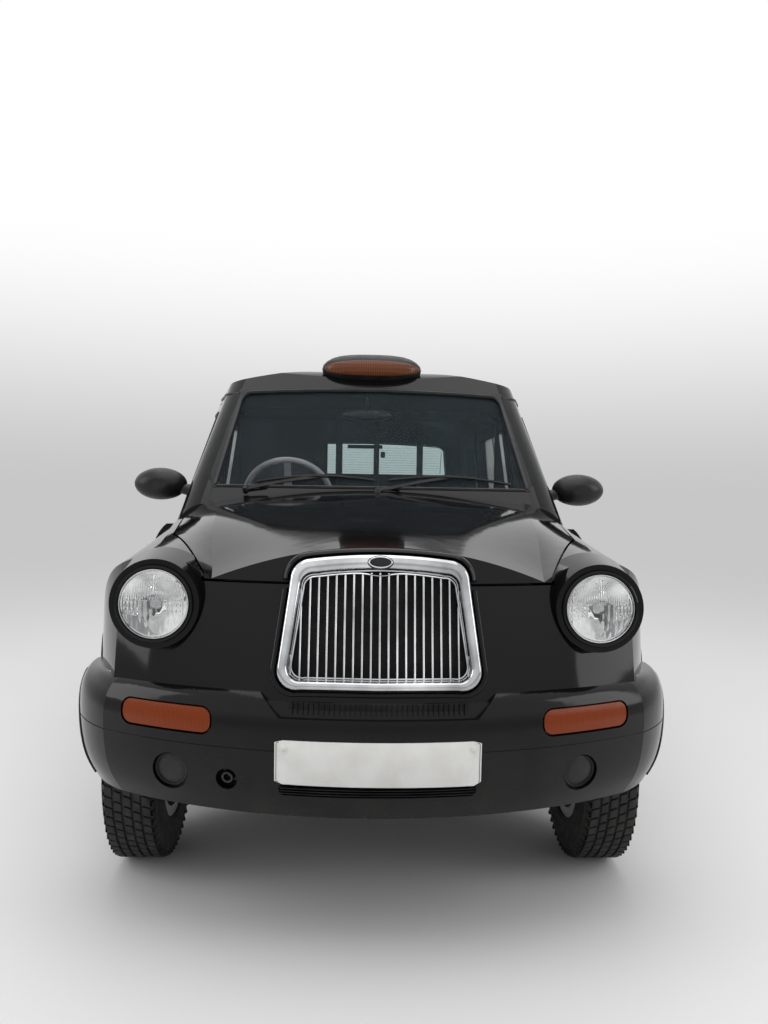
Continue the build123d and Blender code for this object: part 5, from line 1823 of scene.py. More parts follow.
    def mirrors(self) -> None:
        """The glass and rim on the back of each door mirror."""
        for side, name, body in ((1.0, "left", Body.DOOR_FL), (-1.0, "right", Body.DOOR_FR)):
            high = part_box(f"mirror_{name}")[1]
            wide, tall = self.mirror_half
            outline = ellipse(wide, tall, 56)
            glass = slab([(outline, 0.0), (outline, 0.003), (outline * 0.98, 0.0034)])
            rim = band([(ellipse(wide + g, tall + g, 56), d) for g, d in
                        ((0.001, -0.001), (0.011, 0.0), (0.012, 0.003), (0.007, 0.006), (0.001, 0.0045))])
            piece = Piece(f"mirror_{name}_glass", body, Slot.GLASS)
            spot = (side * self.mirror_x, high[1] - 0.0005, self.mirror_z)
            piece.add(glass.moved(*spot), BRIGHT).add(rim.moved(*spot), BLACK_PLASTIC)
            piece.make()

    def build(self) -> None:
        """Builds all of it."""
        self.seals()
        self.heater_lines()
        self.wipers()
        self.sign()
        self.mirrors()


def between(first: np.ndarray, last: np.ndarray, spacing: float) -> list[np.ndarray]:
    """Evenly spaced points of a straight side, without its ends."""
    steps = np.linalg.norm(last - first) // spacing + 1
    return [first + (last - first) * k / steps for k in range(1, int(steps))]


def eased(points: Pairs, radius: float, steps: int = 6, spacing: float = 0.02) -> np.ndarray:
    """A polygon's outline with rounded corners and evenly cut sides.

    Args:
        points: its corners, anticlockwise.
        radius: of the corners, made smaller where the sides are short.
        steps: points to a corner.
        spacing: how far apart the points of the straight sides are.

    Returns:
        The closed outline.
    """
    corners = [np.array(point) for point in points]
    out = []
    for before, here, after in zip(corners[-1:] + corners[:-1], corners, corners[1:] + corners[:1]):
        back, ahead = before - here, after - here
        reach = min(radius, 0.45 * np.linalg.norm(back), 0.45 * np.linalg.norm(ahead))
        start, end = (here + way / np.linalg.norm(way) * reach for way in (back, ahead))
        if out:
            out += between(out[-1], start, spacing)
        for t in np.linspace(0, 1, steps):
            out.append((1 - t) ** 2 * start + 2 * t * (1 - t) * here + t * t * end)
    return np.array([*out, *between(out[-1], out[0], spacing)])


@dataclass
class Pad:
    """A stuffed pad: a loft that cloth simulation fills, then sewn channels and piping."""

    name: str
    node: str
    side: Pairs
    low: float
    high: float
    corner: float
    face: Triple
    channels: tuple[float, ...] = ()
    cross: tuple[float, ...] = ()
    shrink: float = 0.01
    voxel: float = 0.009
    cap: float = 0.022
    fill: float = 0.6
    crown: float = 0.01

    def blank(self) -> Patch:
        """The pad before it is filled: its outline drawn across the cab, drawn in towards both ends.

        Returns:
            The patch.
        """
        outline = grown(eased(self.side, self.corner), -self.shrink)
        rows = []
        reach = self.corner * 1.1
        ends = [reach * (1 - math.cos(a)) for a in np.linspace(0.25, QUARTER, 7)]
        width = self.high - self.low - 2 * self.shrink
        places = [*ends, *np.linspace(reach, width - reach, max(6, int(width / 0.03)))[1:-1],
                  *[width - e for e in reversed(ends)]]
        for place in places:
            edge = min(place, width - place)
            inset = 0.0 if edge >= reach else reach - math.sqrt(max(0.0, reach**2 - (reach - edge) ** 2))
            bulge = self.crown * math.sin(math.pi * place / width)
            loop = grown(outline, -inset * 0.9)
            rows.append([(self.low + self.shrink + place, y + self.face[1] * bulge,
                          z + self.face[2] * bulge) for y, z in loop])
        return closed(rows)

    def filled(self) -> bpy.types.Mesh:
        """Returns:
            The mesh.
        """
        mesh = bpy.data.meshes.new(self.name)
        blank = self.blank()
        mesh.from_pydata(blank.points.tolist(), [], blank.faces)
        work = bmesh.new()
        work.from_mesh(mesh)
        bmesh.ops.recalc_face_normals(work, faces=work.faces)
        work.to_mesh(mesh)
        work.free()
        host = bpy.data.objects.new(f"{self.name}_fill", mesh)
        bpy.context.scene.collection.objects.link(host)
        remesh = host.modifiers.new("remesh", "REMESH")
        remesh.mode, remesh.voxel_size = "VOXEL", self.voxel
        graph = bpy.context.evaluated_depsgraph_get()
        fine = bpy.data.meshes.new_from_object(host.evaluated_get(graph), depsgraph=graph)
        host.modifiers.clear()
        host.data = fine
        self.simulate(host, fine)
        bpy.data.objects.remove(host)
        bpy.data.meshes.remove(mesh)
        return fine

    def simulate(self, host: bpy.types.Object, fine: bpy.types.Mesh) -> None:
        """Fills the pad with air, with its back held, and caps how far each point moves.

        Args:
            host: the object that carries the pad.
            fine: its mesh, which takes the new shape.
        """
        start = np.array([vertex.co[:] for vertex in fine.vertices])
        deep = start @ np.array(self.face)
        held = host.vertex_groups.new(name="held")
        held.add([int(index) for index in np.nonzero(deep < deep.min() + 0.03)[0]], 1.0, "REPLACE")
        cloth = host.modifiers.new("fill", "CLOTH")
        cloth.settings.use_pressure = True
        cloth.settings.uniform_pressure_force = 4.0
        cloth.settings.effector_weights.gravity = 0.0
        cloth.settings.vertex_group_mass = "held"
        cloth.settings.quality = 4
        cloth.point_cache.frame_start, cloth.point_cache.frame_end = 1, 20
        scene = bpy.context.scene
        for step in range(1, 21):
            scene.frame_set(step)
        graph = bpy.context.evaluated_depsgraph_get()
        end = np.array([vertex.co[:] for vertex in host.evaluated_get(graph).data.vertices])
        scene.frame_set(1)
        host.modifiers.clear()
        move = end - start
        length = np.linalg.norm(move, axis=1)
        move *= (np.minimum(length, self.cap) / np.maximum(length, 1e-9))[:, None]
        fine.vertices.foreach_set("co", (start + move).ravel())
        fine.update()

    def sewn(self, mesh: bpy.types.Mesh) -> None:
        """Draws the sewn channels into the face, and keeps the pad inside the CAD seat's box.

        Args:
            mesh: the filled pad.
        """
        work = bmesh.new()
        work.from_mesh(mesh)
        bmesh.ops.subdivide_edges(work, edges=work.edges, cuts=1, use_grid_fill=True, smooth=0.0)
        bmesh.ops.smooth_vert(work, verts=work.verts, factor=0.5, use_axis_x=True, use_axis_y=True,
                              use_axis_z=True)
        work.to_mesh(mesh)
        work.free()
        points = np.array([vertex.co[:] for vertex in mesh.vertices])
        normals = np.array([vertex.normal[:] for vertex in mesh.vertices])
        way = np.array(self.face)
        facing_out = np.clip((normals @ way - 0.2) / 0.3, 0.0, 1.0)
        along = 1 if abs(self.face[2]) > abs(self.face[1]) else 2
        dent = np.zeros(len(points))
        for values, axis, margin in ((self.channels, 0, along), (self.cross, along, 0)):
            near = np.clip(np.minimum(points[:, margin] - points[:, margin].min(),
                                      points[:, margin].max() - points[:, margin]) / 0.05, 0.0, 1.0)
            for value in values:
                dent = np.maximum(dent, near * np.exp(-(((points[:, axis] - value) / 0.0075) ** 2)))
        points -= way * (0.0075 * dent * facing_out)[:, None]
        low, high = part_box(self.node)
        points = np.clip(points, np.array(low) + 0.0005, np.array(high) - 0.0005)
        mesh.vertices.foreach_set("co", points.ravel())
        mesh.update()

    def piping(self, tree: BVHTree) -> list[Patch]:
        """Piping along the pad's two side seams.

        Args:
            tree: the pad's surface.

        Returns:
            The two rings.
        """
        out = []
        outline = grown(eased(self.side, self.corner), 0.01)
        for x in (self.low + self.corner * 0.75, self.high - self.corner * 0.75):
            path = [tree.find_nearest(Vector((x, y, z)))[0] for y, z in outline]
            out.append(tube(path, 0.0042, LEFT, 8, ring=True))
        return out

    def build(self, replaces: bool = False) -> None:
        """Builds the pad and its piping.

        Args:
            replaces: whether it stands for the whole CAD seat.
        """
        mesh = self.filled()
        self.sewn(mesh)
        mesh.materials.clear()
        mesh.materials.append(SEAT_CLOTH.material())
        stands_for = (self.node,) if replaces else ()
        pad = Piece(self.name, Body.CAB, Slot.CLOTH).settle(mesh, stands_for, sharp=179.0)
        tree = BVHTree.FromPolygons([vertex.co for vertex in mesh.vertices],
                                    [tuple(face.vertices) for face in mesh.polygons])
        low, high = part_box(self.node)
        seams = Piece(f"{self.name}_piping", Body.CAB, Slot.CLOTH)
        for ring in self.piping(tree):
            seams.add(Patch(np.clip(ring.points, np.array(low) + 0.0003, np.array(high) - 0.0003),
                            ring.faces), BLACK_PLASTIC)
        seams.make(sharp=80.0)


@dataclass
class Seats:
    """Driver's seat, rear bench and the two folded tip-up seats."""

    middle: float = -0.362
    floor: float = 0.3453
    rear_floor: float = 0.5403

    def driver(self) -> None:
        """The driver's cushion, back, headrest and plinth."""
        m = self.middle
        side = [(-0.52, 0.545), (-0.05, 0.545), (-0.05, 0.665), (-0.52, 0.69)]
        Pad("driver_cushion", "driver_seat", side, m - 0.255, m + 0.255, 0.055, UP, (m - 0.15, m + 0.15),
            (-0.36, -0.22), voxel=0.0075).build(replaces=True)
        side = [(-0.105, 0.64), (0.005, 0.615), (0.052, 1.22), (-0.028, 1.24)]
        Pad("driver_back", "driver_seat", side, m - 0.245, m + 0.245, 0.045, AHEAD, (m - 0.14, m + 0.14),
            (0.86, 1.06), voxel=0.0075).build()
        side = [(-0.042, 1.248), (0.045, 1.242), (0.052, 1.394), (-0.022, 1.396)]
        Pad("driver_headrest", "driver_seat", side, m - 0.13, m + 0.13, 0.04, AHEAD, shrink=0.007,
            voxel=0.006, cap=0.012).build()
        plinth = Piece("driver_plinth", Body.CAB, Slot.BLACK)
        levels = ((self.floor, 0.42, 0.38), (0.352, 0.42, 0.38), (0.36, 0.405, 0.365), (0.5, 0.385, 0.345),
                  (0.545, 0.4, 0.36), (0.56, 0.4, 0.36))
        skirt = closed([[(x + m, y - 0.245, z) for x, y in rounded(wide, deep, 0.03)]
                        for z, wide, deep in levels])
        plinth.add(skirt, BLACK_PLASTIC)
        for x in (m - 0.062, m + 0.062):
            post = [(x, 0.012, 1.205), (x, 0.01, 1.24), (x, 0.012, 1.27)]
            plinth.add(tube(post, 0.0065, REAR, 16), CHROME)
        lever = [(m + 0.262 - 0.008, -0.5, 0.565), (m + 0.25, -0.515, 0.56), (m + 0.12, -0.518, 0.558)]
        plinth.add(tube(lever, 0.006, UP, 12), BLACK_PLASTIC)
        plinth.make()

    def bench(self) -> None:
        """The rear bench, its back and the plinth under it."""
        f = self.rear_floor
        side = [(1.115, 0.6), (1.605, 0.59), (1.605, 0.745), (1.115, 0.768)]
        Pad("rear_cushion", "rear_seat", side, -0.52, 0.52, 0.055, UP, (-0.175, 0.175), (1.27, 1.43),
            voxel=0.01).build(replaces=True)
        side = [(1.588, 0.76), (1.69, 0.7), (1.774, 1.278), (1.68, 1.286)]
        Pad("rear_back", "rear_seat", side, -0.62, 0.62, 0.045, AHEAD, (-0.215, 0.215), (0.96, 1.13),
            voxel=0.01).build()
        box = Piece("rear_seat_base", Body.CAB, Slot.TRIM)
        front = eased([(1.135, f), (1.58, f), (1.58, 0.597), (1.135, 0.605)], 0.012, 5)
        rows = [[(x, y, z) for y, z in front] for x in np.linspace(-0.5, 0.5, 12)]
        box.add(closed(rows), FLOOR_RUBBER)
        for x in (-0.36, 0.0, 0.36):
            for side in (-0.035, 0.035):
                clip = block((0.02, 0.032, 0.004, 0.0), (0.02, 0.032, 0.004, 0.018))
                box.add(clip.moved(x + side, 1.598, 0.772), BLACK_PLASTIC)
        box.make()

    def tip_ups(self) -> None:
        """The two seats folded up on the partition: pads, shells and hinge brackets."""
        shell = Piece("tip_up_frames", Body.CAB, Slot.BLACK)
        for index, x in enumerate((-0.33, 0.33)):
            tag = ("right", "left")[index]
            pad = [(0.128, 0.48), (0.198, 0.49), (0.198, 0.89), (0.128, 0.898)]
            Pad(f"tip_up_pad_{tag}", "tip_up_seats", pad, x - 0.208, x + 0.208, 0.03, REAR,
                (x - 0.1, x + 0.1), voxel=0.0085, shrink=0.008, cap=0.014).build(replaces=index == 0)
            rest = [(0.112, 0.934), (0.153, 0.938), (0.153, 1.084), (0.112, 1.088)]
            Pad(f"tip_up_rest_{tag}", "tip_up_seats", rest, x - 0.198, x + 0.198, 0.018, REAR, voxel=0.0075,
                shrink=0.006, cap=0.01).build()
            back = plate(rounded(0.41, 0.42, 0.03), 0.1056, 0.128, 0.002)
            shell.add(back.moved(x=x, z=0.688), BLACK_PLASTIC)
            rest = plate(rounded(0.39, 0.15, 0.02), 0.1056, 0.116, 0.002)
            shell.add(rest.moved(x=x, z=1.012), BLACK_PLASTIC)
            for side in (-0.17, 0.17):
                strap = block((0.03, 0.062, 0.006, 0.1056), (0.03, 0.062, 0.006, 0.13))
                shell.add(strap.moved(x=x + side, z=0.905), CAST)
        shell.make()

    def build(self) -> None:
        """Builds all the seats."""
        self.driver()
        self.bench()
        self.tip_ups()


@dataclass
class Controls:
    """Steering wheel, dashboard fittings, pedals, levers and the interior mirror."""

    centre: Triple = (-0.362, -0.555, 1.186)
    tilt: float = math.radians(30.0)
    radius: float = 0.19
    pedal_lean: float = math.radians(28)

    def wheel_place(self) -> Matrix:
        """The matrix that takes a shape drawn about Z to the steering wheel's plane."""
        return Matrix.Translation(self.centre) @ Matrix.Rotation(-(QUARTER - self.tilt), 4, "X")

    def steering_wheel(self) -> None:
        """Moulded rim with finger grips at the back, two broad spokes, a lower one and a plain horn pad."""
        piece = Piece("steering_wheel_trim", Body.STEERING_WHEEL, Slot.GREY)
        rim = []
        for angle in np.linspace(0, FULL, 144, endpoint=False):
            grip = 0.0009 * math.cos(24 * angle)
            ring = []
            for turn in np.linspace(0, FULL, 20, endpoint=False):
                thick = 0.0128 + (grip if math.sin(turn) < -0.2 else 0.0)
                reach = self.radius + thick * math.cos(turn) * 0.98
                ring.append((reach * math.cos(angle), reach * math.sin(angle), thick * math.sin(turn)))
            rim.append(ring)
        place = self.wheel_place()
        piece.add(grid(rim, ring=True, tube=True).placed(place), WHEEL_GREY)
        section = ((1, -0.004), (1, 0.001), (0.8, 0.0045), (0, 0.006), (-0.8, 0.0045), (-1, 0.001),
                   (-1, -0.004), (0, -0.006))
        for angle, wide in ((0.0, 1.0), (math.pi, 1.0), (-QUARTER, 0.75)):
            rows = []
            for t in np.linspace(0, 1, 14):
                out = 0.04 + t * (self.radius - 0.046)
                half = (0.03 - 0.014 * math.sin(math.pi * min(1.0, t * 1.15) / 2) + 0.006 * t * t) * wide
                drop = -0.01 * (1 - t) ** 2
                rows.append([(out, y * half, z + drop) for y, z in section])
            piece.add(closed(rows).placed(place @ Matrix.Rotation(angle, 4, "Z")), WHEEL_GREY)
        pad_rows = []
        for level, wide, high in ((-0.03, 0.05, 0.046), (-0.004, 0.062, 0.056), (0.006, 0.0625, 0.0565),
                                  (0.0105, 0.06, 0.054), (0.0118, 0.054, 0.048), (0.01, 0.05, 0.044),
                                  (0.0115, 0.047, 0.041), (0.0119, 0.02, 0.018)):
            pad_rows.append([(x, y, level) for x, y in pebble(wide, high, 56)])
        piece.add(closed(pad_rows).placed(place), WHEEL_GREY)
        shaft = lathe([(0.0, -0.209), (0.0138, -0.209), (0.0138, -0.03), (0.0, -0.03)], 32)
        piece.add(shaft.placed(place), CAST)
        piece.make(("steering_wheel",), sharp=50.0)

    def dash_fittings(self) -> None:
        """Instrument hood and dials, vents, centre stack, glove box and demister slots."""
        skin = Skin("dashboard")
        piece = Piece("dash_fittings", Body.CAB, Slot.DASH)

        def on(x: float, z: float) -> Vector:
            """The place on the dashboard's face at (x, z)."""
            return skin.hit((x, 1.0, z), AHEAD)[0]

        hood = []
        for t in np.linspace(0, 1, 14):
            y = -0.8 + t * 0.145
            wide, rise = 0.15 + 0.012 * t, 0.012 + 0.03 * math.sin(math.pi * (0.15 + 0.75 * t) / 1.6)
            base = skin.hit((self.centre[0], y, 2.0), DOWN)[0].z - 0.004
            ring = []
            for angle in np.linspace(0, math.pi, 20):
                x = wide * math.copysign(abs(math.cos(angle)) ** 0.55, math.cos(angle))
                ring.append((self.centre[0] + x, y, base + rise * math.sin(angle) ** 0.8))
            hood.append(ring)
        piece.add(closed(hood), DASH_GREY)
        for x, z, size in ((-0.425, 1.08, 0.04), (-0.3, 1.08, 0.04), (-0.362, 1.04, 0.02)):
            dial = lathe([(0.0, 0.004), (size * 0.93, 0.004), (size * 0.95, 0.009), (size, 0.009),
                          (size * 1.04, 0.006), (size * 1.04, -0.004), (0.0, -0.004)], 40)
            spot = on(x, z)
            piece.add(dial.placed(Z_TO_REAR).moved(*spot), BLACK_PLASTIC)
            tick = slab([(rounded(0.0012, size * 0.16, 0.0004, 2), 0.0),
                         (rounded(0.0012, size * 0.16, 0.0004, 2), 0.0008)])
            spots = []
            for k in range(15):
                angle = -2.3 + 4.6 * k / 14
                spots.append(Spot((size * 0.8 * math.sin(angle), 0.0042, size * 0.8 * math.cos(angle)),
                                  (0.0, angle, 0.0)))
            piece.add(Repeater.spread(tick, spots, PLATE_WHITE).moved(*spot), PLATE_WHITE)
        slat = slab([(rounded(0.084, 0.0022, 0.001, 3), 0.0), (rounded(0.084, 0.0022, 0.001, 3), 0.014)])
        for x, z in ((-0.64, 1.075), (-0.105, 1.08), (0.105, 1.08), (0.64, 1.075)):
            spot = on(x, z)
            bezel = band([(rounded(0.1 - 2 * g, 0.06 - 2 * g, 0.01), d) for g, d in
                          ((0.0, -0.004), (0.0, 0.006), (0.002, 0.008), (0.006, 0.0075), (0.007, 0.002),
                           (0.007, -0.004))])
            piece.add(bezel.moved(*spot), BLACK_PLASTIC)
            spots = [Spot((spot.x, spot.y - 0.006, spot.z + dz), (0.35, 0.0, 0.0))
                     for dz in np.linspace(-0.02, 0.02, 6)]
            piece.add(Repeater.spread(slat, spots, BLACK_PLASTIC), BLACK_PLASTIC)
        for x, z, wide, high in ((0.0, 0.99, 0.19, 0.056), (0.0, 0.92, 0.19, 0.056),
                                 (0.0, 0.85, 0.19, 0.04)):
            spot = on(x, z)
            panel = plate(rounded(wide, high, 0.006), spot.y - 0.02, spot.y + 0.012, 0.002)
            piece.add(panel.moved(x=x, z=z), BLACK_PLASTIC)
        for x, z in ((-0.062, 0.99), (0.062, 0.99), (-0.06, 0.92), (0.0, 0.92), (0.06, 0.92)):
            knob = lathe([(0.0, 0.03), (0.011, 0.029), (0.0135, 0.025), (0.015, 0.012), (0.0, 0.012)], 28)
            piece.add(knob.placed(Z_TO_REAR).moved(*on(x, z)), DASH_GREY)
        for x in np.linspace(-0.07, 0.07, 6):
            spot = on(x, 0.85)
            key = plate(rounded(0.018, 0.022, 0.002, 3), spot.y, spot.y + 0.016, 0.001)
            piece.add(key.moved(x=x, z=0.85), DASH_GREY)
        lid = []
        for g, d in ((0.0, -0.002), (0.0, 0.0025), (0.002, 0.0045), (0.02, 0.006), (0.06, 0.0065)):
            loop = rounded(0.36 - 2 * g, 0.15 - 2 * g, max(0.004, 0.018 - g))
            lid.append([(x, d, z) for x, z in loop])
        glove = closed(lid, base=False).moved(x=0.42, z=0.95)
        piece.add(skin.drape(glove, AHEAD), DASH_GREY)
        slot = upright_rib(0.052, 0.004, 0.004)
        spots = []
        for x in np.linspace(-0.56, 0.56, 15):
            place = skin.hit((x, -0.868, 2.0), DOWN)[0]
            spots.append(Spot((x, place.y, place.z - 0.0025)))
        piece.add(Repeater.spread(slot, spots, BLACK_PLASTIC), LINER_BLACK)
        box = block((0.15, 0.048, 0.006, -0.735), (0.154, 0.052, 0.008, -0.725),
                    (0.154, 0.052, 0.008, -0.672), (0.144, 0.042, 0.004, -0.668))
        piece.add(box.moved(x=0.055, z=1.172), BLACK_PLASTIC)
        window = block((0.118, 0.02, 0.003, -0.6685), (0.118, 0.02, 0.003, -0.667))
        piece.add(window.moved(x=0.055, z=1.176), PRIVACY_GLASS)
        piece.make(sharp=40.0)

    def column(self) -> None:
        """Column shroud with its stalks, pedals, gear lever and handbrake."""
        piece = Piece("column_and_pedals", Body.CAB, Slot.BLACK)
        place = self.wheel_place()
        shroud = []
        for depth, wide, high in ((-0.058, 0.04, 0.034), (-0.064, 0.046, 0.04), (-0.11, 0.052, 0.047),
                                  (-0.15, 0.054, 0.05), (-0.185, 0.052, 0.048)):
            shroud.append([(x, y, depth) for x, y in pebble(wide, high, 40)])
        inner = [[(x, y, depth) for x, y in pebble(0.018, 0.018, 40)] for depth in (-0.185, -0.058)]
        piece.add(grid([*shroud, *inner], ring=True, tube=True).placed(place), BLACK_PLASTIC)
        for side in (-1, 1):
            stalk = [(side * 0.045, 0.004, -0.085), (side * 0.09, 0.01, -0.078),
                     (side * 0.135, 0.016, -0.07)]
            turned = [place @ Vector(point) for point in stalk]
            piece.add(tube(turned, 0.0062, UP, 14), BLACK_PLASTIC)
        for x, wide in ((-0.285, 0.052), (-0.4, 0.08)):
            pad = block((wide, 0.075, 0.008, 0.0), (wide, 0.075, 0.008, 0.01),
                        (wide - 0.01, 0.065, 0.006, 0.013))
            piece.add(pad.placed(Matrix.Rotation(self.pedal_lean, 4, "X")).moved(x, -0.8, 0.5), TYRE_RUBBER)
            arm = [(x, -0.8, 0.5), (x, -0.82, 0.6), (x, -0.845, 0.72), (x, -0.85, 0.8)]
            piece.add(tube(arm, 0.007, LEFT, 12), CAST)
        rod = [(-0.03, -0.48, 0.345), (-0.032, -0.5, 0.5), (-0.036, -0.515, 0.64)]
        piece.add(tube(rod, 0.008, LEFT, 14), CHROME)
        knob = lathe([(0.0, 0.056), (0.014, 0.052), (0.023, 0.038), (0.024, 0.024), (0.015, 0.004),
                      (0.009, 0.0), (0.0, 0.0)], 28)
        piece.add(knob.moved(-0.036, -0.516, 0.635), BLACK_PLASTIC)
        gaiter = lathe([(0.0, 0.0), (0.066, 0.0), (0.068, 0.008), (0.05, 0.022), (0.054, 0.032),
                        (0.036, 0.046), (0.04, 0.056), (0.022, 0.07), (0.012, 0.084), (0.0, 0.084)], 36)
        piece.add(gaiter.moved(-0.03, -0.48, 0.3455), LINER_BLACK)
        brake = [(-0.045, -0.32, 0.365), (-0.045, -0.42, 0.415), (-0.045, -0.56, 0.47)]
        piece.add(tube(brake, 0.013, LEFT, 16), BLACK_PLASTIC)
        piece.make()

    def mirror(self) -> None:
        """The interior mirror under the windscreen's top edge."""
        piece = Piece("interior_mirror", Body.CAB, Slot.BLACK)
        centre = (-0.02, -0.545, 1.56)
        shell = button((0.0605, 0.0154, -0.02), (0.0935, 0.0238, -0.014), (0.11, 0.028, -0.002),
                       (0.11, 0.028, 0.006), (0.108, 0.026, 0.008))
        glass = button((0.105, 0.0235, 0.0078), (0.104, 0.0225, 0.009))
        piece.add(shell.moved(*centre), BLACK_PLASTIC).add(glass.moved(*centre), BRIGHT)
        stem = [(centre[0], centre[1] - 0.012, centre[2] + 0.01),
                (centre[0], centre[1] - 0.035, centre[2] + 0.045),
                (centre[0], centre[1] - 0.03, centre[2] + 0.075)]
        piece.add(tube(stem, 0.006, LEFT, 12), BLACK_PLASTIC)
        piece.make()

    def build(self) -> None:
        """Builds all of it."""
        self.steering_wheel()
        self.dash_fittings()
        self.column()
        self.mirror()


@dataclass
class Partition:
    """The partition's rubber edges, the board behind the driver, tray, intercom and grab handles."""

    panes: tuple[tuple[float, float], ...] = ((-0.66, -0.166), (-0.138, 0.03), (0.052, 0.254), (0.278, 0.66))
    low: float = 1.11
    high: float = 1.6

    def build(self) -> None:
        """Builds it in one piece."""
        piece = Piece("partition_trim", Body.CAB, Slot.TRIM)
        left, right = self.panes[0][0], self.panes[0][1] - 0.04
        wide = right - left - 0.01
        levels = ((0.004, 0.0745), (0.0, 0.0735), (0.0, 0.0705), (0.003, 0.0695))
        board = slab([(rounded(wide - edge, 0.48 - edge, 0.012), y) for edge, y in levels])
        piece.add(board.moved(x=(left + right) / 2, z=(self.low + self.high) / 2), PARTITION_GREY)
        for left, right in self.panes:
            wide, tall = right - left, self.high - self.low
            rubber = band([(rounded(wide - 2 * g, tall - 2 * g, 0.012), d) for g, d in
                           ((-0.006, -0.0005), (-0.006, -0.004), (-0.002, -0.0055), (0.003, -0.004),
                            (0.003, -0.0005))])
            for y, way in ((0.075, 1.0), (0.105, -1.0)):
                ring = rubber.scaled(y=way)
                piece.add(ring.moved((left + right) / 2, y, (self.low + self.high) / 2), TYRE_RUBBER)
        tray = block((0.18, 0.07, 0.012, 0.105), (0.184, 0.074, 0.014, 0.11), (0.17, 0.06, 0.01, 0.122))
        piece.add(tray.moved(x=-0.05, z=1.06), BLACK_PLASTIC)
        speaker = block((0.07, 0.048, 0.008, 0.105), (0.068, 0.046, 0.008, 0.118),
                        (0.06, 0.038, 0.005, 0.12))
        piece.add(speaker.moved(x=0.15, z=1.055), BLACK_PLASTIC)
        hole = upright_rib(0.0022, 0.003, 0.026)
        spots = [Spot((0.15 + dx, 0.1205, 1.042)) for dx in np.linspace(-0.022, 0.022, 9)]
        piece.add(Repeater.spread(hole, spots, LINER_BLACK), LINER_BLACK)
        hook = block((0.022, 0.03, 0.007, 0.0748), (0.024, 0.032, 0.008, 0.066), (0.016, 0.024, 0.006, 0.06))
        piece.add(hook.moved(x=0.074, z=1.417), BLACK_PLASTIC)
        for x in (-0.7, 0.7):
            path = [(x, 0.105, 0.95), (x, 0.15, 0.97), (x, 0.158, 1.05), (x, 0.158, 1.2), (x, 0.15, 1.28),
                    (x, 0.105, 1.3)]
            piece.add(tube(path, 0.011, LEFT, 16), PARTITION_GREY)
        piece.make()


def outline_of(node: str, side: float, count: int = 120) -> np.ndarray:
    """The outline of a flat convex node in (y, z), evenly spaced.

    Args:
        node: the CAD node.
        side: 1 for its left half, -1 for its right.
        count: how many points it gets.

    Returns:
        The outline.
    """
    points = {(round(v.co.y, 5), round(v.co.z, 5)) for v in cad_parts[node].data.vertices
              if v.co.x * side > 0}
    ordered = sorted(points)
    chains = []
    for run in (ordered, ordered[::-1]):
        chain: Pairs = []
        for point in run:
            while len(chain) > 1:
                (ax, ay), (bx, by) = chain[-2:]
                if (bx - ax) * (point[1] - ay) - (by - ay) * (point[0] - ax) > 0:
                    break
                chain.pop()
            chain.append(point)
        chains += chain[:-1]
    hull = np.array([*chains, chains[0]])
    steps = np.concatenate([[0.0], np.cumsum(np.linalg.norm(np.diff(hull, axis=0), axis=1))])
    spots = np.linspace(0, steps[-1], count, endpoint=False)
    return np.column_stack([np.interp(spots, steps, hull[:, k]) for k in (0, 1)])


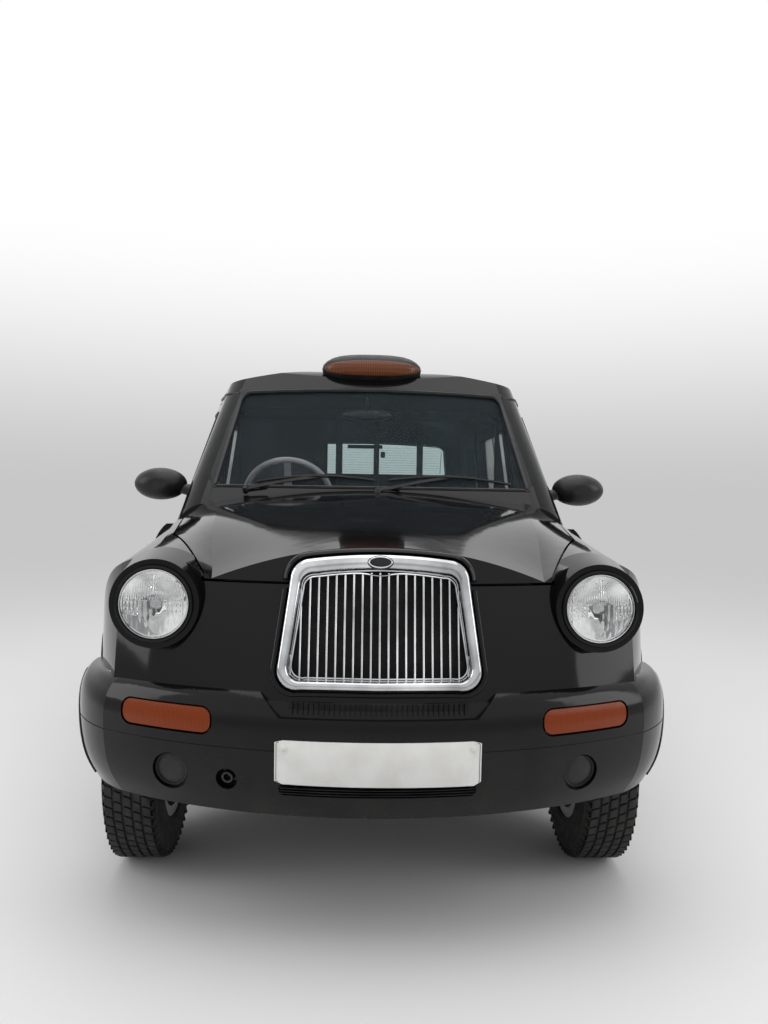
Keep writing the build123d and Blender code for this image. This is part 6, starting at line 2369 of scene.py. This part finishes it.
@dataclass
class BodySide:
    """One side: window rubbers, door handles, arch lips, gutter, repeater, flap and door trims."""

    side: float = 1.0
    trim_base: float = 0.43
    trim_top: float = 1.085

    def __post_init__(self) -> None:
        """Finds the side's nodes and skins."""
        self.word = "left" if self.side > 0 else "right"
        self.way = (-self.side, 0.0, 0.0)
        doors = [f"door_{end}_{self.word}" for end in ("front", "rear")]
        glasses = [f"door_glass_{end}_{self.word}" for end in ("front", "rear")]
        self.doors = [Skin(door, glass) for door, glass in zip(doors, glasses)]
        self.inner = [Skin(door) for door in doors]
        self.whole = Skin(f"side_frame_{self.word}", f"front_wing_{self.word}", "front_bumper",
                          "quarter_windows", *doors)
        self.bodies = (Body.DOOR_FL, Body.DOOR_RL) if self.side > 0 else (Body.DOOR_FR, Body.DOOR_RR)

    def spot(self, skin: Skin, y: float, z: float) -> tuple[Vector, Vector]:
        """Where a line from outside meets a skin at (y, z), and the normal there."""
        return skin.hit((self.side * FAR, y, z), self.way)

    def strip(self, skin: Skin, points: Points, width: float, height: float, ring: bool) -> Patch:
        """A rounded strip laid on a skin along points drawn in (y, z).

        Args:
            skin: what it lies on.
            points: its path.
            width: across.
            height: how far it stands up.
            ring: whether it closes on itself.

        Returns:
            The patch.
        """
        path = skin.trace([(self.side * FAR, y, z) for y, z in points], self.way)
        section = [(-width / 2, -0.003), (-width / 2, height * 0.5), (-width * 0.3, height),
                   (width * 0.3, height), (width / 2, height * 0.5), (width / 2, -0.003)]
        return sweep(path, section, (self.side, 0.0, 0.0), ring)

    def rubbers(self) -> None:
        """Rubber round each door's window and the fixed quarter window, and the quarterlight's bar."""
        for end, skin, body in zip(("front", "rear"), self.doors, self.bodies):
            outline = outline_of(f"door_glass_{end}_{self.word}", self.side)
            piece = Piece(f"window_rubber_{end}_{self.word}", body, Slot.BLACK)
            piece.add(self.strip(skin, grown(outline, 0.004), 0.016, 0.0025, True), TYRE_RUBBER)
            if end == "rear":
                middle = 0.5 * (outline[:, 0].min() + outline[:, 0].max())
                heights = np.linspace(outline[:, 1].min() + 0.01, outline[:, 1].max() - 0.01, 14)
                bar = [(middle + 0.03, z) for z in heights]
                piece.add(self.strip(skin, bar, 0.02, 0.003, False), BLACK_PLASTIC)
            piece.make()
        quarter = Piece(f"window_rubber_quarter_{self.word}", Body.CAB, Slot.BLACK)
        outline = outline_of("quarter_windows", self.side)
        quarter.add(self.strip(self.whole, grown(outline, 0.004), 0.016, 0.0025, True), TYRE_RUBBER)
        quarter.make()

    def pillar(self) -> None:
        """The painted cover on the pillar between the doors."""
        piece = Piece(f"pillar_cover_{self.word}", Body.CAB, Slot.PAINT)
        frame_skin = Skin(f"side_frame_{self.word}")
        path = frame_skin.trace([(self.side * FAR, 0.0, z) for z in np.linspace(0.372, 1.6045, 62)],
                                self.way)
        section = [(-0.0195, -0.003), (-0.0195, 0.0004), (-0.0175, 0.001), (0.0175, 0.001), (0.0195, 0.0004),
                   (0.0195, -0.003)]
        piece.add(sweep(path, section, (self.side, 0.0, 0.0)), PAINT).make()

    def handles(self) -> None:
        """A pull handle over a dark cup on each door, with its lock."""
        for end, skin, body, y in zip(("front", "rear"), self.doors, self.bodies, (-0.155, 0.955)):
            piece = Piece(f"door_handle_{end}_{self.word}", body, Slot.BLACK)
            turn = facing(*self.spot(skin, y, 0.985))
            cup = block((0.15, 0.062, 0.022, 0.001), (0.15, 0.062, 0.022, -0.0015),
                        (0.14, 0.052, 0.018, -0.0022), (0.132, 0.044, 0.014, -0.001))
            bar = []
            for t in np.linspace(-1, 1, 25):
                reach = 0.019 * (1 - abs(t) ** 6) + 0.0012
                half = 0.0085 - 0.0015 * t * t
                ring = [(t * 0.066, -reach + 0.0055 * math.sin(a), half * math.cos(a))
                        for a in np.linspace(0, FULL, 14, endpoint=False)]
                bar.append(ring)
            piece.add(cup.placed(turn), BLACK_PLASTIC).add(closed(bar).placed(turn), BLACK_PLASTIC)
            lock = lathe([(0.0, 0.0035), (0.0075, 0.0032), (0.0095, 0.002), (0.01, -0.001), (0.0, -0.001)],
                         28)
            piece.add(lock.placed(facing(*self.spot(skin, y, 0.935)) @ Z_TO_FRONT), CHROME)
            piece.make()

    def arches(self) -> None:
        """Rolled lips round both wheel arches."""
        piece = Piece(f"arch_lips_{self.word}", Body.CAB, Slot.PAINT)
        for axle in (-1.5, 1.386):
            turns = np.linspace(0.02 * math.pi, 0.985 * math.pi, 90)
            points = [(axle + 0.4135 * math.cos(t), 0.34 + 0.4135 * math.sin(t)) for t in turns]
            piece.add(self.strip(self.whole, points, 0.015, 0.0035, False), PAINT)
        piece.make(sharp=60.0)

    def gutter(self) -> None:
        """The rain gutter over the doors."""
        piece = Piece(f"roof_gutter_{self.word}", Body.CAB, Slot.BLACK)
        skin = Skin("roof", f"side_frame_{self.word}")
        points = [(y, 1.643 - 0.01 * max(0.0, (y - 1.2) / 0.5) ** 2)
                  for y in np.linspace(-0.56, 1.64, 90)]
        piece.add(self.strip(skin, points, 0.012, 0.005, False), BLACK_PLASTIC)
        piece.make()

    def lamp_and_flap(self) -> None:
        """The side repeater lamp, and on the left the filler flap."""
        piece = Piece(f"side_repeater_{self.word}", Body.CAB, Slot.AMBER)
        turn = facing(*self.spot(self.whole, -1.075, 0.905))
        base = button((0.036, 0.0165, 0.002), (0.036, 0.0165, -0.0015), (0.034, 0.0145, -0.003))
        lens = button((0.0335, 0.014, -0.0028), (0.031, 0.012, -0.0065), (0.022, 0.008, -0.0085),
                      (0.008, 0.003, -0.0092))
        piece.add(base.placed(turn), BLACK_PLASTIC).add(lens.placed(turn), AMBER).make(sharp=70.0)
        if self.side > 0:
            flap = Piece("filler_flap", Body.CAB, Slot.PAINT)
            shape = rounded(0.165, 0.165, 0.03)
            body = slab([(grown(shape, -0.002), 0.0), (grown(shape, -0.002), -0.0015),
                         (grown(shape, -0.0035), -0.0025), (grown(shape, -0.03), -0.003)])
            turn = facing(*self.spot(self.whole, 1.64, 0.93))
            gap = slab([(grown(shape, 0.002), 0.001), (grown(shape, 0.002), -0.0006),
                        (grown(shape, 0.0005), -0.0008)])
            flap.add(gap.placed(turn), LINER_BLACK).add(body.placed(turn), PAINT).make(sharp=60.0)

    def door_trims(self) -> None:
        """The lining inside each door, with armrest, pull, lever, winder and speaker."""
        spans = ((-0.905, -0.07), (0.11, 1.0))
        for end, skin, body, (start, stop) in zip(("front", "rear"), self.inner, self.bodies, spans):
            piece = Piece(f"door_trim_{end}_{self.word}", body, Slot.TRIM)
            inside = (self.side, 0.0, 0.0)
            rows = []
            for y in np.linspace(start, stop, 46):
                low = self.trim_base
                if end == "rear" and y >= 0.86:
                    low += 0.42 * min(1.0, (y - 0.86) / 0.14)
                ring = []
                for t in np.linspace(0, 1, 30):
                    z = low + (self.trim_top - low) * t
                    found = skin.hit((0.0, y, z), inside)
                    near = min(y - start, stop - y, z - low, self.trim_top - z)
                    thick = 0.01 * min(1.0, (max(near, 0.0) / 0.012) ** 0.5) + 0.0005
                    x = found[0].x if found else self.side * 0.83
                    panel = 0.003 if 0.6 < z < 0.9 and 0.06 < y - start < stop - start - 0.06 else 0.0
                    ring.append((x - self.side * (thick + panel), y, z))
                rows.append(ring)
            face = grid(rows)
            back = Patch(face.points + np.array([self.side * 0.012, 0.0, 0.0]),
                         [f[::-1] for f in face.faces])
            piece.add(face, PARTITION_GREY).add(back, PARTITION_GREY)
            middle = 0.5 * (start + stop)
            depth = skin.hit((0.0, middle, 0.8), inside)[0].x
            rest = []
            for y in np.linspace(middle - 0.2, middle + 0.2, 24):
                swell = max(0.0, 1 - abs((y - middle) / 0.2) ** 6) ** 0.5
                ring = [(depth - self.side * (0.008 + 0.05 * swell * max(0.0, math.cos(a))), y,
                         0.815 + 0.026 * (0.3 + 0.7 * swell) * math.sin(a))
                        for a in np.linspace(0, FULL, 18, endpoint=False)]
                rest.append(ring)
            piece.add(closed(rest), BLACK_PLASTIC)
            grip = depth - self.side * 0.013
            lever = block((0.096, 0.03, 0.01, 0.0), (0.096, 0.03, 0.01, -0.01), (0.08, 0.016, 0.006, -0.014))
            inwards = facing((grip, middle + 0.16, 0.93), (-self.side, 0.0, 0.0))
            piece.add(lever.placed(inwards), CHROME)
            if end == "front":
                knob = lathe([(0.0, 0.028), (0.008, 0.027), (0.011, 0.02), (0.009, 0.0), (0.0, 0.0)], 20)
                hub = lathe([(0.0, 0.014), (0.018, 0.012), (0.024, 0.004), (0.024, -0.002), (0.0, -0.002)],
                            32)
                crank = facing((grip, middle - 0.18, 0.7), (-self.side, 0.0, 0.0)) @ Z_TO_FRONT
                piece.add(hub.placed(crank), BLACK_PLASTIC)
                piece.add(knob.moved(x=0.085, z=0.004).placed(crank), BLACK_PLASTIC)
                arm_rows = sweep([(0.01, 0.0, 0.01), (0.05, 0.0, 0.013), (0.088, 0.0, 0.009)],
                                 rounded(0.014, 0.006, 0.002, 3), UP)
                piece.add(arm_rows.placed(crank), BLACK_PLASTIC)
            ring = lathe([(0.06, 0.0), (0.074, 0.0), (0.074, 0.004), (0.068, 0.007), (0.06, 0.004),
                          (0.06, 0.0)], 48)
            speaker = facing((grip + self.side * 0.002, start + 0.16, 0.54), (-self.side, 0.0, 0.0))
            piece.add(ring.placed(speaker @ Z_TO_FRONT), BLACK_PLASTIC)
            mesh = upright_rib(0.0024, 0.004, 1.0)
            spots = []
            for x in np.linspace(-0.055, 0.055, 19):
                high = math.sqrt(max(0.0, 0.06**2 - x * x))
                spots.append(Spot((x, -0.002, -high), (0.0, 0.0, 0.0), (1.0, 1.0, 2 * high)))
            piece.add(Repeater.spread(mesh, spots, BLACK_PLASTIC).placed(speaker), BLACK_PLASTIC)
            piece.make(sharp=45.0)

    def build(self) -> None:
        """Builds the side."""
        self.rubbers()
        self.pillar()
        self.handles()
        self.arches()
        self.gutter()
        self.lamp_and_flap()
        self.door_trims()


@dataclass
class RearEnd:
    """Fittings of the tail: plate, lamp bar, boot handle, lamp dividers, reflectors and tread strip."""

    plate_z: float = 0.845
    dividers: Triple = (0.812, 0.878, 0.944)
    way: Triple = AHEAD

    def number_plate(self) -> None:
        """The blank rear plate with its border, and the lamp bar and handle over it."""
        lid = Skin("boot_lid")
        piece = Piece("rear_plate_blank", Body.BOOT_LID, Slot.PLATE)
        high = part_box("rear_plate")[1]
        face = plate(rounded(0.519, 0.11, 0.008), high[1] - 0.006, high[1] - 0.0008, 0.0008)
        piece.add(face.moved(z=self.plate_z), PLATE_WHITE)
        outer, inner = rounded(0.511, 0.102, 0.005), rounded(0.5085, 0.0995, 0.004)
        border = band([(outer, -0.0012), (outer, -0.0002), (inner, -0.0002), (inner, -0.0012)])
        piece.add(border.moved(y=high[1], z=self.plate_z), BLACK_PLASTIC)
        piece.make(("rear_plate",), sharp=50.0)
        bar = Piece("boot_lamp_bar", Body.BOOT_LID, Slot.BLACK)
        spot = lid.hit((0.0, FAR, 0.945), self.way)[0]
        shell = []
        for t in np.linspace(-1, 1, 33):
            swell = max(0.0, 1 - abs(t) ** 10) ** 0.5
            ring = [(t * 0.285, spot.y - 0.004 + (0.004 + 0.02 * swell) * max(0.0, math.sin(a)) - 0.002,
                     0.945 + (0.006 + 0.016 * swell) * math.cos(a))
                     for a in np.linspace(0, FULL, 20, endpoint=False)]
            shell.append(ring)
        bar.add(closed(shell), PAINT)
        for x in (-0.12, 0.12):
            lamp = block((0.062, 0.012, 0.004, 0.01), (0.06, 0.01, 0.003, 0.018))
            bar.add(lamp.moved(x, spot.y - 0.004, 0.9265), LAMP_GLASS)
        lock = lathe([(0.0, 0.004), (0.01, 0.0035), (0.013, 0.002), (0.0135, -0.002), (0.0, -0.002)], 32)
        under = lid.hit((0.0, FAR, 0.75), self.way)[0]
        bar.add(lock.placed(Z_TO_REAR).moved(*under), CHROME)
        grip = block((0.13, 0.026, 0.01, -0.001), (0.13, 0.026, 0.01, 0.004), (0.112, 0.012, 0.004, 0.002))
        bar.add(grip.moved(0.0, under.y, 0.728), BLACK_PLASTIC)
        bar.make(sharp=50.0)

    def lamps(self) -> None:
        """Dividers of the tail lamps' panes, bumper reflectors and the brake lamp in the rear window."""
        piece = Piece("tail_lamp_dividers", Body.CAB, Slot.BLACK)
        skin = Skin("tail_lamps", "tail_panel", "side_frame_left", "side_frame_right")
        for side in (-1, 1):
            for z in self.dividers:
                path = skin.trace([(side * x, FAR, z) for x in np.linspace(0.7, 0.846, 16)], self.way)
                section = [(-0.002, -0.002), (-0.0014, 0.0012), (0.0014, 0.0012), (0.002, -0.002)]
                piece.add(sweep(path, section, REAR), BLACK_PLASTIC)
        piece.make()
        bumper = Skin("rear_bumper")
        fit = Piece("rear_bumper_fittings", Body.CAB, Slot.RED)
        for side in (-1, 1):
            shape = block((0.15, 0.034, 0.012, 0.002), (0.15, 0.034, 0.012, -0.003),
                          (0.14, 0.024, 0.008, -0.005))
            fit.add(shape.placed(facing(*bumper.hit((side * 0.56, FAR, 0.53), self.way))), RED)
        rib = upright_rib(0.004, 0.005, 1.0)
        spots = []
        for k in range(5):
            for x in np.linspace(-0.56, 0.56, 29):
                found = bumper.hit((x, 2.15 + 0.012 * k, 2.0), DOWN)
                if found:
                    spots.append(Spot((x - 0.0185, found[0].y, found[0].z + 0.0005), (0.0, QUARTER, 0.0),
                                      (1.0, 1.0, 0.037)))
        fit.add(Repeater.spread(rib, spots, TYRE_RUBBER), TYRE_RUBBER)
        seam = bumper.trace([(x, FAR, 0.6) for x in np.linspace(-0.8, 0.8, 90)], self.way)
        section = [(-0.009, -0.002), (-0.007, 0.0003), (0.007, 0.0003), (0.009, -0.002)]
        fit.add(sweep(seam, section, REAR), BLACK_PLASTIC)
        fit.make()
        brake = Piece("high_brake_lamp", Body.CAB, Slot.RED)
        glass = Skin("rear_window")
        spot = glass.hit((0.0, 0.5, 1.565), REAR)[0]
        case = block((0.25, 0.026, 0.006, -0.028), (0.25, 0.026, 0.006, -0.01))
        lens = block((0.244, 0.02, 0.004, -0.0102), (0.24, 0.016, 0.003, -0.008))
        brake.add(case.moved(*spot), BLACK_PLASTIC).add(lens.moved(*spot), RED)
        brake.make()

    def build(self) -> None:
        """Builds all of it."""
        self.number_plate()
        self.lamps()


@dataclass
class Underside:
    """Exhaust, drive shaft, springs, dampers, tank, and what the open bonnet shows of the engine."""

    pipe: float = 0.0235
    hose: float = 0.022
    damper: float = 0.022
    radiator_z: float = 0.68

    def coil(self, foot: Triple, height: float, radius: float, turns: float, wire: float) -> Patch:
        """A coil spring that stands on its foot.

        Args:
            foot: where it stands.
            height: upwards.
            radius: of the turns.
            turns: how many.
            wire: the wire's radius.

        Returns:
            The patch.
        """
        steps = int(turns * 22)
        path = []
        for step in range(steps + 1):
            angle = FULL * turns * step / steps
            path.append((foot[0] + radius * math.cos(angle), foot[1] + radius * math.sin(angle),
                         foot[2] + height * step / steps))
        return tube(path, wire, UP, 8)

    def running_gear(self) -> None:
        """Exhaust, drive shaft, tank, rear springs and rear dampers."""
        piece = Piece("running_gear", Body.CAB, Slot.TRIM)
        bent = [(0.17, -1.15, 0.3), (0.18, -0.9, 0.262), (0.2, -0.5, 0.258), (0.205, 0.1, 0.258),
                (0.205, 0.7, 0.262), (0.2, 1.02, 0.3), (0.19, 1.16, 0.48), (0.185, 1.38, 0.505),
                (0.2, 1.6, 0.47), (0.22, 1.8, 0.33), (0.24, 2.05, 0.325), (0.25, 2.2, 0.322)]
        smooth = []
        for k in range(len(bent) - 1):
            p0, p1, p2, p3 = (np.array(bent[max(0, min(len(bent) - 1, k + d))]) for d in (-1, 0, 1, 2))
            for t in np.linspace(0, 1, 8, endpoint=False):
                bend, twist = 2 * p0 - 5 * p1 + 4 * p2 - p3, 3 * p1 - p0 - 3 * p2 + p3
                smooth.append(0.5 * (2 * p1 + (p2 - p0) * t + bend * t * t + twist * t**3))
        piece.add(tube([*smooth, np.array(bent[-1])], self.pipe, LEFT, 20), CAST)
        box = []
        for y, wide, high in ((-0.02, 0.02, 0.02), (-0.012, 0.07, 0.036), (0.0, 0.085, 0.045),
                              (0.42, 0.085, 0.045), (0.432, 0.07, 0.036), (0.44, 0.02, 0.02)):
            box.append([(0.16 + x, 0.02 + y, 0.262 + z) for x, z in pebble(wide, high, 40)])
        piece.add(closed(box), CAST)
        shaft = lathe([(0.0, -1.12), (0.03, -1.12), (0.03, -1.04), (0.036, -1.02), (0.036, 1.12),
                       (0.03, 1.14), (0.03, 1.22), (0.0, 1.22)], 28)
        tilt = Matrix.Translation((0.0, 0.0, 0.29)) @ Matrix.Rotation(math.radians(-91.6), 4, "X")
        piece.add(shaft.placed(tilt), CAST)
        for side in (-1, 1):
            piece.add(self.coil((side * 0.455, 1.386, 0.385), 0.13, 0.052, 4.5, 0.0065), UNDERSEAL)
            damper = [(side * 0.5, 1.49, 0.3), (side * 0.47, 1.56, 0.5)]
            piece.add(tube(damper, self.damper, REAR, 18), UNDERSEAL)
        piece.make()

    def engine_dressing(self) -> None:
        """Rocker cover, air box, battery, hoses and the radiator with its fins and side tanks."""
        piece = Piece("engine_dressing", Body.CAB, Slot.TRIM)
        cover = block((0.23, 0.56, 0.03, 0.0), (0.23, 0.56, 0.03, 0.02), (0.2, 0.53, 0.024, 0.032))
        piece.add(cover.placed(Z_TO_FRONT).moved(-0.03, -1.52, 0.8605), CAST)
        rib = upright_rib(0.012, 0.008, 0.2)
        spots = [Spot((-0.13, -1.52 + dy, 0.8925), (0.0, QUARTER, 0.0))
                 for dy in np.linspace(-0.22, 0.22, 9)]
        piece.add(Repeater.spread(rib, spots, CAST), CAST)
        cap = lathe([(0.0, 0.026), (0.022, 0.025), (0.027, 0.02), (0.027, 0.0), (0.0, 0.0)], 28)
        piece.add(cap.moved(-0.03, -1.72, 0.892), BLACK_PLASTIC)
        for x, y, wide, deep, low, high in ((0.3, -1.42, 0.09, 0.3, 0.62, 0.84),
                                            (-0.3, -1.3, 0.09, 0.22, 0.6, 0.8)):
            rows = []
            for z, inset in ((low, 0.006), (low + 0.006, 0.0), (high - 0.05, 0.0), (high - 0.048, -0.003),
                             (high - 0.04, -0.003), (high - 0.038, 0.0), (high - 0.005, 0.0), (high, 0.006)):
                loop = rounded(wide - 2 * inset, deep - 2 * inset, 0.014)
                rows.append([(x + px, y + py, z) for px, py in loop])
            piece.add(closed(rows), BLACK_PLASTIC)
        hose = [(0.16, -1.74, 0.8), (0.18, -1.84, 0.84), (0.16, -1.94, 0.86), (0.13, -1.995, 0.85)]
        piece.add(tube(hose, self.hose, LEFT, 18), TYRE_RUBBER)
        low_hose = [(-0.16, -1.8, 0.52), (-0.2, -1.9, 0.5), (-0.2, -1.995, 0.5)]
        piece.add(tube(low_hose, self.hose, LEFT, 18), TYRE_RUBBER)
        core = plate(rounded(0.64, 0.38, 0.004), -1.998, -2.036, 0.002)
        piece.add(core.moved(z=self.radiator_z), UNDERSEAL)
        fin = upright_rib(0.0012, 0.042, 0.37)
        spots = [Spot((x, -2.017, 0.495)) for x in np.arange(-0.306, 0.3061, 0.0085)]
        piece.add(Repeater.spread(fin, spots, CAST), CAST)
        for x in (-0.335, 0.335):
            tank = plate(rounded(0.036, 0.392, 0.012), -1.99, -2.044, 0.003)
            piece.add(tank.moved(x=x, z=self.radiator_z), BLACK_PLASTIC)
        piece.make(sharp=45.0)

    def build(self) -> None:
        """Builds all of it."""
        self.running_gear()
        self.engine_dressing()


@dataclass
class Studio:
    """Floor, lights, world and the camera at the photograph's viewing angle."""

    eye: Triple = (-0.069, -4.4325, 1.1774)
    yaw: float = math.radians(1.948)
    pitch: float = math.radians(-0.707)
    roll: float = math.radians(0.881)
    focal_pixels: float = 871.5
    long_side_pixels: float = 1024.0
    sensor: float = 36.0
    floor_size: float = 60.0
    ambient: float = 0.7
    horizon: Triple = (0.57, 0.57, 0.57)
    whitens: float = 0.3

    def camera(self) -> None:
        """Places the camera as the photograph's was."""
        data = bpy.data.cameras.new("photo_camera")
        data.sensor_width = self.sensor
        data.lens = self.focal_pixels / self.long_side_pixels * self.sensor
        data.clip_start, data.clip_end = 0.05, 200.0
        camera = bpy.data.objects.new("photo_camera", data)
        bpy.context.scene.collection.objects.link(camera)
        forward = Vector((math.sin(self.yaw) * math.cos(self.pitch),
                          math.cos(self.yaw) * math.cos(self.pitch), math.sin(self.pitch)))
        level = Vector((math.cos(self.yaw), -math.sin(self.yaw), 0.0))
        over = level.cross(forward)
        right = level * math.cos(self.roll) + over * math.sin(self.roll)
        up = right.cross(forward)
        turn = Matrix((right, up, -forward)).transposed().to_4x4()
        camera.matrix_world = Matrix.Translation(self.eye) @ turn
        bpy.context.scene.camera = camera

    def floor(self) -> None:
        """A plain pale floor that the cab stands on."""
        half = self.floor_size / 2
        mesh = bpy.data.meshes.new("floor")
        corners = [(-half, -half, 0), (half, -half, 0), (half, half, 0), (-half, half, 0)]
        mesh.from_pydata(corners, [], [(0, 1, 2, 3)])
        floor = bpy.data.objects.new("floor", mesh)
        bpy.context.scene.collection.objects.link(floor)
        mesh.materials.append(Ground("floor_pale").material())

    def lamp(self, name: str, place: tuple, target: tuple, size: tuple, power: float) -> None:
        """A soft area lamp that points at a target.

        Args:
            name: its name.
            place: where it hangs.
            target: what it points at.
            size: its width and height.
            power: in watts.
        """
        data = bpy.data.lights.new(name, "AREA")
        data.shape, data.size, data.size_y, data.energy = "RECTANGLE", size[0], size[1], power
        lamp = bpy.data.objects.new(name, data)
        bpy.context.scene.collection.objects.link(lamp)
        aim = (Vector(target) - Vector(place)).to_track_quat("-Z", "Y")
        lamp.matrix_world = Matrix.Translation(place) @ aim.to_matrix().to_4x4()

    def world(self) -> None:
        """A pale backdrop, whiter above, for camera, gloss and glass, and a softer light on the cab."""
        world = bpy.data.worlds.new("studio")
        bpy.context.scene.world = world
        world.use_nodes = True
        tree = world.node_tree
        tree.nodes.clear()
        kinds = {"path": "LightPath", "gloss": "Math", "seen": "Math", "light": "Background",
                 "white": "Background", "place": "TexCoord", "parts": "SeparateXYZ", "rise": "MapRange",
                 "shade": "Mix", "mix": "MixShader", "out": "OutputWorld"}
        node = {name: tree.nodes.new(f"ShaderNode{kind}") for name, kind in kinds.items()}
        node["gloss"].operation = node["seen"].operation = "MAXIMUM"
        node["rise"].interpolation_type = "SMOOTHSTEP"
        node["shade"].data_type = "RGBA"
        pure = (1.0, 1.0, 1.0, 1.0)
        for name, inlet, value in (
                ("light", "Color", pure), ("light", "Strength", self.ambient), ("white", "Strength", 1.0),
                ("rise", "From Min", 0.0), ("rise", "From Max", self.whitens), ("shade", "B", pure),
                ("shade", "A", (*self.horizon, 1.0))):
            node[name].inputs[inlet].default_value = value
        for giver, outlet, taker, inlet in (
                ("path", "Is Camera Ray", "gloss", 0), ("path", "Is Glossy Ray", "gloss", 1),
                ("gloss", 0, "seen", 0), ("path", "Is Transmission Ray", "seen", 1),
                ("place", "Generated", "parts", "Vector"), ("parts", "Z", "rise", "Value"),
                ("rise", "Result", "shade", "Factor"), ("shade", "Result", "white", "Color"),
                ("seen", 0, "mix", 0), ("light", 0, "mix", 1), ("white", 0, "mix", 2),
                ("mix", 0, "out", "Surface")):
            tree.links.new(node[giver].outputs[outlet], node[taker].inputs[inlet])

    def build(self) -> None:
        """Sets up the whole studio."""
        bpy.context.scene.view_settings.view_transform = "Standard"
        self.camera()
        self.floor()
        self.world()
        self.lamp("overhead", (0.0, -1.0, 5.2), (0.0, -0.4, 0.0), (4.5, 7.0), 125.0)
        self.lamp("side_left", (5.0, -3.2, 2.6), (0.0, -0.8, 0.8), (2.2, 3.4), 60.0)
        self.lamp("side_right", (-5.0, -2.6, 2.8), (0.0, -0.8, 0.8), (2.2, 3.4), 60.0)


def main() -> None:
    """Builds the cab's looks."""
    logging.basicConfig(level=logging.INFO, format="%(name)s: %(message)s")
    dress_nodes()
    for assembly in (Grille(), Headlamps(), FrontEnd(), RoadWheels(), Glasshouse(), Seats(), Controls(),
                     Partition(), BodySide(1.0), BodySide(-1.0), RearEnd(), Underside(), Studio()):
        assembly.build()


if __name__ == "__main__":
    main()
